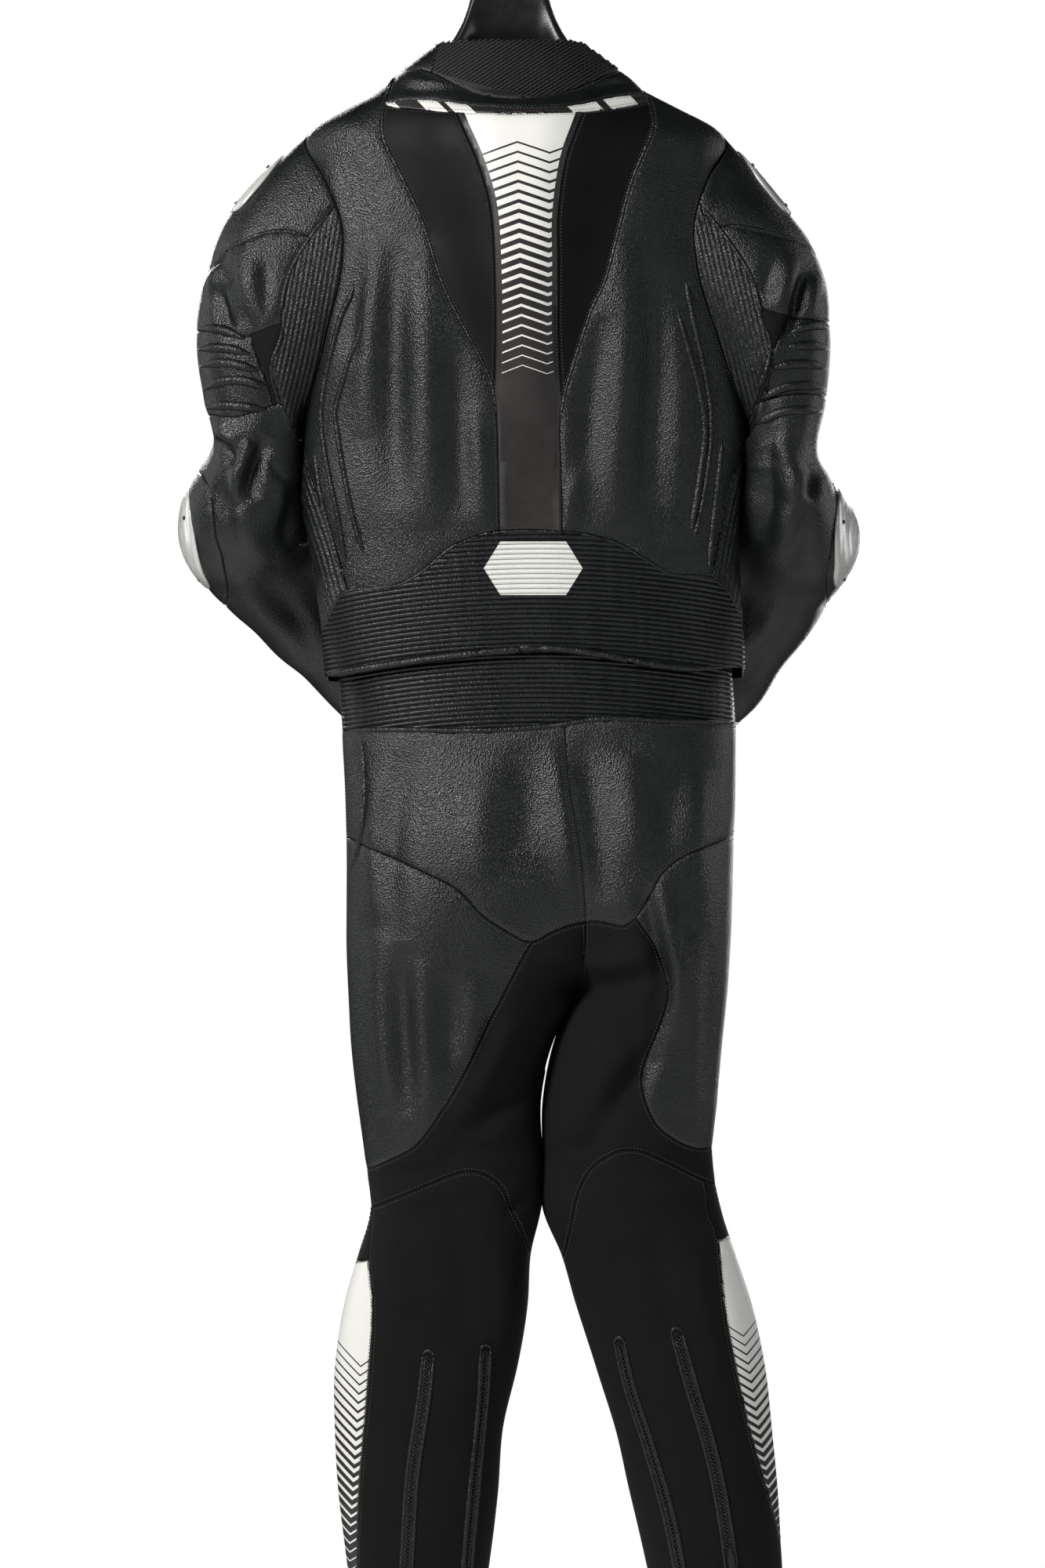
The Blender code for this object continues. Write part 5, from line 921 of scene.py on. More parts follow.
LEG_FOLDS = (
    # seat
    (((0.042, -0.872), (0.050, -0.920), (0.059, -0.984), (0.066, -1.040)), 0.014, 0.0036),
    (((0.074, -0.872), (0.083, -0.920), (0.091, -0.984), (0.094, -1.040)), 0.014, -0.0030),
    (((0.008, -0.880), (0.018, -0.936), (0.018, -0.992)), 0.018, -0.0026),
    (((-0.024, -0.896), (-0.030, -0.960), (-0.024, -1.016)), 0.018, 0.0026),
    (((-0.104, -0.888), (-0.116, -0.944), (-0.120, -1.008), (-0.116, -1.080)), 0.016, -0.0034),
    (((-0.133, -0.912), (-0.138, -0.984), (-0.136, -1.064)), 0.013, 0.0032),
    (((0.120, -0.888), (0.125, -0.952), (0.130, -1.000)), 0.016, 0.0030),
    (((0.168, -0.888), (0.160, -0.952), (0.154, -1.000)), 0.014, -0.0030),
    (((0.194, -0.904), (0.189, -0.968), (0.187, -1.032)), 0.013, 0.0032),
    # thighs
    (((-0.133, -1.064), (-0.131, -1.128), (-0.126, -1.192), (-0.120, -1.256)), 0.013, 0.0042),
    (((-0.108, -1.080), (-0.109, -1.144), (-0.106, -1.200), (-0.104, -1.256)), 0.012, -0.0038),
    (((-0.088, -1.096), (-0.086, -1.160), (-0.082, -1.224), (-0.083, -1.280)), 0.013, 0.0038),
    (((-0.060, -1.112), (-0.061, -1.160), (-0.062, -1.208)), 0.012, -0.0032),
    (((-0.032, -1.112), (-0.037, -1.160), (-0.045, -1.208)), 0.010, 0.0026),
    (((0.150, -1.016), (0.160, -1.064), (0.170, -1.112), (0.166, -1.160), (0.150, -1.200)), 0.011, 0.0062),
    (((0.136, -1.024), (0.146, -1.072), (0.154, -1.112), (0.149, -1.152)), 0.009, -0.0062),
    (((0.188, -1.072), (0.186, -1.136), (0.184, -1.200), (0.181, -1.256)), 0.013, 0.0036),
    (((0.204, -1.080), (0.200, -1.160), (0.197, -1.240)), 0.009, -0.0026),
    # the crotch's deep shadow and the inner legs
    (((0.050, -1.120), (0.076, -1.128), (0.112, -1.125), (0.157, -1.109)), 0.012, -0.0070),
    (((0.032, -1.088), (0.068, -1.098), (0.112, -1.098), (0.148, -1.086)), 0.010, 0.0045),
    (((0.160, -1.136), (0.150, -1.184), (0.120, -1.224), (0.090, -1.272), (0.058, -1.336)), 0.013, -0.0052),
    (((0.138, -1.152), (0.112, -1.200), (0.080, -1.240), (0.054, -1.280)), 0.014, 0.0040),
    (((0.040, -1.184), (0.014, -1.232), (-0.008, -1.248), (-0.040, -1.272),
      (-0.066, -1.282)), 0.012, -0.0048),
    (((0.002, -1.152), (-0.016, -1.196), (-0.037, -1.232), (-0.056, -1.260)), 0.013, 0.0036),
    (((-0.008, -1.144), (-0.028, -1.192), (-0.048, -1.232)), 0.009, -0.0032),
    (((0.088, -1.160), (0.094, -1.216), (0.098, -1.272)), 0.012, 0.0036),
    (((0.120, -1.152), (0.126, -1.200), (0.130, -1.248)), 0.011, -0.0030),
    # the knees' backs
    (((-0.144, -1.320), (-0.104, -1.314), (-0.056, -1.307)), 0.009, -0.0036),
    (((-0.072, -1.296), (-0.024, -1.290), (0.021, -1.296)), 0.010, -0.0036),
    (((-0.136, -1.336), (-0.088, -1.339), (-0.040, -1.330)), 0.009, 0.0030),
    (((0.200, -1.312), (0.160, -1.304), (0.112, -1.296)), 0.009, -0.0036),
    (((0.040, -1.304), (0.064, -1.290), (0.088, -1.285)), 0.010, -0.0030),
    (((0.204, -1.344), (0.168, -1.336), (0.128, -1.333)), 0.010, 0.0028),
    (((-0.008, -1.352), (0.012, -1.344), (0.026, -1.339)), 0.008, -0.0030),
    # the calves
    (((-0.120, -1.368), (-0.114, -1.432), (-0.116, -1.496)), 0.015, 0.0030),
    (((-0.056, -1.368), (-0.048, -1.432), (-0.050, -1.496)), 0.016, -0.0028),
    (((-0.008, -1.384), (-0.004, -1.448), (-0.008, -1.512)), 0.014, 0.0028),
    (((0.088, -1.368), (0.096, -1.432), (0.112, -1.496)), 0.015, 0.0030),
    (((0.144, -1.368), (0.156, -1.432), (0.168, -1.480)), 0.015, -0.0028),
    (((0.188, -1.384), (0.196, -1.448), (0.212, -1.520)), 0.013, 0.0026),
)
# The hidden front hangs in folds much like the back's.
FRONT_FOLDS = (
    (((-0.144, -0.360), (-0.138, -0.456), (-0.142, -0.552), (-0.136, -0.680)), 0.016, -0.0045),
    (((-0.104, -0.328), (-0.098, -0.440), (-0.101, -0.568), (-0.096, -0.728)), 0.017, 0.0040),
    (((-0.056, -0.384), (-0.061, -0.480), (-0.054, -0.600)), 0.015, -0.0038),
    (((-0.030, -0.456), (-0.026, -0.568), (-0.032, -0.696)), 0.013, 0.0030),
    (((0.040, -0.384), (0.045, -0.496), (0.038, -0.632)), 0.014, 0.0032),
    (((0.074, -0.360), (0.080, -0.480), (0.075, -0.616), (0.080, -0.744)), 0.015, -0.0042),
    (((0.120, -0.344), (0.114, -0.456), (0.120, -0.584), (0.115, -0.712)), 0.017, 0.0042),
    (((0.166, -0.360), (0.160, -0.472), (0.165, -0.600)), 0.015, -0.0040),
    (((-0.120, -0.840), (-0.114, -0.936), (-0.120, -1.040)), 0.016, 0.0036),
    (((-0.072, -0.856), (-0.067, -0.952), (-0.072, -1.032)), 0.015, -0.0036),
    (((0.136, -0.840), (0.130, -0.944), (0.136, -1.048)), 0.016, 0.0036),
    (((0.176, -0.864), (0.170, -0.968), (0.174, -1.064)), 0.014, -0.0034),
    (((-0.008, -1.080), (-0.040, -1.064), (-0.072, -1.072)), 0.012, -0.0040),
    (((0.088, -1.088), (0.120, -1.068), (0.152, -1.072)), 0.012, -0.0040),
    (((-0.120, -1.120), (-0.112, -1.192), (-0.115, -1.256)), 0.014, 0.0032),
    (((-0.040, -1.136), (-0.035, -1.200), (-0.038, -1.264)), 0.014, -0.0030),
    (((0.112, -1.136), (0.107, -1.200), (0.112, -1.264)), 0.014, 0.0030),
    (((0.176, -1.128), (0.171, -1.192), (0.173, -1.256)), 0.013, -0.0030),
)


FOLD_DEPTH = {"torso": 1.5, "sleeve": 1.6, "leg": 1.45}
# Where each sleeve lies against the jacket its inner side swells by this much.
INNER_SWELL = {-1: 0.0064, 1: 0.0105}
# The thighs press towards each other between crotch and knee.
THIGH_SWELL = 0.0010
# The way each fan's ribs run.
FAN_LINES = {
    -1: ((-0.167, -0.312), (-0.176, -0.352), (-0.184, -0.400), (-0.194, -0.456), (-0.206, -0.512),
         (-0.222, -0.572)),
    1: ((0.190, -0.312), (0.202, -0.352), (0.213, -0.400), (0.226, -0.456), (0.239, -0.512),
        (0.253, -0.572)),
}


# How fast folds come in as a surface turns towards the back or the front.
BODY_TURN, SLEEVE_TURN = 1.6, 1.8
HUMP_MARGIN = 0.006  # a rise by which the hard hump holds the leather smooth
SLEEVE_FRONT_SHARE = 0.8  # the sleeves' folds are weaker in front
CUFF_SECTION = 10  # from this section on a sleeve hangs free of the jacket
LEG_FOLDS_TOP = -0.86
LEG_MIDDLE = 0.0344  # where the legs meet, across the back view
SWELL_FOOT = -1.368
SWELL_NEAR = 0.020
SOFT_EDGE = 0.03  # over this length the legs' folds and swelling come in


def facing(normal, turn):
    """How far each vertex faces the back, and how far the front, from 0 to 1."""
    return np.clip(-normal[:, 1] * turn, 0, 1), np.clip(normal[:, 1] * turn, 0, 1)


def torso_relief(place, normal):
    back, front = facing(normal, BODY_TURN)
    on_hump = np.clip(hump_rise(place[:, 0], place[:, 2]) / HUMP_MARGIN, 0, 1)
    total = back * (1 - on_hump) * stroke_relief(place, TORSO_FOLDS)
    total = FOLD_DEPTH["torso"] * (total + front * stroke_relief(place, FRONT_FOLDS))
    total += 0.0007 * wave(place, 0.09, 1, (1, 1, 0.35)) * (1 - on_hump * 0.8)
    return total


def sleeve_relief(place, normal, uv, side):
    back, front = facing(normal, SLEEVE_TURN)
    folds = stroke_relief(place, SLEEVE_FOLDS[side])
    total = FOLD_DEPTH["sleeve"] * (back + SLEEVE_FRONT_SHARE * front) * folds
    total += 0.0010 * wave(place, 0.07, 3 + side)
    v = uv[:, 1]
    inner = np.clip((-np.cos(uv[:, 0]) - 0.5) / 0.4, 0, 1)
    total += INNER_SWELL[side] * inner * ease((v - 0.5) / 1.5) * (1 - ease((v - CUFF_SECTION) / 3))
    # Below the elbow the creases run round the forearm.
    rolled = np.stack([v * 0.03, uv[:, 0] * 0.03, 0 * v], axis=1)
    total += ease((v - CUFF_SECTION) / 2) * 0.0030 * wave(rolled, 0.05, 11 + side)
    return total * np.clip(v, 0, 1)


def leg_relief(place, normal):
    back, front = facing(normal, BODY_TURN)
    below = ease((LEG_FOLDS_TOP - place[:, 2]) / SOFT_EDGE)
    total = back * stroke_relief(place, LEG_FOLDS) + front * stroke_relief(place, FRONT_FOLDS)
    total *= FOLD_DEPTH["leg"]
    total += 0.0009 * wave(place, 0.10, 7, (1, 1, 0.4))
    out = place[:, 0] - LEG_MIDDLE
    inner = np.clip(-np.sign(out) * normal[:, 0] - 0.3, 0, 1) / 0.7
    reach = ease((CROTCH - place[:, 2]) / SOFT_EDGE) * ease((place[:, 2] - SWELL_FOOT) / SOFT_EDGE)
    near = 1 - ease((np.abs(out) - SWELL_NEAR) / SOFT_EDGE)
    total += THIGH_SWELL * inner * reach * near
    return total * below


# ---------------------------------------------------------------- panels

def subdivided(uv, normal, tri):
    """Each triangle made four, by the middles of its edges."""
    pairs = np.sort(tri[:, [0, 1, 1, 2, 2, 0]].reshape(-1, 2), axis=1)
    unique, index = np.unique(pairs, axis=0, return_inverse=True)
    middle = len(uv) + index.reshape(-1, 3)
    uv = np.concatenate([uv, uv[unique].mean(axis=1)])
    fresh = normal[unique].sum(axis=1)
    fresh /= np.maximum(np.linalg.norm(fresh, axis=1, keepdims=True), 1e-9)
    normal = np.concatenate([normal, fresh])
    a, b, c = tri.T
    ab, bc, ca = middle.T
    four = ((a, ab, ca), (ab, b, bc), (ca, bc, c), (ab, bc, ca))
    tri = np.concatenate([np.stack(corners, axis=1) for corners in four])
    return uv, normal, tri


def rim_of(tri):
    """The edges that only one triangle has, in its own direction."""
    half = tri[:, [0, 1, 1, 2, 2, 0]].reshape(-1, 2)
    many = tri.max() + 1
    forward = half[:, 0] * many + half[:, 1]
    backward = half[:, 1] * many + half[:, 0]
    return half[~np.isin(forward, backward)]


def inward_at(place, normal, rim):
    """At each rim vertex, the way into the panel, evened out along the rim."""
    inward = np.cross(normal[rim].mean(axis=1), place[rim[:, 1]] - place[rim[:, 0]])
    total = np.zeros_like(place)
    for end in (0, 1):
        np.add.at(total, rim[:, end], inward)
    for _ in range(2):
        total /= np.maximum(np.linalg.norm(total, axis=1, keepdims=True), 1e-9)
        before = total.copy()
        for end in (0, 1):
            np.add.at(total, rim[:, end], before[rim[:, 1 - end]] * 0.5)
    return total / np.maximum(np.linalg.norm(total, axis=1, keepdims=True), 1e-9)


def rim_distance(place, rim):
    """How far each vertex is from the nearest point of the panel's edge."""
    ends = place[rim]
    samples = np.concatenate([ends[:, 0] * (1 - t) + ends[:, 1] * t for t in (0, 1 / 3, 2 / 3)])
    tree = KDTree(len(samples))
    for i, point in enumerate(samples.tolist()):
        tree.insert(point, i)
    tree.balance()
    return np.array([tree.find(point)[2] for point in place.tolist()])


def shell(place, normal, tri, rim, away, inset, drop):
    """A closed thin shell: the surface, an edge rolled down into the seam, and the inside."""
    inward = inward_at(place, normal, rim)
    edge = np.unique(rim)
    number = np.full(len(place), -1)
    number[edge] = np.arange(len(edge))
    # The edge moves in less where the next row of vertices is close.
    room = np.full(len(place), np.inf)
    for one in range(3):
        for other in range(3):
            there = away[tri[:, other]]
            np.minimum.at(room, tri[:, one], np.where(there > 1e-6, there, np.inf))
    outer = place + inward * np.minimum(inset, 0.6 * room)[:, None]
    rolled = place[edge] - normal[edge] * drop
    inner = outer - normal * THICKNESS
    inner[edge] = place[edge] - normal[edge] * (THICKNESS + drop * 0.6)
    count = len(place)
    a, b = rim.T
    ra, rb = 2 * count + number[a], 2 * count + number[b]
    faces = np.concatenate([
        tri, tri[:, ::-1] + count,
        np.stack([b, a, ra], axis=1), np.stack([b, ra, rb], axis=1),
        np.stack([rb, ra, a + count], axis=1), np.stack([rb, a + count, b + count], axis=1),
    ])
    return np.concatenate([outer, inner, rolled]), faces


def mesh_object(name, points, faces, material=None, smooth=True):
    mesh = bpy.data.meshes.new(name)
    points = np.asarray(points, np.float32)
    faces = np.asarray(faces, np.int32)
    mesh.vertices.add(len(points))
    mesh.vertices.foreach_set("co", points.ravel())
    mesh.loops.add(faces.size)
    mesh.loops.foreach_set("vertex_index", faces.ravel())
    mesh.polygons.add(len(faces))
    mesh.polygons.foreach_set("loop_start", np.arange(0, faces.size, faces.shape[1], dtype=np.int32))
    mesh.update(calc_edges=True)
    mesh.validate()
    if smooth:
        mesh.shade_smooth()
    obj = bpy.data.objects.new(name, mesh)
    bpy.context.scene.collection.objects.link(obj)
    if material:
        obj.data.materials.append(material)
    return obj


def add_attribute(obj, name, values):
    layer = obj.data.attributes.new(name, "FLOAT", "POINT")
    layer.data.foreach_set("value", np.asarray(values, np.float32))


def attach(obj, slot, *nodes):
    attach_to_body(obj, SUIT)
    if nodes:
        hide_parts(*nodes)


# ---------------------------------------------------------------- materials

class Nodes:
    """Short calls for a material's node tree."""

    def __init__(self, name):
        self.material = bpy.data.materials.new(name)
        self.material.use_nodes = True
        self.tree = self.material.node_tree
        self.shader = self.tree.nodes["Principled BSDF"]
        self.object_place = self.add("ShaderNodeTexCoord").outputs["Object"]

    def add(self, kind, **values):
        node = self.tree.nodes.new(kind)
        for key, value in values.items():
            setattr(node, key, value)
        return node

    def link(self, value, socket):
        if isinstance(value, bpy.types.NodeSocket):
            self.tree.links.new(value, socket)
        else:
            socket.default_value = value

    def math(self, operation, a, b=0.0, c=0.0):
        node = self.add("ShaderNodeMath", operation=operation)
        for socket, value in zip(node.inputs, (a, b, c)):
            self.link(value, socket)
        return node.outputs[0]

    def scaled_place(self, scale):
        node = self.add("ShaderNodeVectorMath", operation="MULTIPLY")
        self.link(self.object_place, node.inputs[0])
        node.inputs[1].default_value = scale
        return node.outputs[0]

    def noise(self, scale, detail=3.0, roughness=0.55, stretch=(1, 1, 1)):
        node = self.add("ShaderNodeTexNoise")
        self.link(self.scaled_place(stretch), node.inputs["Vector"])
        node.inputs["Scale"].default_value = scale
        node.inputs["Detail"].default_value = detail
        node.inputs["Roughness"].default_value = roughness
        return node.outputs["Fac"]

    def cells(self, scale, feature="F1", stretch=(1, 1, 1)):
        node = self.add("ShaderNodeTexVoronoi", feature=feature)
        self.link(self.scaled_place(stretch), node.inputs["Vector"])
        node.inputs["Scale"].default_value = scale
        return node.outputs["Distance"]

    def mix(self, share, first, second):
        node = self.add("ShaderNodeMix", data_type="RGBA")
        self.link(share, node.inputs["Factor"])
        self.link(first, node.inputs["A"])
        self.link(second, node.inputs["B"])
        return node.outputs["Result"]

    def range(self, value, low, high, to_low=0.0, to_high=1.0):
        node = self.add("ShaderNodeMapRange")
        for socket, number in zip(node.inputs, (value, low, high, to_low, to_high)):
            self.link(number, socket)
        return node.outputs[0]

    def bump(self, height, distance, strength=1.0):
        node = self.add("ShaderNodeBump")
        self.link(height, node.inputs["Height"])
        node.inputs["Distance"].default_value = distance
        node.inputs["Strength"].default_value = strength
        if self.shader.inputs["Normal"].is_linked:
            self.tree.links.new(self.shader.inputs["Normal"].links[0].from_socket, node.inputs["Normal"])
        self.tree.links.new(node.outputs["Normal"], self.shader.inputs["Normal"])

    def xyz(self):
        node = self.add("ShaderNodeSeparateXYZ")
        self.link(self.object_place, node.inputs[0])
        return node.outputs

    def attribute(self, name):
        return self.add("ShaderNodeAttribute", attribute_name=name).outputs["Fac"]

    def set(self, **values):
        for key, value in values.items():
            self.link(value, self.shader.inputs[key.replace("_", " ")])


LEATHER_DARK = (0.0036, 0.0047, 0.0050, 1)
LEATHER_LIGHT = (0.0072, 0.0088, 0.0092, 1)
PRINT_WHITE = (0.86, 0.86, 0.82, 1)
PRINT_BLACK = (0.020, 0.0165, 0.0165, 1)


def leather_colour(n):
    return n.mix(n.range(n.noise(35, 4), 0.35, 0.7), LEATHER_DARK, LEATHER_LIGHT)


def leather_grain(n, amount=1.0):
    """Pebbled grain at two sizes, with fine wrinkles and slow patches of gloss."""
    pebbles = n.cells(560)
    fine = n.cells(1000)
    wrinkles = n.noise(210, 4, 0.6, (1, 1, 0.6))
    n.bump(wrinkles, 0.0006 * amount, 0.45)
    n.bump(pebbles, 0.0009 * amount, 0.6)
    n.bump(fine, 0.0002 * amount, 0.6)
    n.set(Roughness=n.range(n.noise(14, 4), 0.3, 0.7, 0.33, 0.45))


def leather():
    n = Nodes("leather")
    n.set(Base_Color=leather_colour(n), Specular_IOR_Level=0.5)
    leather_grain(n)
    return n.material


def matt_panel():
    """The hump's smooth side panels."""
    n = Nodes("smooth_black")
    n.set(Base_Color=n.mix(n.noise(18, 2), (0.0022, 0.0026, 0.0026, 1), (0.0034, 0.004, 0.004, 1)),
          Specular_IOR_Level=0.18)
    n.bump(n.noise(700, 2), 0.0002, 0.35)
    n.bump(n.noise(28, 2), 0.0012, 0.25)
    n.set(Roughness=n.range(n.noise(30, 3), 0.3, 0.7, 0.58, 0.68))
    return n.material


def stretch():
    n = Nodes("stretch")
    weave = n.cells(1300, stretch=(1, 1, 0.55))
    n.set(Base_Color=n.mix(n.noise(25, 4), (0.0055, 0.0052, 0.0052, 1), (0.0090, 0.0083, 0.0083, 1)),
          Roughness=n.range(weave, 0.0, 0.7, 0.85, 0.97), Specular_IOR_Level=0.2)
    n.bump(n.noise(40, 4), 0.0014, 0.4)
    n.bump(weave, 0.0004, 0.6)
    return n.material


def knit():
    n = Nodes("knit")
    thread = n.noise(900, 3)
    n.set(Base_Color=n.mix(n.range(thread, 0.45, 0.75), (0.006, 0.0055, 0.006, 1), (0.035, 0.034, 0.036, 1)),
          Roughness=n.range(thread, 0.4, 0.7, 0.75, 0.35))
    n.bump(thread, 0.0005, 0.8)
    return n.material


CHEVRON_PITCH = 9.95 * MM
CHEVRON_ROWS = 22.9
CHEVRON_START = -0.274  # the height of the first bar
CHEVRON_FOOT = -0.498
STRIP_BORDER = 7.0 * MM
# How steeply a bar of the back's strip rises to its apex, falls to its dip and rises again.
RISE_SLOPE, FALL_SLOPE, TICK_SLOPE = 0.36, 0.34, -0.40
BAR_START, BAR_MIDDLE = 0.1, 0.6  # as shares of a row


def fading_bars(n, row, rows, first_share, last_share):
    """1 above the first row and on the bar of each row, whose share of it shrinks downwards."""
    part = n.math("FRACT", n.math("ADD", row, BAR_START))
    half = n.math("DIVIDE", n.range(row, 0.0, rows, first_share, last_share), 2.0)
    bar = n.math("LESS_THAN", n.math("ABSOLUTE", n.math("SUBTRACT", part, BAR_MIDDLE)), half)
    above = n.math("LESS_THAN", row, -BAR_START)
    inside = n.math("LESS_THAN", row, rows)
    return n.math("MAXIMUM", above, n.math("MULTIPLY", bar, inside))


def row_number(n, z, start, bend, pitch):
    """How many rows a place is below the first, on bars that bend."""
    return n.math("DIVIDE", n.math("SUBTRACT", n.math("SUBTRACT", start, z), bend), pitch)


def chevrons(n, x, z, apex, dip):
    """The white of the back's strip: bars bent at apex and dip."""
    rise = n.math("MULTIPLY", n.math("MAXIMUM", n.math("SUBTRACT", apex, x), 0.0), RISE_SLOPE)
    fall = n.math("MULTIPLY", n.math("MINIMUM", n.math("MAXIMUM", n.math("SUBTRACT", x, apex), 0.0),
                                     n.math("SUBTRACT", dip, apex)), FALL_SLOPE)
    tick = n.math("MULTIPLY", n.math("MAXIMUM", n.math("SUBTRACT", x, dip), 0.0), TICK_SLOPE)
    bend = n.math("ADD", n.math("ADD", rise, fall), tick)
    row = row_number(n, z, CHEVRON_START, bend, CHEVRON_PITCH)
    return fading_bars(n, row, CHEVRON_ROWS, 0.80, 0.07)


def white_print(n, share):
    n.set(Base_Color=n.mix(share, PRINT_BLACK, PRINT_WHITE),
          Roughness=n.range(n.noise(40, 3), 0.3, 0.7, 0.38, 0.5))


def strip_print():
    """The back's centre strip: white above, bars below, then plain brown-black stretch."""
    n = Nodes("strip_print")
    x, _, z = n.xyz()
    apex = n.range(z, CHEVRON_START, CHEVRON_FOOT, 0.0080, 0.0132)
    dip = n.range(z, CHEVRON_START, CHEVRON_FOOT, 0.0408, 0.0380)
    bars = chevrons(n, x, z, apex, dip)
    inside = n.math("GREATER_THAN", n.attribute("side_rim"), STRIP_BORDER)
    white_print(n, n.math("MULTIPLY", bars, inside))
    n.bump(n.noise(60, 4), 0.0008, 0.3)
    n.bump(n.noise(1400, 2), 0.0003, 0.4)
    return n.material


# The band's white shapes: where each starts and ends across the back, at the band's height.
BAND_SHAPES = ((-0.1208, -0.1112), (-0.0872, -0.0680), (-0.0616, -0.0416), (0.0576, 0.0920),
               (0.1016, 0.1344))
BAND_Z, BAND_SLANT = -0.235, 0.9


def band_print():
    """Slanting white shapes on the narrow band above the hump."""
    n = Nodes("band_print")
    x, _, z = n.xyz()
    slanted = n.math("ADD", x, n.math("MULTIPLY", n.math("SUBTRACT", z, BAND_Z), BAND_SLANT))
    share = 0.0
    for start, end in BAND_SHAPES:
        middle, half = (start + end) / 2, (end - start) / 2
        bar = n.math("LESS_THAN", n.math("ABSOLUTE", n.math("SUBTRACT", slanted, middle)), half)
        share = n.math("MAXIMUM", share, bar)
    white_print(n, share)
    n.bump(n.noise(900, 2), 0.0003, 0.4)
    return n.material


# The lumbar panel's and the waist panel's ribs sag from their middle to both sides.
RIB_PITCH = 5.0 * MM
RIB_MIDDLE, RIB_REACH, RIB_SAG = 0.0320, 0.21, 0.020
EMBLEM = {"x": 0.0240, "z": -0.702, "half_width": 0.050, "half_height": 0.027, "slant": 0.62}


def lumbar_leather():
    """The ribbed lumbar panel, with a plain white hexagon printed across its ribs and painted shade darkening
    its grooves.
    """
    n = Nodes("lumbar_leather")
    x, _, z = n.xyz()
    away = n.math("ABSOLUTE", n.math("SUBTRACT", x, EMBLEM["x"]))
    height = n.math("ABSOLUTE", n.math("SUBTRACT", z, EMBLEM["z"]))
    sloped = n.math("ADD", away, n.math("MULTIPLY", height, EMBLEM["slant"]))
    inside = n.math("MULTIPLY", n.math("LESS_THAN", height, EMBLEM["half_height"]),
                    n.math("LESS_THAN", sloped, EMBLEM["half_width"]))
    dark = leather_colour(n)
    # The ribs' rounded tops and narrow grooves, on the same lines as the solid relief.
    across = n.math("DIVIDE", n.math("SUBTRACT", x, RIB_MIDDLE), RIB_REACH)
    at = n.math("ADD", z, n.math("MULTIPLY", n.math("MULTIPLY", across, across), RIB_SAG))
    ridge = n.math("ABSOLUTE", n.math("COSINE", n.math("MULTIPLY", at, math.pi / RIB_PITCH)))
    n.bump(n.math("POWER", ridge, 0.6), 0.0014, 0.8)
    # Painted shade: in the grooves the colour, white print included, is mixed towards near-black, and the
    # specular level falls from 0.5 on the crests to 0.1.
    groove_painted_shade_factor = n.range(ridge, 0.05, 0.40, 0.35, 1.0)
    colour_with_painted_groove_shade = n.mix(groove_painted_shade_factor, (0.003, 0.003, 0.003, 1), n.mix(inside, dark, PRINT_WHITE))
    n.set(Base_Color=colour_with_painted_groove_shade, Specular_IOR_Level=n.range(ridge, 0.1, 0.5, 0.1, 0.5))
    leather_grain(n, 0.5)
    return n.material


# Each shin panel's print: the height of its first bar, and the heights and places of its
# kink, where the bars turn.
SHIN_PRINT = {
    -1: {"start": -1.510, "kink_z": (-1.492, -1.688), "kink_x": (-0.1496, -0.1624)},
    1: {"start": -1.480, "kink_z": (-1.472, -1.656), "kink_x": (0.2360, 0.2672)},
}
SHIN_PITCH = 9.3 * MM
SHIN_ROWS = 23.0
SHIN_OUT_SLOPE, SHIN_IN_SLOPE = -0.9, -0.75
SHIN_BORDER = 1.5 * MM


def shin_print(side):
    """The shin panel: white at the top, slanting bars below, black at the foot."""
    n = Nodes("shin_print_" + ("left" if side < 0 else "right"))
    x, _, z = n.xyz()
    at = SHIN_PRINT[side]
    kink = n.range(z, *at["kink_z"], *at["kink_x"])
    outward = n.math("MULTIPLY", n.math("SUBTRACT", x, kink), float(side))
    inward = n.math("MULTIPLY", outward, -1.0)
    bend = n.math("ADD", n.math("MULTIPLY", n.math("MAXIMUM", outward, 0.0), SHIN_OUT_SLOPE),
                  n.math("MULTIPLY", n.math("MAXIMUM", inward, 0.0), SHIN_IN_SLOPE))
    row = row_number(n, z, at["start"], bend, SHIN_PITCH)
    white = fading_bars(n, row, SHIN_ROWS, 0.84, 0.10)
    inside = n.math("GREATER_THAN", n.attribute("rim"), SHIN_BORDER)
    white_print(n, n.math("MULTIPLY", white, inside))
    n.bump(n.noise(1000, 2), 0.0003, 0.4)
    return n.material


def thread():
    n = Nodes("thread")
    n.set(Base_Color=n.mix(n.noise(300, 2), (0.040, 0.041, 0.041, 1), (0.110, 0.112, 0.114, 1)),
          Roughness=0.5)
    n.bump(n.noise(2500, 1), 0.0002, 0.5)
    return n.material


def plate_plastic():
    n = Nodes("plate")
    n.set(Base_Color=n.mix(n.noise(60, 4), (0.62, 0.62, 0.60, 1), (0.74, 0.74, 0.72, 1)), Metallic=0.25,
          Roughness=n.range(n.noise(90, 3), 0.3, 0.7, 0.22, 0.34))
    n.bump(n.noise(200, 3), 0.0003, 0.25)
    return n.material


def black_plastic():
    n = Nodes("black_plastic")
    n.set(Base_Color=n.mix(n.noise(30, 3), (0.009, 0.009, 0.010, 1), (0.014, 0.014, 0.015, 1)),
          Roughness=n.range(n.noise(60, 4), 0.3, 0.7, 0.24, 0.36))
    n.bump(n.noise(500, 2), 0.0003, 0.3)
    return n.material


def metal(name, colour, low, high):
    n = Nodes(name)
    n.set(Base_Color=n.mix(n.noise(300, 3), tuple(c * 0.8 for c in colour[:3]) + (1,), colour), Metallic=1.0,
          Roughness=n.range(n.noise(400, 3), 0.3, 0.7, low, high))
    n.bump(n.noise(900, 2, 0.5, (1, 1, 0.1)), 0.0001, 0.3)
    return n.material


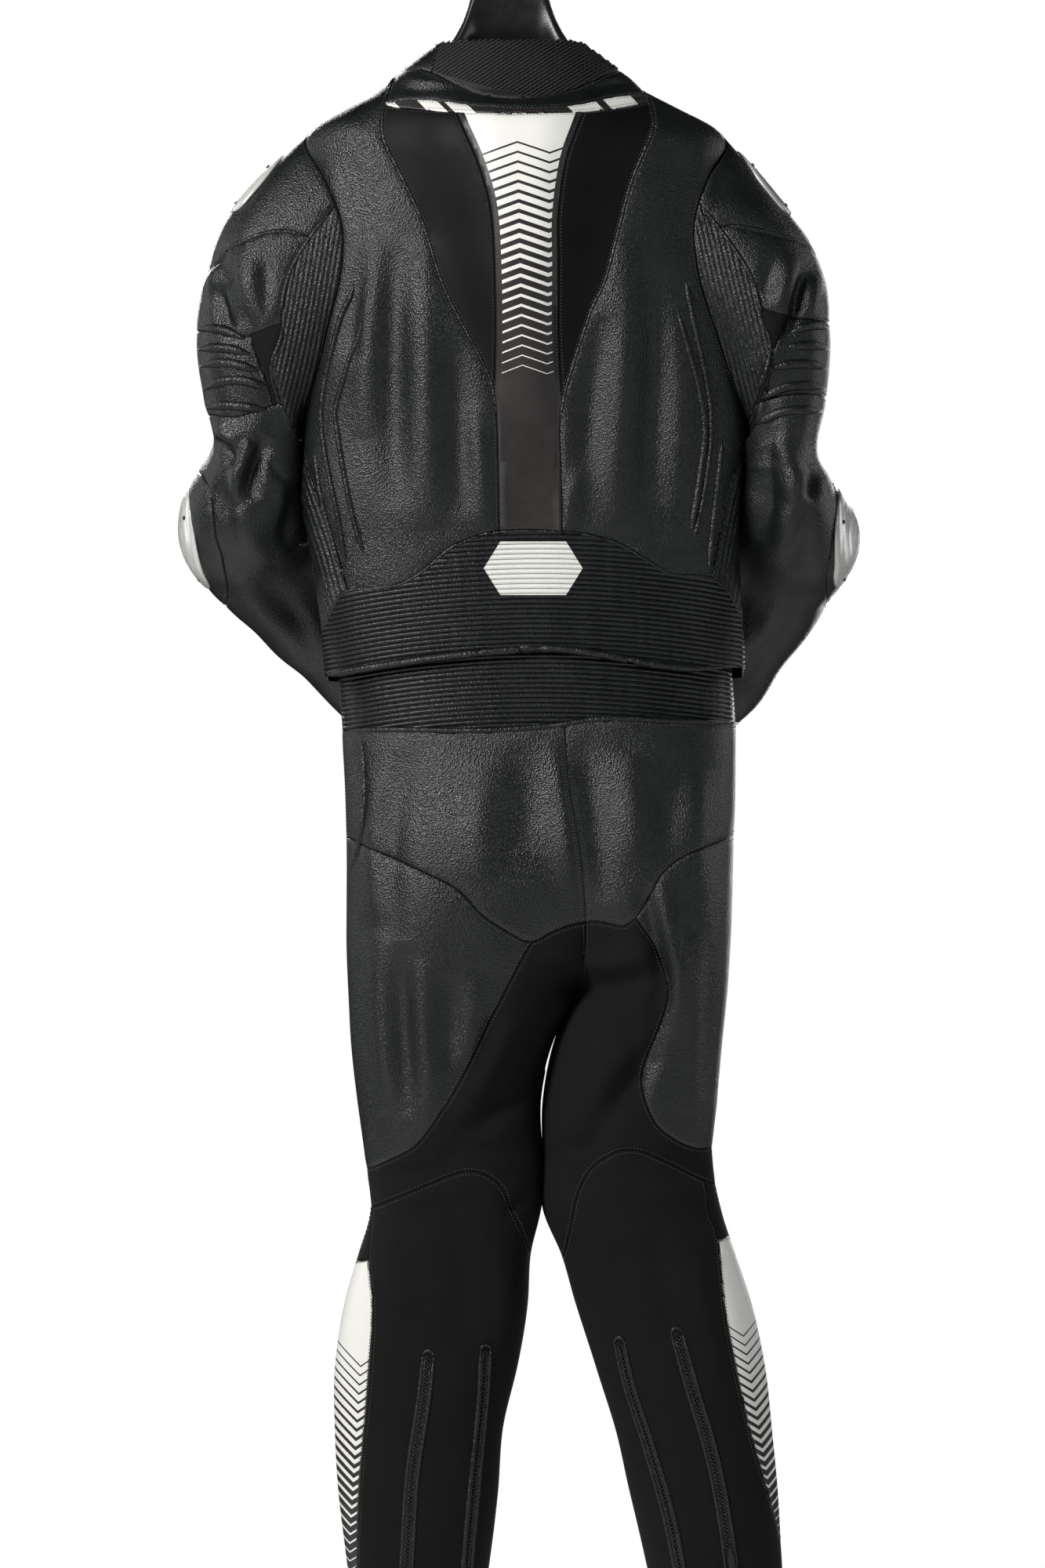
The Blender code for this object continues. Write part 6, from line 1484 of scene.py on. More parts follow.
MATERIALS = {
    "leather": leather(), "smooth": matt_panel(), "stretch": stretch(), "knit": knit(),
    "strip": strip_print(), "band": band_print(), "lumbar": lumbar_leather(),
    "shin_left": shin_print(-1), "shin_right": shin_print(1),
    "thread": thread(), "plate": plate_plastic(), "plastic": black_plastic(),
    "steel": metal("steel", (0.55, 0.55, 0.54, 1), 0.22, 0.36),
    "dark_metal": metal("dark_metal", (0.06, 0.06, 0.062, 1), 0.3, 0.45),
}


# ---------------------------------------------------------------- cloth pieces

# From one rib to the next, and a rib's height.
RIBS = {
    "lumbar_panel": (RIB_PITCH, 1.7 * MM), "waist_panel": (RIB_PITCH, 1.7 * MM),
    "fan": (4.9 * MM, 2.0 * MM), "side": (5.2 * MM, 2.0 * MM), "knee_rib": (4.6 * MM, 1.6 * MM),
}
RIB_FADE = 2.5 * MM  # ribs run out over this much at a panel's edge
RIB_FOLD_SHARE = 0.6  # folds are weaker on ribbed panels
# The hem hangs clear of the waist panel under it.
PANEL_LIFT = {"lumbar_panel": 1.5 * MM, "waist_panel": -0.9 * MM}
# A plain panel stands out from its seams by this much, over this reach.
PUFF, PUFF_REACH, PUFF_SINK = 1.5 * MM, 9 * MM, 0.4 * MM
SUBDIVIDED = {"fan": 2, "side": 1, "knee_rib": 1, "hump_band": 1}
KINDS = {
    "back_strip": ("strip", "black_stretch"), "hump_band": ("band", "printed_leather"),
    "hump": ("smooth", "black_leather"), "lumbar_panel": ("lumbar", "black_leather"),
    "waist_panel": ("lumbar", "black_leather"),
    "collar_knit": ("knit", "black_knit"), "insert": ("stretch", "black_stretch"),
    "inner_leg": ("stretch", "black_stretch"), "calf": ("stretch", "black_stretch"),
    "fan": ("leather", "black_stretch"), "side": ("leather", "black_stretch"),
    "bellows": ("leather", "black_stretch"), "knee_rib": ("stretch", "black_stretch"),
}


def stem_of(name):
    return name.replace("_left", "").replace("_right", "")


def rib_relief(name, place, rim):
    """Height of the ribs and where their crests are, for a ribbed panel."""
    stem = stem_of(name)
    side = -1 if "left" in name else 1
    pitch, height = RIBS[stem]
    if stem == "fan":
        at = left_of(FAN_LINES[side])(place, None)
    elif stem == "side":
        at = left_of(SIDE_LEFT_EDGE if side < 0 else SIDE_RIGHT_EDGE)(place, None)
    elif stem == "knee_rib":
        at = place[:, 2]
    else:
        at = place[:, 2] + RIB_SAG * ((place[:, 0] - RIB_MIDDLE) / RIB_REACH) ** 2
    crest = np.abs(np.cos(math.pi * at / pitch))
    # Round crests with narrow valleys between them.
    return height * (crest**0.7 - 0.6) * np.clip(rim / RIB_FADE, 0, 1), crest


def base_place(net_uv, forms):
    """Every vertex's place, from the last of the forms that it is on."""
    place = np.full((len(net_uv), 3), np.nan)
    for form, surface in forms:
        known = ~np.isnan(net_uv[:, form, 0])
        place[known] = surface(net_uv[known, form])
    return place


JACKET_FORMS = ((RIGHT_FORM, sleeve_form(1)), (LEFT_FORM, sleeve_form(-1)), (TORSO_FORM, torso))
TROUSER_FORMS = ((RIGHT_FORM, leg_form(1)), (LEFT_FORM, leg_form(-1)))
SHELLS = {}


def garment_relief(uv, place, normal, forms):
    if forms is TROUSER_FORMS:
        return leg_relief(place, normal)
    total = np.zeros(len(place))
    on_torso = ~np.isnan(uv[:, TORSO_FORM, 0])
    total[on_torso] = torso_relief(place[on_torso], normal[on_torso])
    for side, form in ((-1, LEFT_FORM), (1, RIGHT_FORM)):
        here = ~np.isnan(uv[:, form, 0]) & ~on_torso
        total[here] = sleeve_relief(place[here], normal[here], uv[here, form], side)
        near = np.clip(uv[here, form, 1], 0, 1)
        total[here] += (1 - near) * torso_relief(place[here], normal[here])
    return total


def make_panel(name, uv, normal, tri, forms):
    used, local = np.unique(tri, return_inverse=True)
    uv, normal, tri = uv[used], normal[used], local.reshape(-1, 3)
    stem = stem_of(name)
    for _ in range(SUBDIVIDED.get(stem, 0)):
        uv, normal, tri = subdivided(uv, normal, tri)
    place = base_place(uv, forms)
    rim_edges = rim_of(tri)
    rim = rim_distance(place, rim_edges)
    height = garment_relief(uv, place, normal, forms)
    crest = np.ones(len(place))
    if stem in RIBS:
        ribs, crest = rib_relief(name, place, rim)
        height = height * RIB_FOLD_SHARE + ribs + PANEL_LIFT.get(name, 0.0)
    elif stem not in ("collar_knit", "hump_band", "back_strip"):
        height += PUFF * (1 - np.exp(-rim / PUFF_REACH)) - PUFF_SINK
    finished = place + normal * height[:, None]
    points, faces = shell(finished, normal, tri, rim_edges, rim, EDGE_INSET, EDGE_DROP)
    kind, slot = KINDS.get(stem, ("leather", "black_leather"))
    if stem == "shin_panel":
        kind = "shin_left" if "left" in name else "shin_right"
    obj = mesh_object("cloth_" + name, points, faces, MATERIALS[kind])
    edge = np.unique(rim_edges)
    add_attribute(obj, "rim", np.concatenate([rim, rim, rim[edge]]))
    if stem in RIBS:
        add_attribute(obj, "rib", np.concatenate([crest, crest, crest[edge]]))
    if stem == "back_strip":
        sides = np.minimum(left_of(STRIP_LEFT)(place, None), -left_of(STRIP_RIGHT)(place, None))
        add_attribute(obj, "side_rim", np.concatenate([sides, sides, sides[edge]]))
    attach(obj, slot, name)
    SHELLS[name] = {"points": finished, "tri": tri, "rim": rim_edges, "normal": normal,
                    "tree": BVHTree.FromPolygons(finished.tolist(), tri.tolist())}
    return obj


def make_garment(net, forms):
    place = base_place(net.uv, forms)
    biggest_patches(net)
    normal = vertex_normals(place, net.tri)
    for name in sorted(set(net.panel)):
        make_panel(name, net.uv, normal, net.tri[net.panel == name], forms)


# ---------------------------------------------------------------- stitches and piping

STITCHED = ("back", "front", "yoke", "hump", "shoulder", "upper_arm", "bellows", "forearm", "elbow",
            "seat", "thigh", "calf", "leg_front", "inner_leg", "shin_panel", "back_strip", "collar")
STITCH_PITCH = 3.4 * MM
STITCH_LENGTH = 2.5 * MM
STITCH_HALF_WIDTH = 0.45 * MM
STITCH_RISE = 0.45 * MM
SEAM_OFFSET = 2.9 * MM  # from the seam to the row of stitches beside it
SECOND_ROW = 2.6 * MM  # from there to the seat's second row


def loops_of(rim):
    """The edge's vertices in order, loop by loop."""
    following = {}
    for a, b in rim.tolist():
        following.setdefault(a, []).append(b)
    loops = []
    while following:
        start = next(iter(following))
        loop = [start]
        at = start
        while at in following:
            options = following[at]
            after = options.pop()
            if not options:
                del following[at]
            if after == start:
                break
            loop.append(after)
            at = after
        if len(loop) > 8:
            loops.append(np.array(loop))
    return loops


def stitch_mesh(middles, runs, ups):
    """Small six-cornered stitches, joined into one set of points and faces."""
    middles, runs, ups = (np.asarray(v, float) for v in (middles, runs, ups))
    side = np.cross(ups, runs)
    half = STITCH_LENGTH / 2
    corners = np.stack([
        middles - runs * half, middles + runs * half,
        middles + side * STITCH_HALF_WIDTH, middles - side * STITCH_HALF_WIDTH,
        middles + ups * STITCH_RISE, middles - ups * STITCH_RISE,
    ], axis=1)
    faces = np.array([(0, 2, 4), (2, 1, 4), (1, 3, 4), (3, 0, 4), (2, 0, 5), (1, 2, 5), (3, 1, 5), (0, 3, 5)])
    every = (faces[None] + 6 * np.arange(len(middles))[:, None, None]).reshape(-1, 3)
    return corners.reshape(-1, 3), every


def resampled(points, pitch, closed):
    """Places spaced evenly along a line of points, with the way it runs there."""
    if closed:
        points = np.concatenate([points, points[:1]])
    step = np.linalg.norm(np.diff(points, axis=0), axis=1)
    before = np.concatenate([[0], np.cumsum(step)])
    at = np.arange(pitch / 2, before[-1], pitch)
    found = np.stack([np.interp(at, before, points[:, k]) for k in range(3)], axis=1)
    ahead = np.stack([np.interp(at + pitch * 0.3, before, points[:, k]) for k in range(3)], axis=1)
    back = np.stack([np.interp(at - pitch * 0.3, before, points[:, k]) for k in range(3)], axis=1)
    run = ahead - back
    return found, run / np.maximum(np.linalg.norm(run, axis=1, keepdims=True), 1e-9)


def seam_stitches(data, offset):
    """One row of stitches along a panel's edge, that far inside it."""
    middles, runs, ups = [], [], []
    inward = inward_at(data["points"], data["normal"], data["rim"])
    for loop in loops_of(data["rim"]):
        line = data["points"][loop] + inward[loop] * offset
        smooth = (np.roll(line, 1, axis=0) + 2 * line + np.roll(line, -1, axis=0)) / 4
        found, run = resampled(smooth, STITCH_PITCH, True)
        for point, way in zip(found, run):
            hit, up, _, _ = data["tree"].find_nearest(Vector(point), 0.006)
            if hit is None:
                continue
            up = np.array(up)
            way = way - up * (way @ up)
            size = np.linalg.norm(way)
            if size < 0.3:
                continue
            middles.append(np.array(hit) + up * 0.1 * MM)
            runs.append(way / size)
            ups.append(up)
    return middles, runs, ups


def make_stitches():
    groups = {"jacket": ([], [], []), "trousers": ([], [], [])}
    for name, data in SHELLS.items():
        stem = stem_of(name)
        if not stem.startswith(STITCHED) or stem == "collar_knit":
            continue
        lower = stem in ("seat", "thigh", "calf", "leg_front", "inner_leg", "shin_panel")
        rows = (SEAM_OFFSET, SEAM_OFFSET + SECOND_ROW) if stem == "seat" else (SEAM_OFFSET,)
        for offset in rows:
            for kept, found in zip(groups["trousers" if lower else "jacket"], seam_stitches(data, offset)):
                kept += found
    for name, (middles, runs, ups) in groups.items():
        points, faces = stitch_mesh(middles, runs, ups)
        attach(mesh_object("stitches_" + name, points, faces, MATERIALS["thread"], False), "black_leather")


def laid_line(names, line, pitch, from_front=False):
    """A line of the back view laid on panels: places and normals where rays from behind meet them."""
    line = drawn(line)[1:-1]
    flat = np.stack([line[:, 0], np.zeros(len(line)), line[:, 1]], axis=1)
    found, _ = resampled(flat, pitch, False)
    way = Vector((0, -1 if from_front else 1, 0))
    places, normals = [], []
    for x, _, z in found:
        best = None
        for name in names:
            hit, up, _, away = SHELLS[name]["tree"].ray_cast(Vector((x, -0.6 * way[1], z)), way)
            if hit is not None and (best is None or away < best[2]):
                best = (np.array(hit), np.array(up), away)
        if best is not None:
            places.append(best[0])
            normals.append(best[1])
    return np.array(places), np.array(normals)


def smoothed(values, times=2):
    for _ in range(times):
        inner = (values[:-2] + 2 * values[1:-1] + values[2:]) / 4
        values = np.concatenate([values[:1], inner, values[-1:]])
    return values


def piping_mesh(places, normals, half_width, height):
    """A rounded ridge along a laid line, tapering to nothing at both ends."""
    places = smoothed(places, 3)
    normals = smoothed(normals, 4)
    normals /= np.linalg.norm(normals, axis=1, keepdims=True)
    run = np.gradient(places, axis=0)
    run /= np.maximum(np.linalg.norm(run, axis=1, keepdims=True), 1e-9)
    side = np.cross(normals, run)
    share = np.minimum(np.arange(len(places)), np.arange(len(places))[::-1]) / 5.0
    taper = np.sqrt(np.clip(share, 0.02, 1))
    angles = np.radians([-90, -62, -30, 0, 30, 62, 90])
    rings = []
    for angle in angles:
        out = math.sin(angle) * half_width * taper * (1.25 if abs(angle) > 1.5 else 1.0)
        up = (math.cos(angle) - 0.12) * height * taper - (0.25 * MM if abs(angle) > 1.5 else 0)
        rings.append(places + side * out[:, None] + normals * up[:, None])
    rings.append(places - normals * 0.5 * MM)
    return np.stack(rings, axis=1).reshape(-1, 3), tube_faces(len(places), len(rings))


def side_faces(rings, around):
    """Triangles between rings of points that follow each other."""
    faces = []
    for i in range(rings - 1):
        for k in range(around):
            a, b = i * around + k, i * around + (k + 1) % around
            faces += [(a, b, b + around), (a, b + around, a + around)]
    return faces


def tube_faces(rings, around):
    """The same, with both ends closed."""
    faces = side_faces(rings, around)
    last = (rings - 1) * around
    for k in range(1, around - 1):
        faces += [(0, k + 1, k), (last, last + k, last + k + 1)]
    return np.array(faces)


def oriented(points, faces):
    """The faces turned so that the closed mesh has its outside outwards."""
    corner = points[faces]
    volume = np.einsum("ij,ij->i", corner[:, 0], np.cross(corner[:, 1], corner[:, 2])).sum()
    return faces if volume > 0 else faces[:, ::-1]


def joined(parts):
    points, faces, count = [], [], 0
    for one, two in parts:
        points.append(one)
        faces.append(oriented(one, two) + count)
        count += len(one)
    return np.concatenate(points), np.concatenate(faces)


TROUSER_SEAM = ((-0.150, -0.874), (-0.147, -0.912), (-0.148, -0.947), (-0.154, -0.987), (-0.162, -1.010))


RIDGE_STEP = 3.0 * MM
# Half width and height of each kind of ridge.
RIDGES = {
    "stitched": (2.9 * MM, 3.4 * MM), "bellows": (4.4 * MM, 4.2 * MM), "sleeve_seam": (2.2 * MM, 2.4 * MM),
    "hem": (3.6 * MM, 4.2 * MM), "waist": (2.6 * MM, 3.0 * MM), "back_seam": (1.5 * MM, 1.1 * MM),
}


def lay_ridge(parts, kind, names, line, from_front=False):
    """Adds a ridge along a line of the back view, where enough of the line meets the panels."""
    places, normals = laid_line(names, line, RIDGE_STEP, from_front)
    if len(places) > 8:
        parts.append(piping_mesh(places, normals, *RIDGES[kind]))
    return places, normals


def make_piping():
    """Rounded ridges: beside the side strips, the sleeves' bellows, the hems and corded seams."""
    back = ("back_left", "back_right", "side_left", "side_right", "seat_left", "thigh_left")
    parts, middles, runs, ups = [], [], [], []
    for line in STITCHED_RIDGES + (TROUSER_SEAM,):
        places, normals = lay_ridge(parts, "stitched", back, line)
        side = np.cross(normals, np.gradient(places, axis=0))
        side /= np.linalg.norm(side, axis=1, keepdims=True)
        beside = smoothed(places + side * 3.2 * MM + normals * 0.2 * MM, 3)
        row, way = resampled(beside, STITCH_PITCH, False)
        count = np.linspace(0, len(places) - 1, len(row)).astype(int)
        middles += list(row)
        runs += list(way)
        ups += list(normals[count])
    stems = ("bellows_", "insert_", "upper_arm_", "forearm_", "shoulder_", "elbow_", "fan_")
    for side, name in ((-1, "left"), (1, "right")):
        arm = tuple(stem + name for stem in stems)
        for line in BELLOWS_LINES[side]:
            for from_front in (False, True):
                lay_ridge(parts, "bellows", arm, line, from_front)
        for key in ("fan", "shoulder"):
            lay_ridge(parts, "sleeve_seam", arm, SLEEVE_SEAMS[side][key][1:-1])
    for kind, line, panel in (("hem", HEM, "lumbar_panel"), ("waist", WAIST_SEAM, "waist_panel")):
        lay_ridge(parts, kind, (panel, "seat_left", "seat_right", "side_left", "side_right"), line)
    for line in (LUMBAR_TOP[1:-1], BACK_LEFT_EDGE[1:-2], BACK_RIGHT_EDGE[1:-2]):
        names = back + ("lumbar_panel", "hump_left", "hump_right", "back_strip")
        lay_ridge(parts, "back_seam", names, line)
    attach(mesh_object("piping", *joined(parts), MATERIALS["leather"]), "black_leather")
    stitches = stitch_mesh(middles, runs, ups)
    attach(mesh_object("stitches_ridges", *stitches, MATERIALS["thread"], False), "black_leather")


# ---------------------------------------------------------------- knit collar

KNIT_ROW = 3.3 * MM
KNIT_STEP = 4.2 * MM
KNIT_SLANT = 0.30
# One grain: where its rings are along it and how wide, in millimetres, and the rings' corners.
GRAIN_RINGS = ((-2.3, 0.25), (-1.3, 0.95), (0.4, 1.15), (1.6, 0.8), (2.3, 0.2))
GRAIN_ANGLES = (20, 92, 164, 236, 308)


def make_knit():
    """Chunky stitches in diagonal rows over the collar's knit panel, as small tilted grains."""
    data = SHELLS["collar_knit"]
    low = data["points"].min(axis=0)
    high = data["points"].max(axis=0)
    parts_middle, parts_run, parts_up = [], [], []
    row = 0
    z = low[2]
    while z < high[2] + 0.02:
        x = low[0] - 0.01 + (row % 2) * KNIT_STEP / 2
        while x < high[0] + 0.01:
            slanted = z - KNIT_SLANT * (x - low[0]) + 0.03
            hit, up, _, _ = data["tree"].ray_cast(Vector((x, -0.5, slanted)), Vector((0, 1, 0)))
            if hit is not None and up[1] < 0.1:
                up = np.array(up)
                run = np.array([0.80, 0.0, 0.60 if row % 2 else 0.25])
                run -= up * (run @ up)
                parts_middle.append(np.array(hit) + up * 0.5 * MM)
                parts_run.append(run / np.linalg.norm(run))
                parts_up.append(up)
            x += KNIT_STEP
        z += KNIT_ROW * 0.62
        row += 1
    middle, run, up = (np.array(v) for v in (parts_middle, parts_run, parts_up))
    side = np.cross(up, run)
    corners = []
    for along, size in GRAIN_RINGS:
        for angle in np.radians(GRAIN_ANGLES):
            corners.append(middle + run * along * MM + side * math.cos(angle) * size * MM
                           + up * math.sin(angle) * size * 0.9 * MM)
    points = np.stack(corners, axis=1)
    around = len(GRAIN_ANGLES)
    faces = tube_faces(len(GRAIN_RINGS), around)
    first = len(GRAIN_RINGS) * around * np.arange(len(middle))
    every = (faces[None] + first[:, None, None]).reshape(-1, 3)
    points = points.reshape(-1, 3)
    attach(mesh_object("knit_stitches", points, oriented(points, every), MATERIALS["knit"]), "black_knit")


# ---------------------------------------------------------------- hard pieces

PLATES = {
    -1: (((0.10, 0.92), (0.50, 0.50)), ((0.05, 8.75), (0.62, 1.25))),
    1: (((0.10, 0.80), (0.50, 0.50)), ((0.05, 8.75), (0.62, 1.25))),
}
PLATE_HEIGHT = 3.4 * MM
# From the top outwards: how far out, and how high, as shares of the plate's size.
PLATE_PROFILE = ((0.20, 0.99), (0.34, 0.96), (0.38, 0.86), (0.42, 0.95), (0.60, 0.90), (0.72, 0.84),
                 (0.76, 0.72), (0.80, 0.78), (0.92, 0.62), (0.98, 0.40), (1.0, 0.0))


def make_plate(name, side, middle, half):
    """A domed hard plate with a stepped rim and two grooves, lying on the sleeve."""
    surface = sleeve_form(side)
    around = 64
    angle = np.linspace(0, 2 * math.pi, around, endpoint=False)
    uv, rise = [], []
    for share, height in PLATE_PROFILE:
        uv.append(np.stack([middle[0] + half[0] * share * signed_power(np.cos(angle), 0.75),
                            middle[1] + half[1] * share * signed_power(np.sin(angle), 0.75)], axis=1))
        rise.append(np.full(around, height))
    uv = np.concatenate([[middle]] + uv)
    rise = np.concatenate([[1.0]] + rise)
    place = surface(uv)
    step_u = surface(uv + [0.05, 0]) - surface(uv - [0.05, 0])
    step_v = surface(uv + [0, 0.05]) - surface(uv - [0, 0.05])
    normal = np.cross(step_u, step_v)
    normal /= np.linalg.norm(normal, axis=1, keepdims=True)
    normal *= np.sign((normal * [side, 0, 0]).sum(axis=1, keepdims=True))
    top = place + normal * (1.6 * MM + PLATE_HEIGHT * rise)[:, None]
    foot = place + normal * 0.6 * MM
    count = len(uv)
    faces = [(0, 1 + k, 1 + (k + 1) % around) for k in range(around)]
    rings = len(PLATE_PROFILE)
    for ring in range(rings - 1):
        for k in range(around):
            a, b = 1 + ring * around + k, 1 + ring * around + (k + 1) % around
            faces += [(a, a + around, b + around), (a, b + around, b)]
    faces = np.array(faces)
    rim = 1 + (rings - 1) * around + np.arange(around)
    after = np.roll(rim, -1)
    sides = np.concatenate([np.stack([after, rim, rim + count], axis=1),
                            np.stack([after, rim + count, after + count], axis=1)])
    points = np.concatenate([top, foot])
    every = np.concatenate([faces, faces[:, ::-1] + count, sides])
    parts = [(points, every)]
    obj = mesh_object("hard_" + name, *joined(parts), MATERIALS["plate"])
    attach(obj, "silver_plastic", name)
    screws = []
    for u, v in ((-0.55, 0.62), (-0.5, -0.6)):
        at = np.array([[middle[0] + half[0] * u, middle[1] + half[1] * v]])
        centre = surface(at)[0]
        nearest = np.linalg.norm(place - centre, axis=1).argmin()
        up = normal[nearest]
        screws.append(screw_mesh(centre + up * (2.0 * MM + PLATE_HEIGHT * rise[nearest]), up))
    attach(mesh_object("screws_" + name, *joined(screws), MATERIALS["dark_metal"]), "zip_pull")


def screw_mesh(centre, up, radius=2.2 * MM):
    """A small domed screw head with a socket."""
    side = np.cross(up, [0.3, 0.9, 0.2])
    side /= np.linalg.norm(side)
    other = np.cross(up, side)
    around = 18
    angle = np.linspace(0, 2 * math.pi, around, endpoint=False)
    rings = ((1.0, -1.2), (1.0, 0.2), (0.85, 0.6), (0.5, 0.75), (0.45, 0.1), (0.02, 0.1))
    points = [centre + side * math.cos(a) * radius * r + other * math.sin(a) * radius * r + up * h * MM
              for r, h in rings for a in angle]
    points.append(centre - up * 1.2 * MM)
    faces = side_faces(len(rings), around)
    last = around * (len(rings) - 1)
    faces += [(last, last + k, last + k + 1) for k in range(1, around - 1)]
    faces += [(len(points) - 1, (k + 1) % around, k) for k in range(around)]
    return np.array(points), np.array(faces)


HANGER = {
    "out": (0.000, 0.030, 0.038, 0.0415, 0.048, 0.057, 0.066, 0.085, 0.110, 0.140, 0.165, 0.186),
    "top": (-0.090, -0.090, -0.104, -0.126, -0.142, -0.159, -0.170, -0.185, -0.205, -0.223, -0.238, -0.262),
    "foot": (-0.168, -0.169, -0.173, -0.176, -0.183, -0.190, -0.196, -0.209, -0.228, -0.248, -0.264, -0.276),
    "half_depth": (0.016, 0.017, 0.019, 0.021, 0.024, 0.027, 0.029, 0.034, 0.0415, 0.0466, 0.0466, 0.031),
}


# The arched rib across the hanger's neck and the hollow under it.
NECK_BANDS = (
    {"z": -0.166, "half_height": 0.0022, "reach": 0.030, "rise": 0.0022},
    {"z": -0.173, "half_height": 0.0040, "reach": 0.028, "rise": -0.0035},
)
NECK_ARCH, NECK_HALF_WIDTH = 0.006, 0.028


def neck_relief(x, z, band):
    middle = band["z"] - NECK_ARCH * (x / NECK_HALF_WIDTH) ** 2
    return band["rise"] * np.exp(-((z - middle) / band["half_height"]) ** 2) * (abs(x) < band["reach"])


def make_hanger():
    """The broad hanger, smooth, with an arched rib across its neck."""
    end = HANGER["out"][-1]
    across_x = spaced((-end, end, 0.003))
    around = 48
    angle = np.linspace(0, 2 * math.pi, around, endpoint=False)
    out = np.abs(across_x)
    top, foot, depth = (np.interp(out, HANGER["out"], HANGER[key]) for key in ("top", "foot", "half_depth"))
    top, foot, depth = (smoothed(values, 3) for values in (top, foot, depth))
    middle, half = (top + foot) / 2, (top - foot) / 2
    points = []
    for i, x in enumerate(across_x):
        y = depth[i] * signed_power(np.sin(angle), 0.75)
        z = middle[i] + half[i] * signed_power(np.cos(angle), 0.75)
        y = y + np.sign(y) * sum(neck_relief(x, z, band) for band in NECK_BANDS)
        points += [(x, yy, zz) for yy, zz in zip(y, z)]
    points = np.array(points)
    faces = oriented(points, tube_faces(len(across_x), around))
    attach(mesh_object("hanger_body", points, faces, MATERIALS["plastic"]), "hanger_plastic", "hanger")


def tube_mesh(route, radius, around=16):
    """A round tube through the places of a route, with flat ends."""
    route = np.array(route, float)
    run = np.gradient(route, axis=0)
    run /= np.linalg.norm(run, axis=1, keepdims=True)
    up = np.tile([0.0, 1.0, 0.0], (len(route), 1))
    side = np.cross(run, up)
    side /= np.linalg.norm(side, axis=1, keepdims=True)
    up = np.cross(side, run)
    angle = np.linspace(0, 2 * math.pi, around, endpoint=False)
    radius = np.broadcast_to(radius, len(route))
    cosine, sine = np.cos(angle)[:, None], np.sin(angle)[:, None]
    points = np.concatenate([route[i] + radius[i] * (cosine * side[i] + sine * up[i])
                             for i in range(len(route))])
    return points, tube_faces(len(route), around)


HOOK_WIRE = 0.00225
HOOK_RADIUS = 0.024
HOOK_STEM = ((0.0, -0.0906), (0.0, -0.084), (0.0, -0.075), (0.0003, -0.068), (0.001, -0.062),
             (0.003, -0.056), (0.006, -0.052), (0.0095, -0.0465))


def make_hook():
    centre_z = HOOK_WIRE - HOOK_RADIUS
    arc = [(HOOK_RADIUS * math.cos(a), 0, centre_z + HOOK_RADIUS * math.sin(a))
           for a in np.radians(np.linspace(-55, 205, 70))]
    route = smoothed(np.array([(x, 0, z) for x, z in HOOK_STEM] + arc), 1)
    radius = np.full(len(route), HOOK_WIRE)
    radius[-1] = HOOK_WIRE * 0.4
    radius[-2] = HOOK_WIRE * 0.8
    wire = joined([tube_mesh(route, radius)])
    attach(mesh_object("hook_wire", *wire, MATERIALS["steel"]), "steel_wire", "hook")


# ---------------------------------------------------------------- zips

ZIP_STEP = 1.0 * MM  # from one place of a zip's line to the next
ZIP_TOOTH = {"half_width": 1.3 * MM, "half_length": 0.62 * MM, "height": 0.9 * MM, "lift": 0.9 * MM}
TOOTH_SHIFT = 0.9 * MM  # the two rows of teeth are this far from the middle
# The rounded edges of the tape: how far out, how far down, half width and height.
ZIP_EDGES = ((5.6 * MM, 0.0, 2.1 * MM, 2.4 * MM), (2.9 * MM, 0.3 * MM, 1.9 * MM, 1.1 * MM))


def box_strip(places, runs, normals, half_width, half_length, height, shift=0.0):
    """Small blocks, one at each place."""
    side = np.cross(normals, runs)
    places = places + side * shift
    corners = []
    for up, share in ((0, 1), (1, 0.8)):
        for along, out in ((-share, -share), (share, -share), (share, share), (-share, share)):
            corners.append(places + runs * along * half_length + side * out * half_width
                           + normals * up * height)
    points = np.stack(corners, axis=1).reshape(-1, 3)
    faces = np.array([(0, 3, 2), (0, 2, 1), (4, 5, 6), (4, 6, 7), (0, 1, 5), (0, 5, 4), (1, 2, 6), (1, 6, 5),
                      (2, 3, 7), (2, 7, 6), (3, 0, 4), (3, 4, 7)])
    every = (faces[None] + 8 * np.arange(len(places))[:, None, None]).reshape(-1, 3)
    return points, every


def zip_end(place, run, side, normal):
    """The rounded stop that closes the raised edges over the top of a zip."""
    out, _, half_width, height = ZIP_EDGES[0]
    turn = np.linspace(0, math.pi, 15)[:, None]
    arc = place + (side * np.cos(turn) + run * np.sin(turn)) * out
    return piping_mesh(arc, np.repeat(normal[None], len(turn), axis=0), half_width, height)


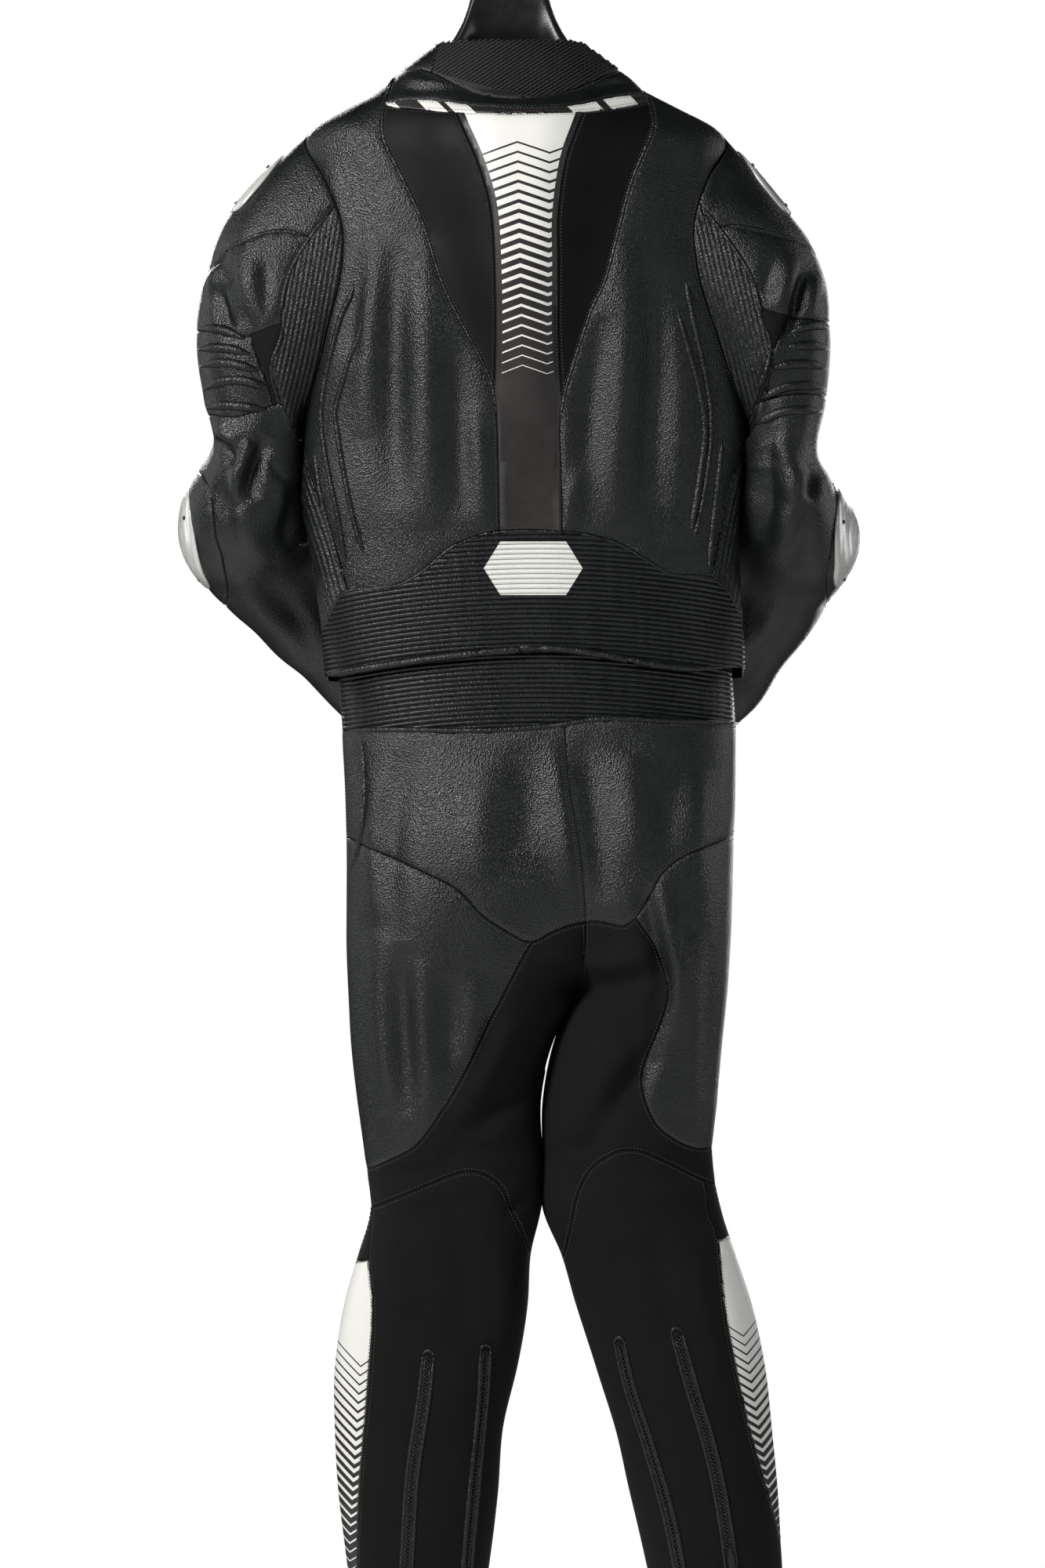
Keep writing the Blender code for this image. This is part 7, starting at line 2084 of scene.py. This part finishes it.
def make_zip(node, panels, line, from_front):
    """A zip's two rows of teeth and the raised edges of its tape, in place of the solid zip."""
    places, normals = laid_line(panels, line, ZIP_STEP, from_front)
    places, normals = smoothed(places, 6), smoothed(normals, 8)
    normals /= np.linalg.norm(normals, axis=1, keepdims=True)
    run = np.gradient(places, axis=0)
    run /= np.linalg.norm(run, axis=1, keepdims=True)
    side = np.cross(normals, run)
    teeth_at = np.arange(1, len(places) - 1, 2)
    rows = []
    for first, shift in ((0, -TOOTH_SHIFT), (1, TOOTH_SHIFT)):
        at = teeth_at[first::2]
        rows.append(box_strip(places[at] + normals[at] * ZIP_TOOTH["lift"], run[at], normals[at],
                              ZIP_TOOTH["half_width"], ZIP_TOOTH["half_length"], ZIP_TOOTH["height"], shift))
    edges = []
    for sign in (-1, 1):
        for out, down, half_width, height in ZIP_EDGES:
            line_at = places + side * sign * out - normals * down
            edges.append(piping_mesh(line_at[::3], normals[::3], half_width, height))
    if not from_front:
        top = 0 if places[0, 2] > places[-1, 2] else -1
        out = run[top] * (1 if top else -1)
        edges.append(zip_end(places[top], out, side[top], normals[top]))
    attach(mesh_object("teeth_" + node, *joined(rows), MATERIALS["dark_metal"]), "black_zip", node)
    attach(mesh_object("tape_" + node, *joined(edges), MATERIALS["leather"]), "black_zip")


# ---------------------------------------------------------------- everything

def main():
    net = jacket()
    make_garment(net, JACKET_FORMS)
    net = trousers_net()
    cut_leg(net, -1, LEFT_FORM, "left")
    cut_leg(net, 1, RIGHT_FORM, "right")
    make_garment(net, TROUSER_FORMS)
    make_stitches()
    make_piping()
    make_knit()
    for side, name in ((-1, "left"), (1, "right")):
        shoulder, elbow = PLATES[side]
        make_plate("shoulder_plate_" + name, side, *shoulder)
        make_plate("elbow_plate_" + name, side, *elbow)
    make_hanger()
    make_hook()
    calves = ("calf_left", "calf_right", "inner_leg_left", "inner_leg_right")
    for name, line in CALF_ZIPS.items():
        make_zip("calf_zip_" + name, calves, line, False)
    front = ("front_left", "front_right", "collar_left", "collar_right")
    front_line = [(FRONT_ZIP["x"], z) for z in np.linspace(FRONT_ZIP["top"], FRONT_ZIP["foot"], 12)]
    make_zip("front_zip", front, front_line, True)
    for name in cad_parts:
        if "tab" in name:
            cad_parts[name].data.materials.clear()
            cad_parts[name].data.materials.append(MATERIALS["dark_metal"])


main()


# ---------------------------------------------------------------- stage, lights and camera

FLOOR_DROP = 0.25
FLOOR_HALF = 5.0
FLOOR_BEHIND = 0.9  # it ends there so that it stays out of the picture


def make_stage():
    """A pale floor well below the suit."""
    n = Nodes("floor")
    n.set(Base_Color=n.mix(n.noise(2, 2), (0.86, 0.86, 0.86, 1), (0.90, 0.90, 0.90, 1)), Roughness=0.8)
    z = CAD_BOX[0][2] - FLOOR_DROP
    left, right = -FLOOR_HALF, FLOOR_HALF
    outline = ((left, -FLOOR_HALF), (right, -FLOOR_HALF), (right, FLOOR_BEHIND), (left, FLOOR_BEHIND))
    corners = [(x, y, z) for x, y in outline]
    floor = mesh_object("floor", corners, np.array([(0, 1, 2, 3)]), n.material, False)


# Each light: its place, the height it aims at, its width and height, its power and colour.
LIGHTS = {
    "key": ((-1.9, -2.3, 0.8), -0.75, (0.8, 1.1), 118, (1.0, 0.99, 0.97)),
    "fill": ((2.6, -1.7, -0.3), -0.9, (0.7, 1.8), 11, (0.95, 0.98, 1.0)),
    "low": ((-0.6, -2.6, -2.2), -1.3, (1.6, 0.8), 2, (1, 1, 1)),
    "rim_left": ((-2.0, 1.1, -0.3), -0.8, (0.6, 2.0), 10, (1, 1, 1)),
    "rim_right": ((2.0, 1.1, -0.3), -0.8, (0.6, 2.0), 10, (1, 1, 1)),
    "front_left": ((-0.7, 3.0, 0.4), -0.8, (0.9, 1.4), 60, (1, 1, 1)),
    "front_right": ((0.9, 2.9, -0.5), -0.9, (0.8, 1.8), 25, (1, 1, 1)),
}
WORLD_LIGHT = 0.022  # the white background lights the suit much less than it shows


def area_light(name, place, aim_z, size, power, colour):
    light = bpy.data.lights.new(name, "AREA")
    light.energy = power
    light.shape = "RECTANGLE"
    light.size, light.size_y = size
    light.color = colour
    obj = bpy.data.objects.new(name, light)
    obj.location = place
    obj.rotation_euler = (Vector((0.0, 0.0, aim_z)) - Vector(place)).to_track_quat("-Z", "Y").to_euler()
    bpy.context.scene.collection.objects.link(obj)


def make_lights():
    for name, settings in LIGHTS.items():
        area_light(name, *settings)
    world = bpy.data.worlds.new("studio")
    bpy.context.scene.world = world
    world.use_nodes = True
    tree = world.node_tree
    background = tree.nodes["Background"]
    background.inputs["Color"].default_value = (1, 1, 1, 1)
    path = tree.nodes.new("ShaderNodeLightPath")
    seen = tree.nodes.new("ShaderNodeMapRange")
    seen.inputs["To Min"].default_value = WORLD_LIGHT
    seen.inputs["To Max"].default_value = 1.0
    tree.links.new(path.outputs["Is Camera Ray"], seen.inputs["Value"])
    tree.links.new(seen.outputs["Result"], background.inputs["Strength"])


# The picture frames 1.6 m of height, a little to one side of the hook.
FRAME_HEIGHT = 1.6
FRAME_X = 0.0132
FRAME_Z = -0.92


def make_camera():
    """Square on to the back, a long lens, framed on the suit with the hook above the frame."""
    camera = bpy.data.cameras.new("camera")
    camera.lens = 200
    camera.sensor_width = 36
    distance = FRAME_HEIGHT * camera.lens / camera.sensor_width
    obj = bpy.data.objects.new("camera", camera)
    obj.location = (FRAME_X, -distance, FRAME_Z)
    obj.rotation_euler = (math.radians(90), 0, 0)
    camera.clip_end = 60
    bpy.context.scene.collection.objects.link(obj)
    bpy.context.scene.camera = obj


make_stage()
make_lights()
make_camera()
bpy.context.scene.view_settings.view_transform = "Standard"
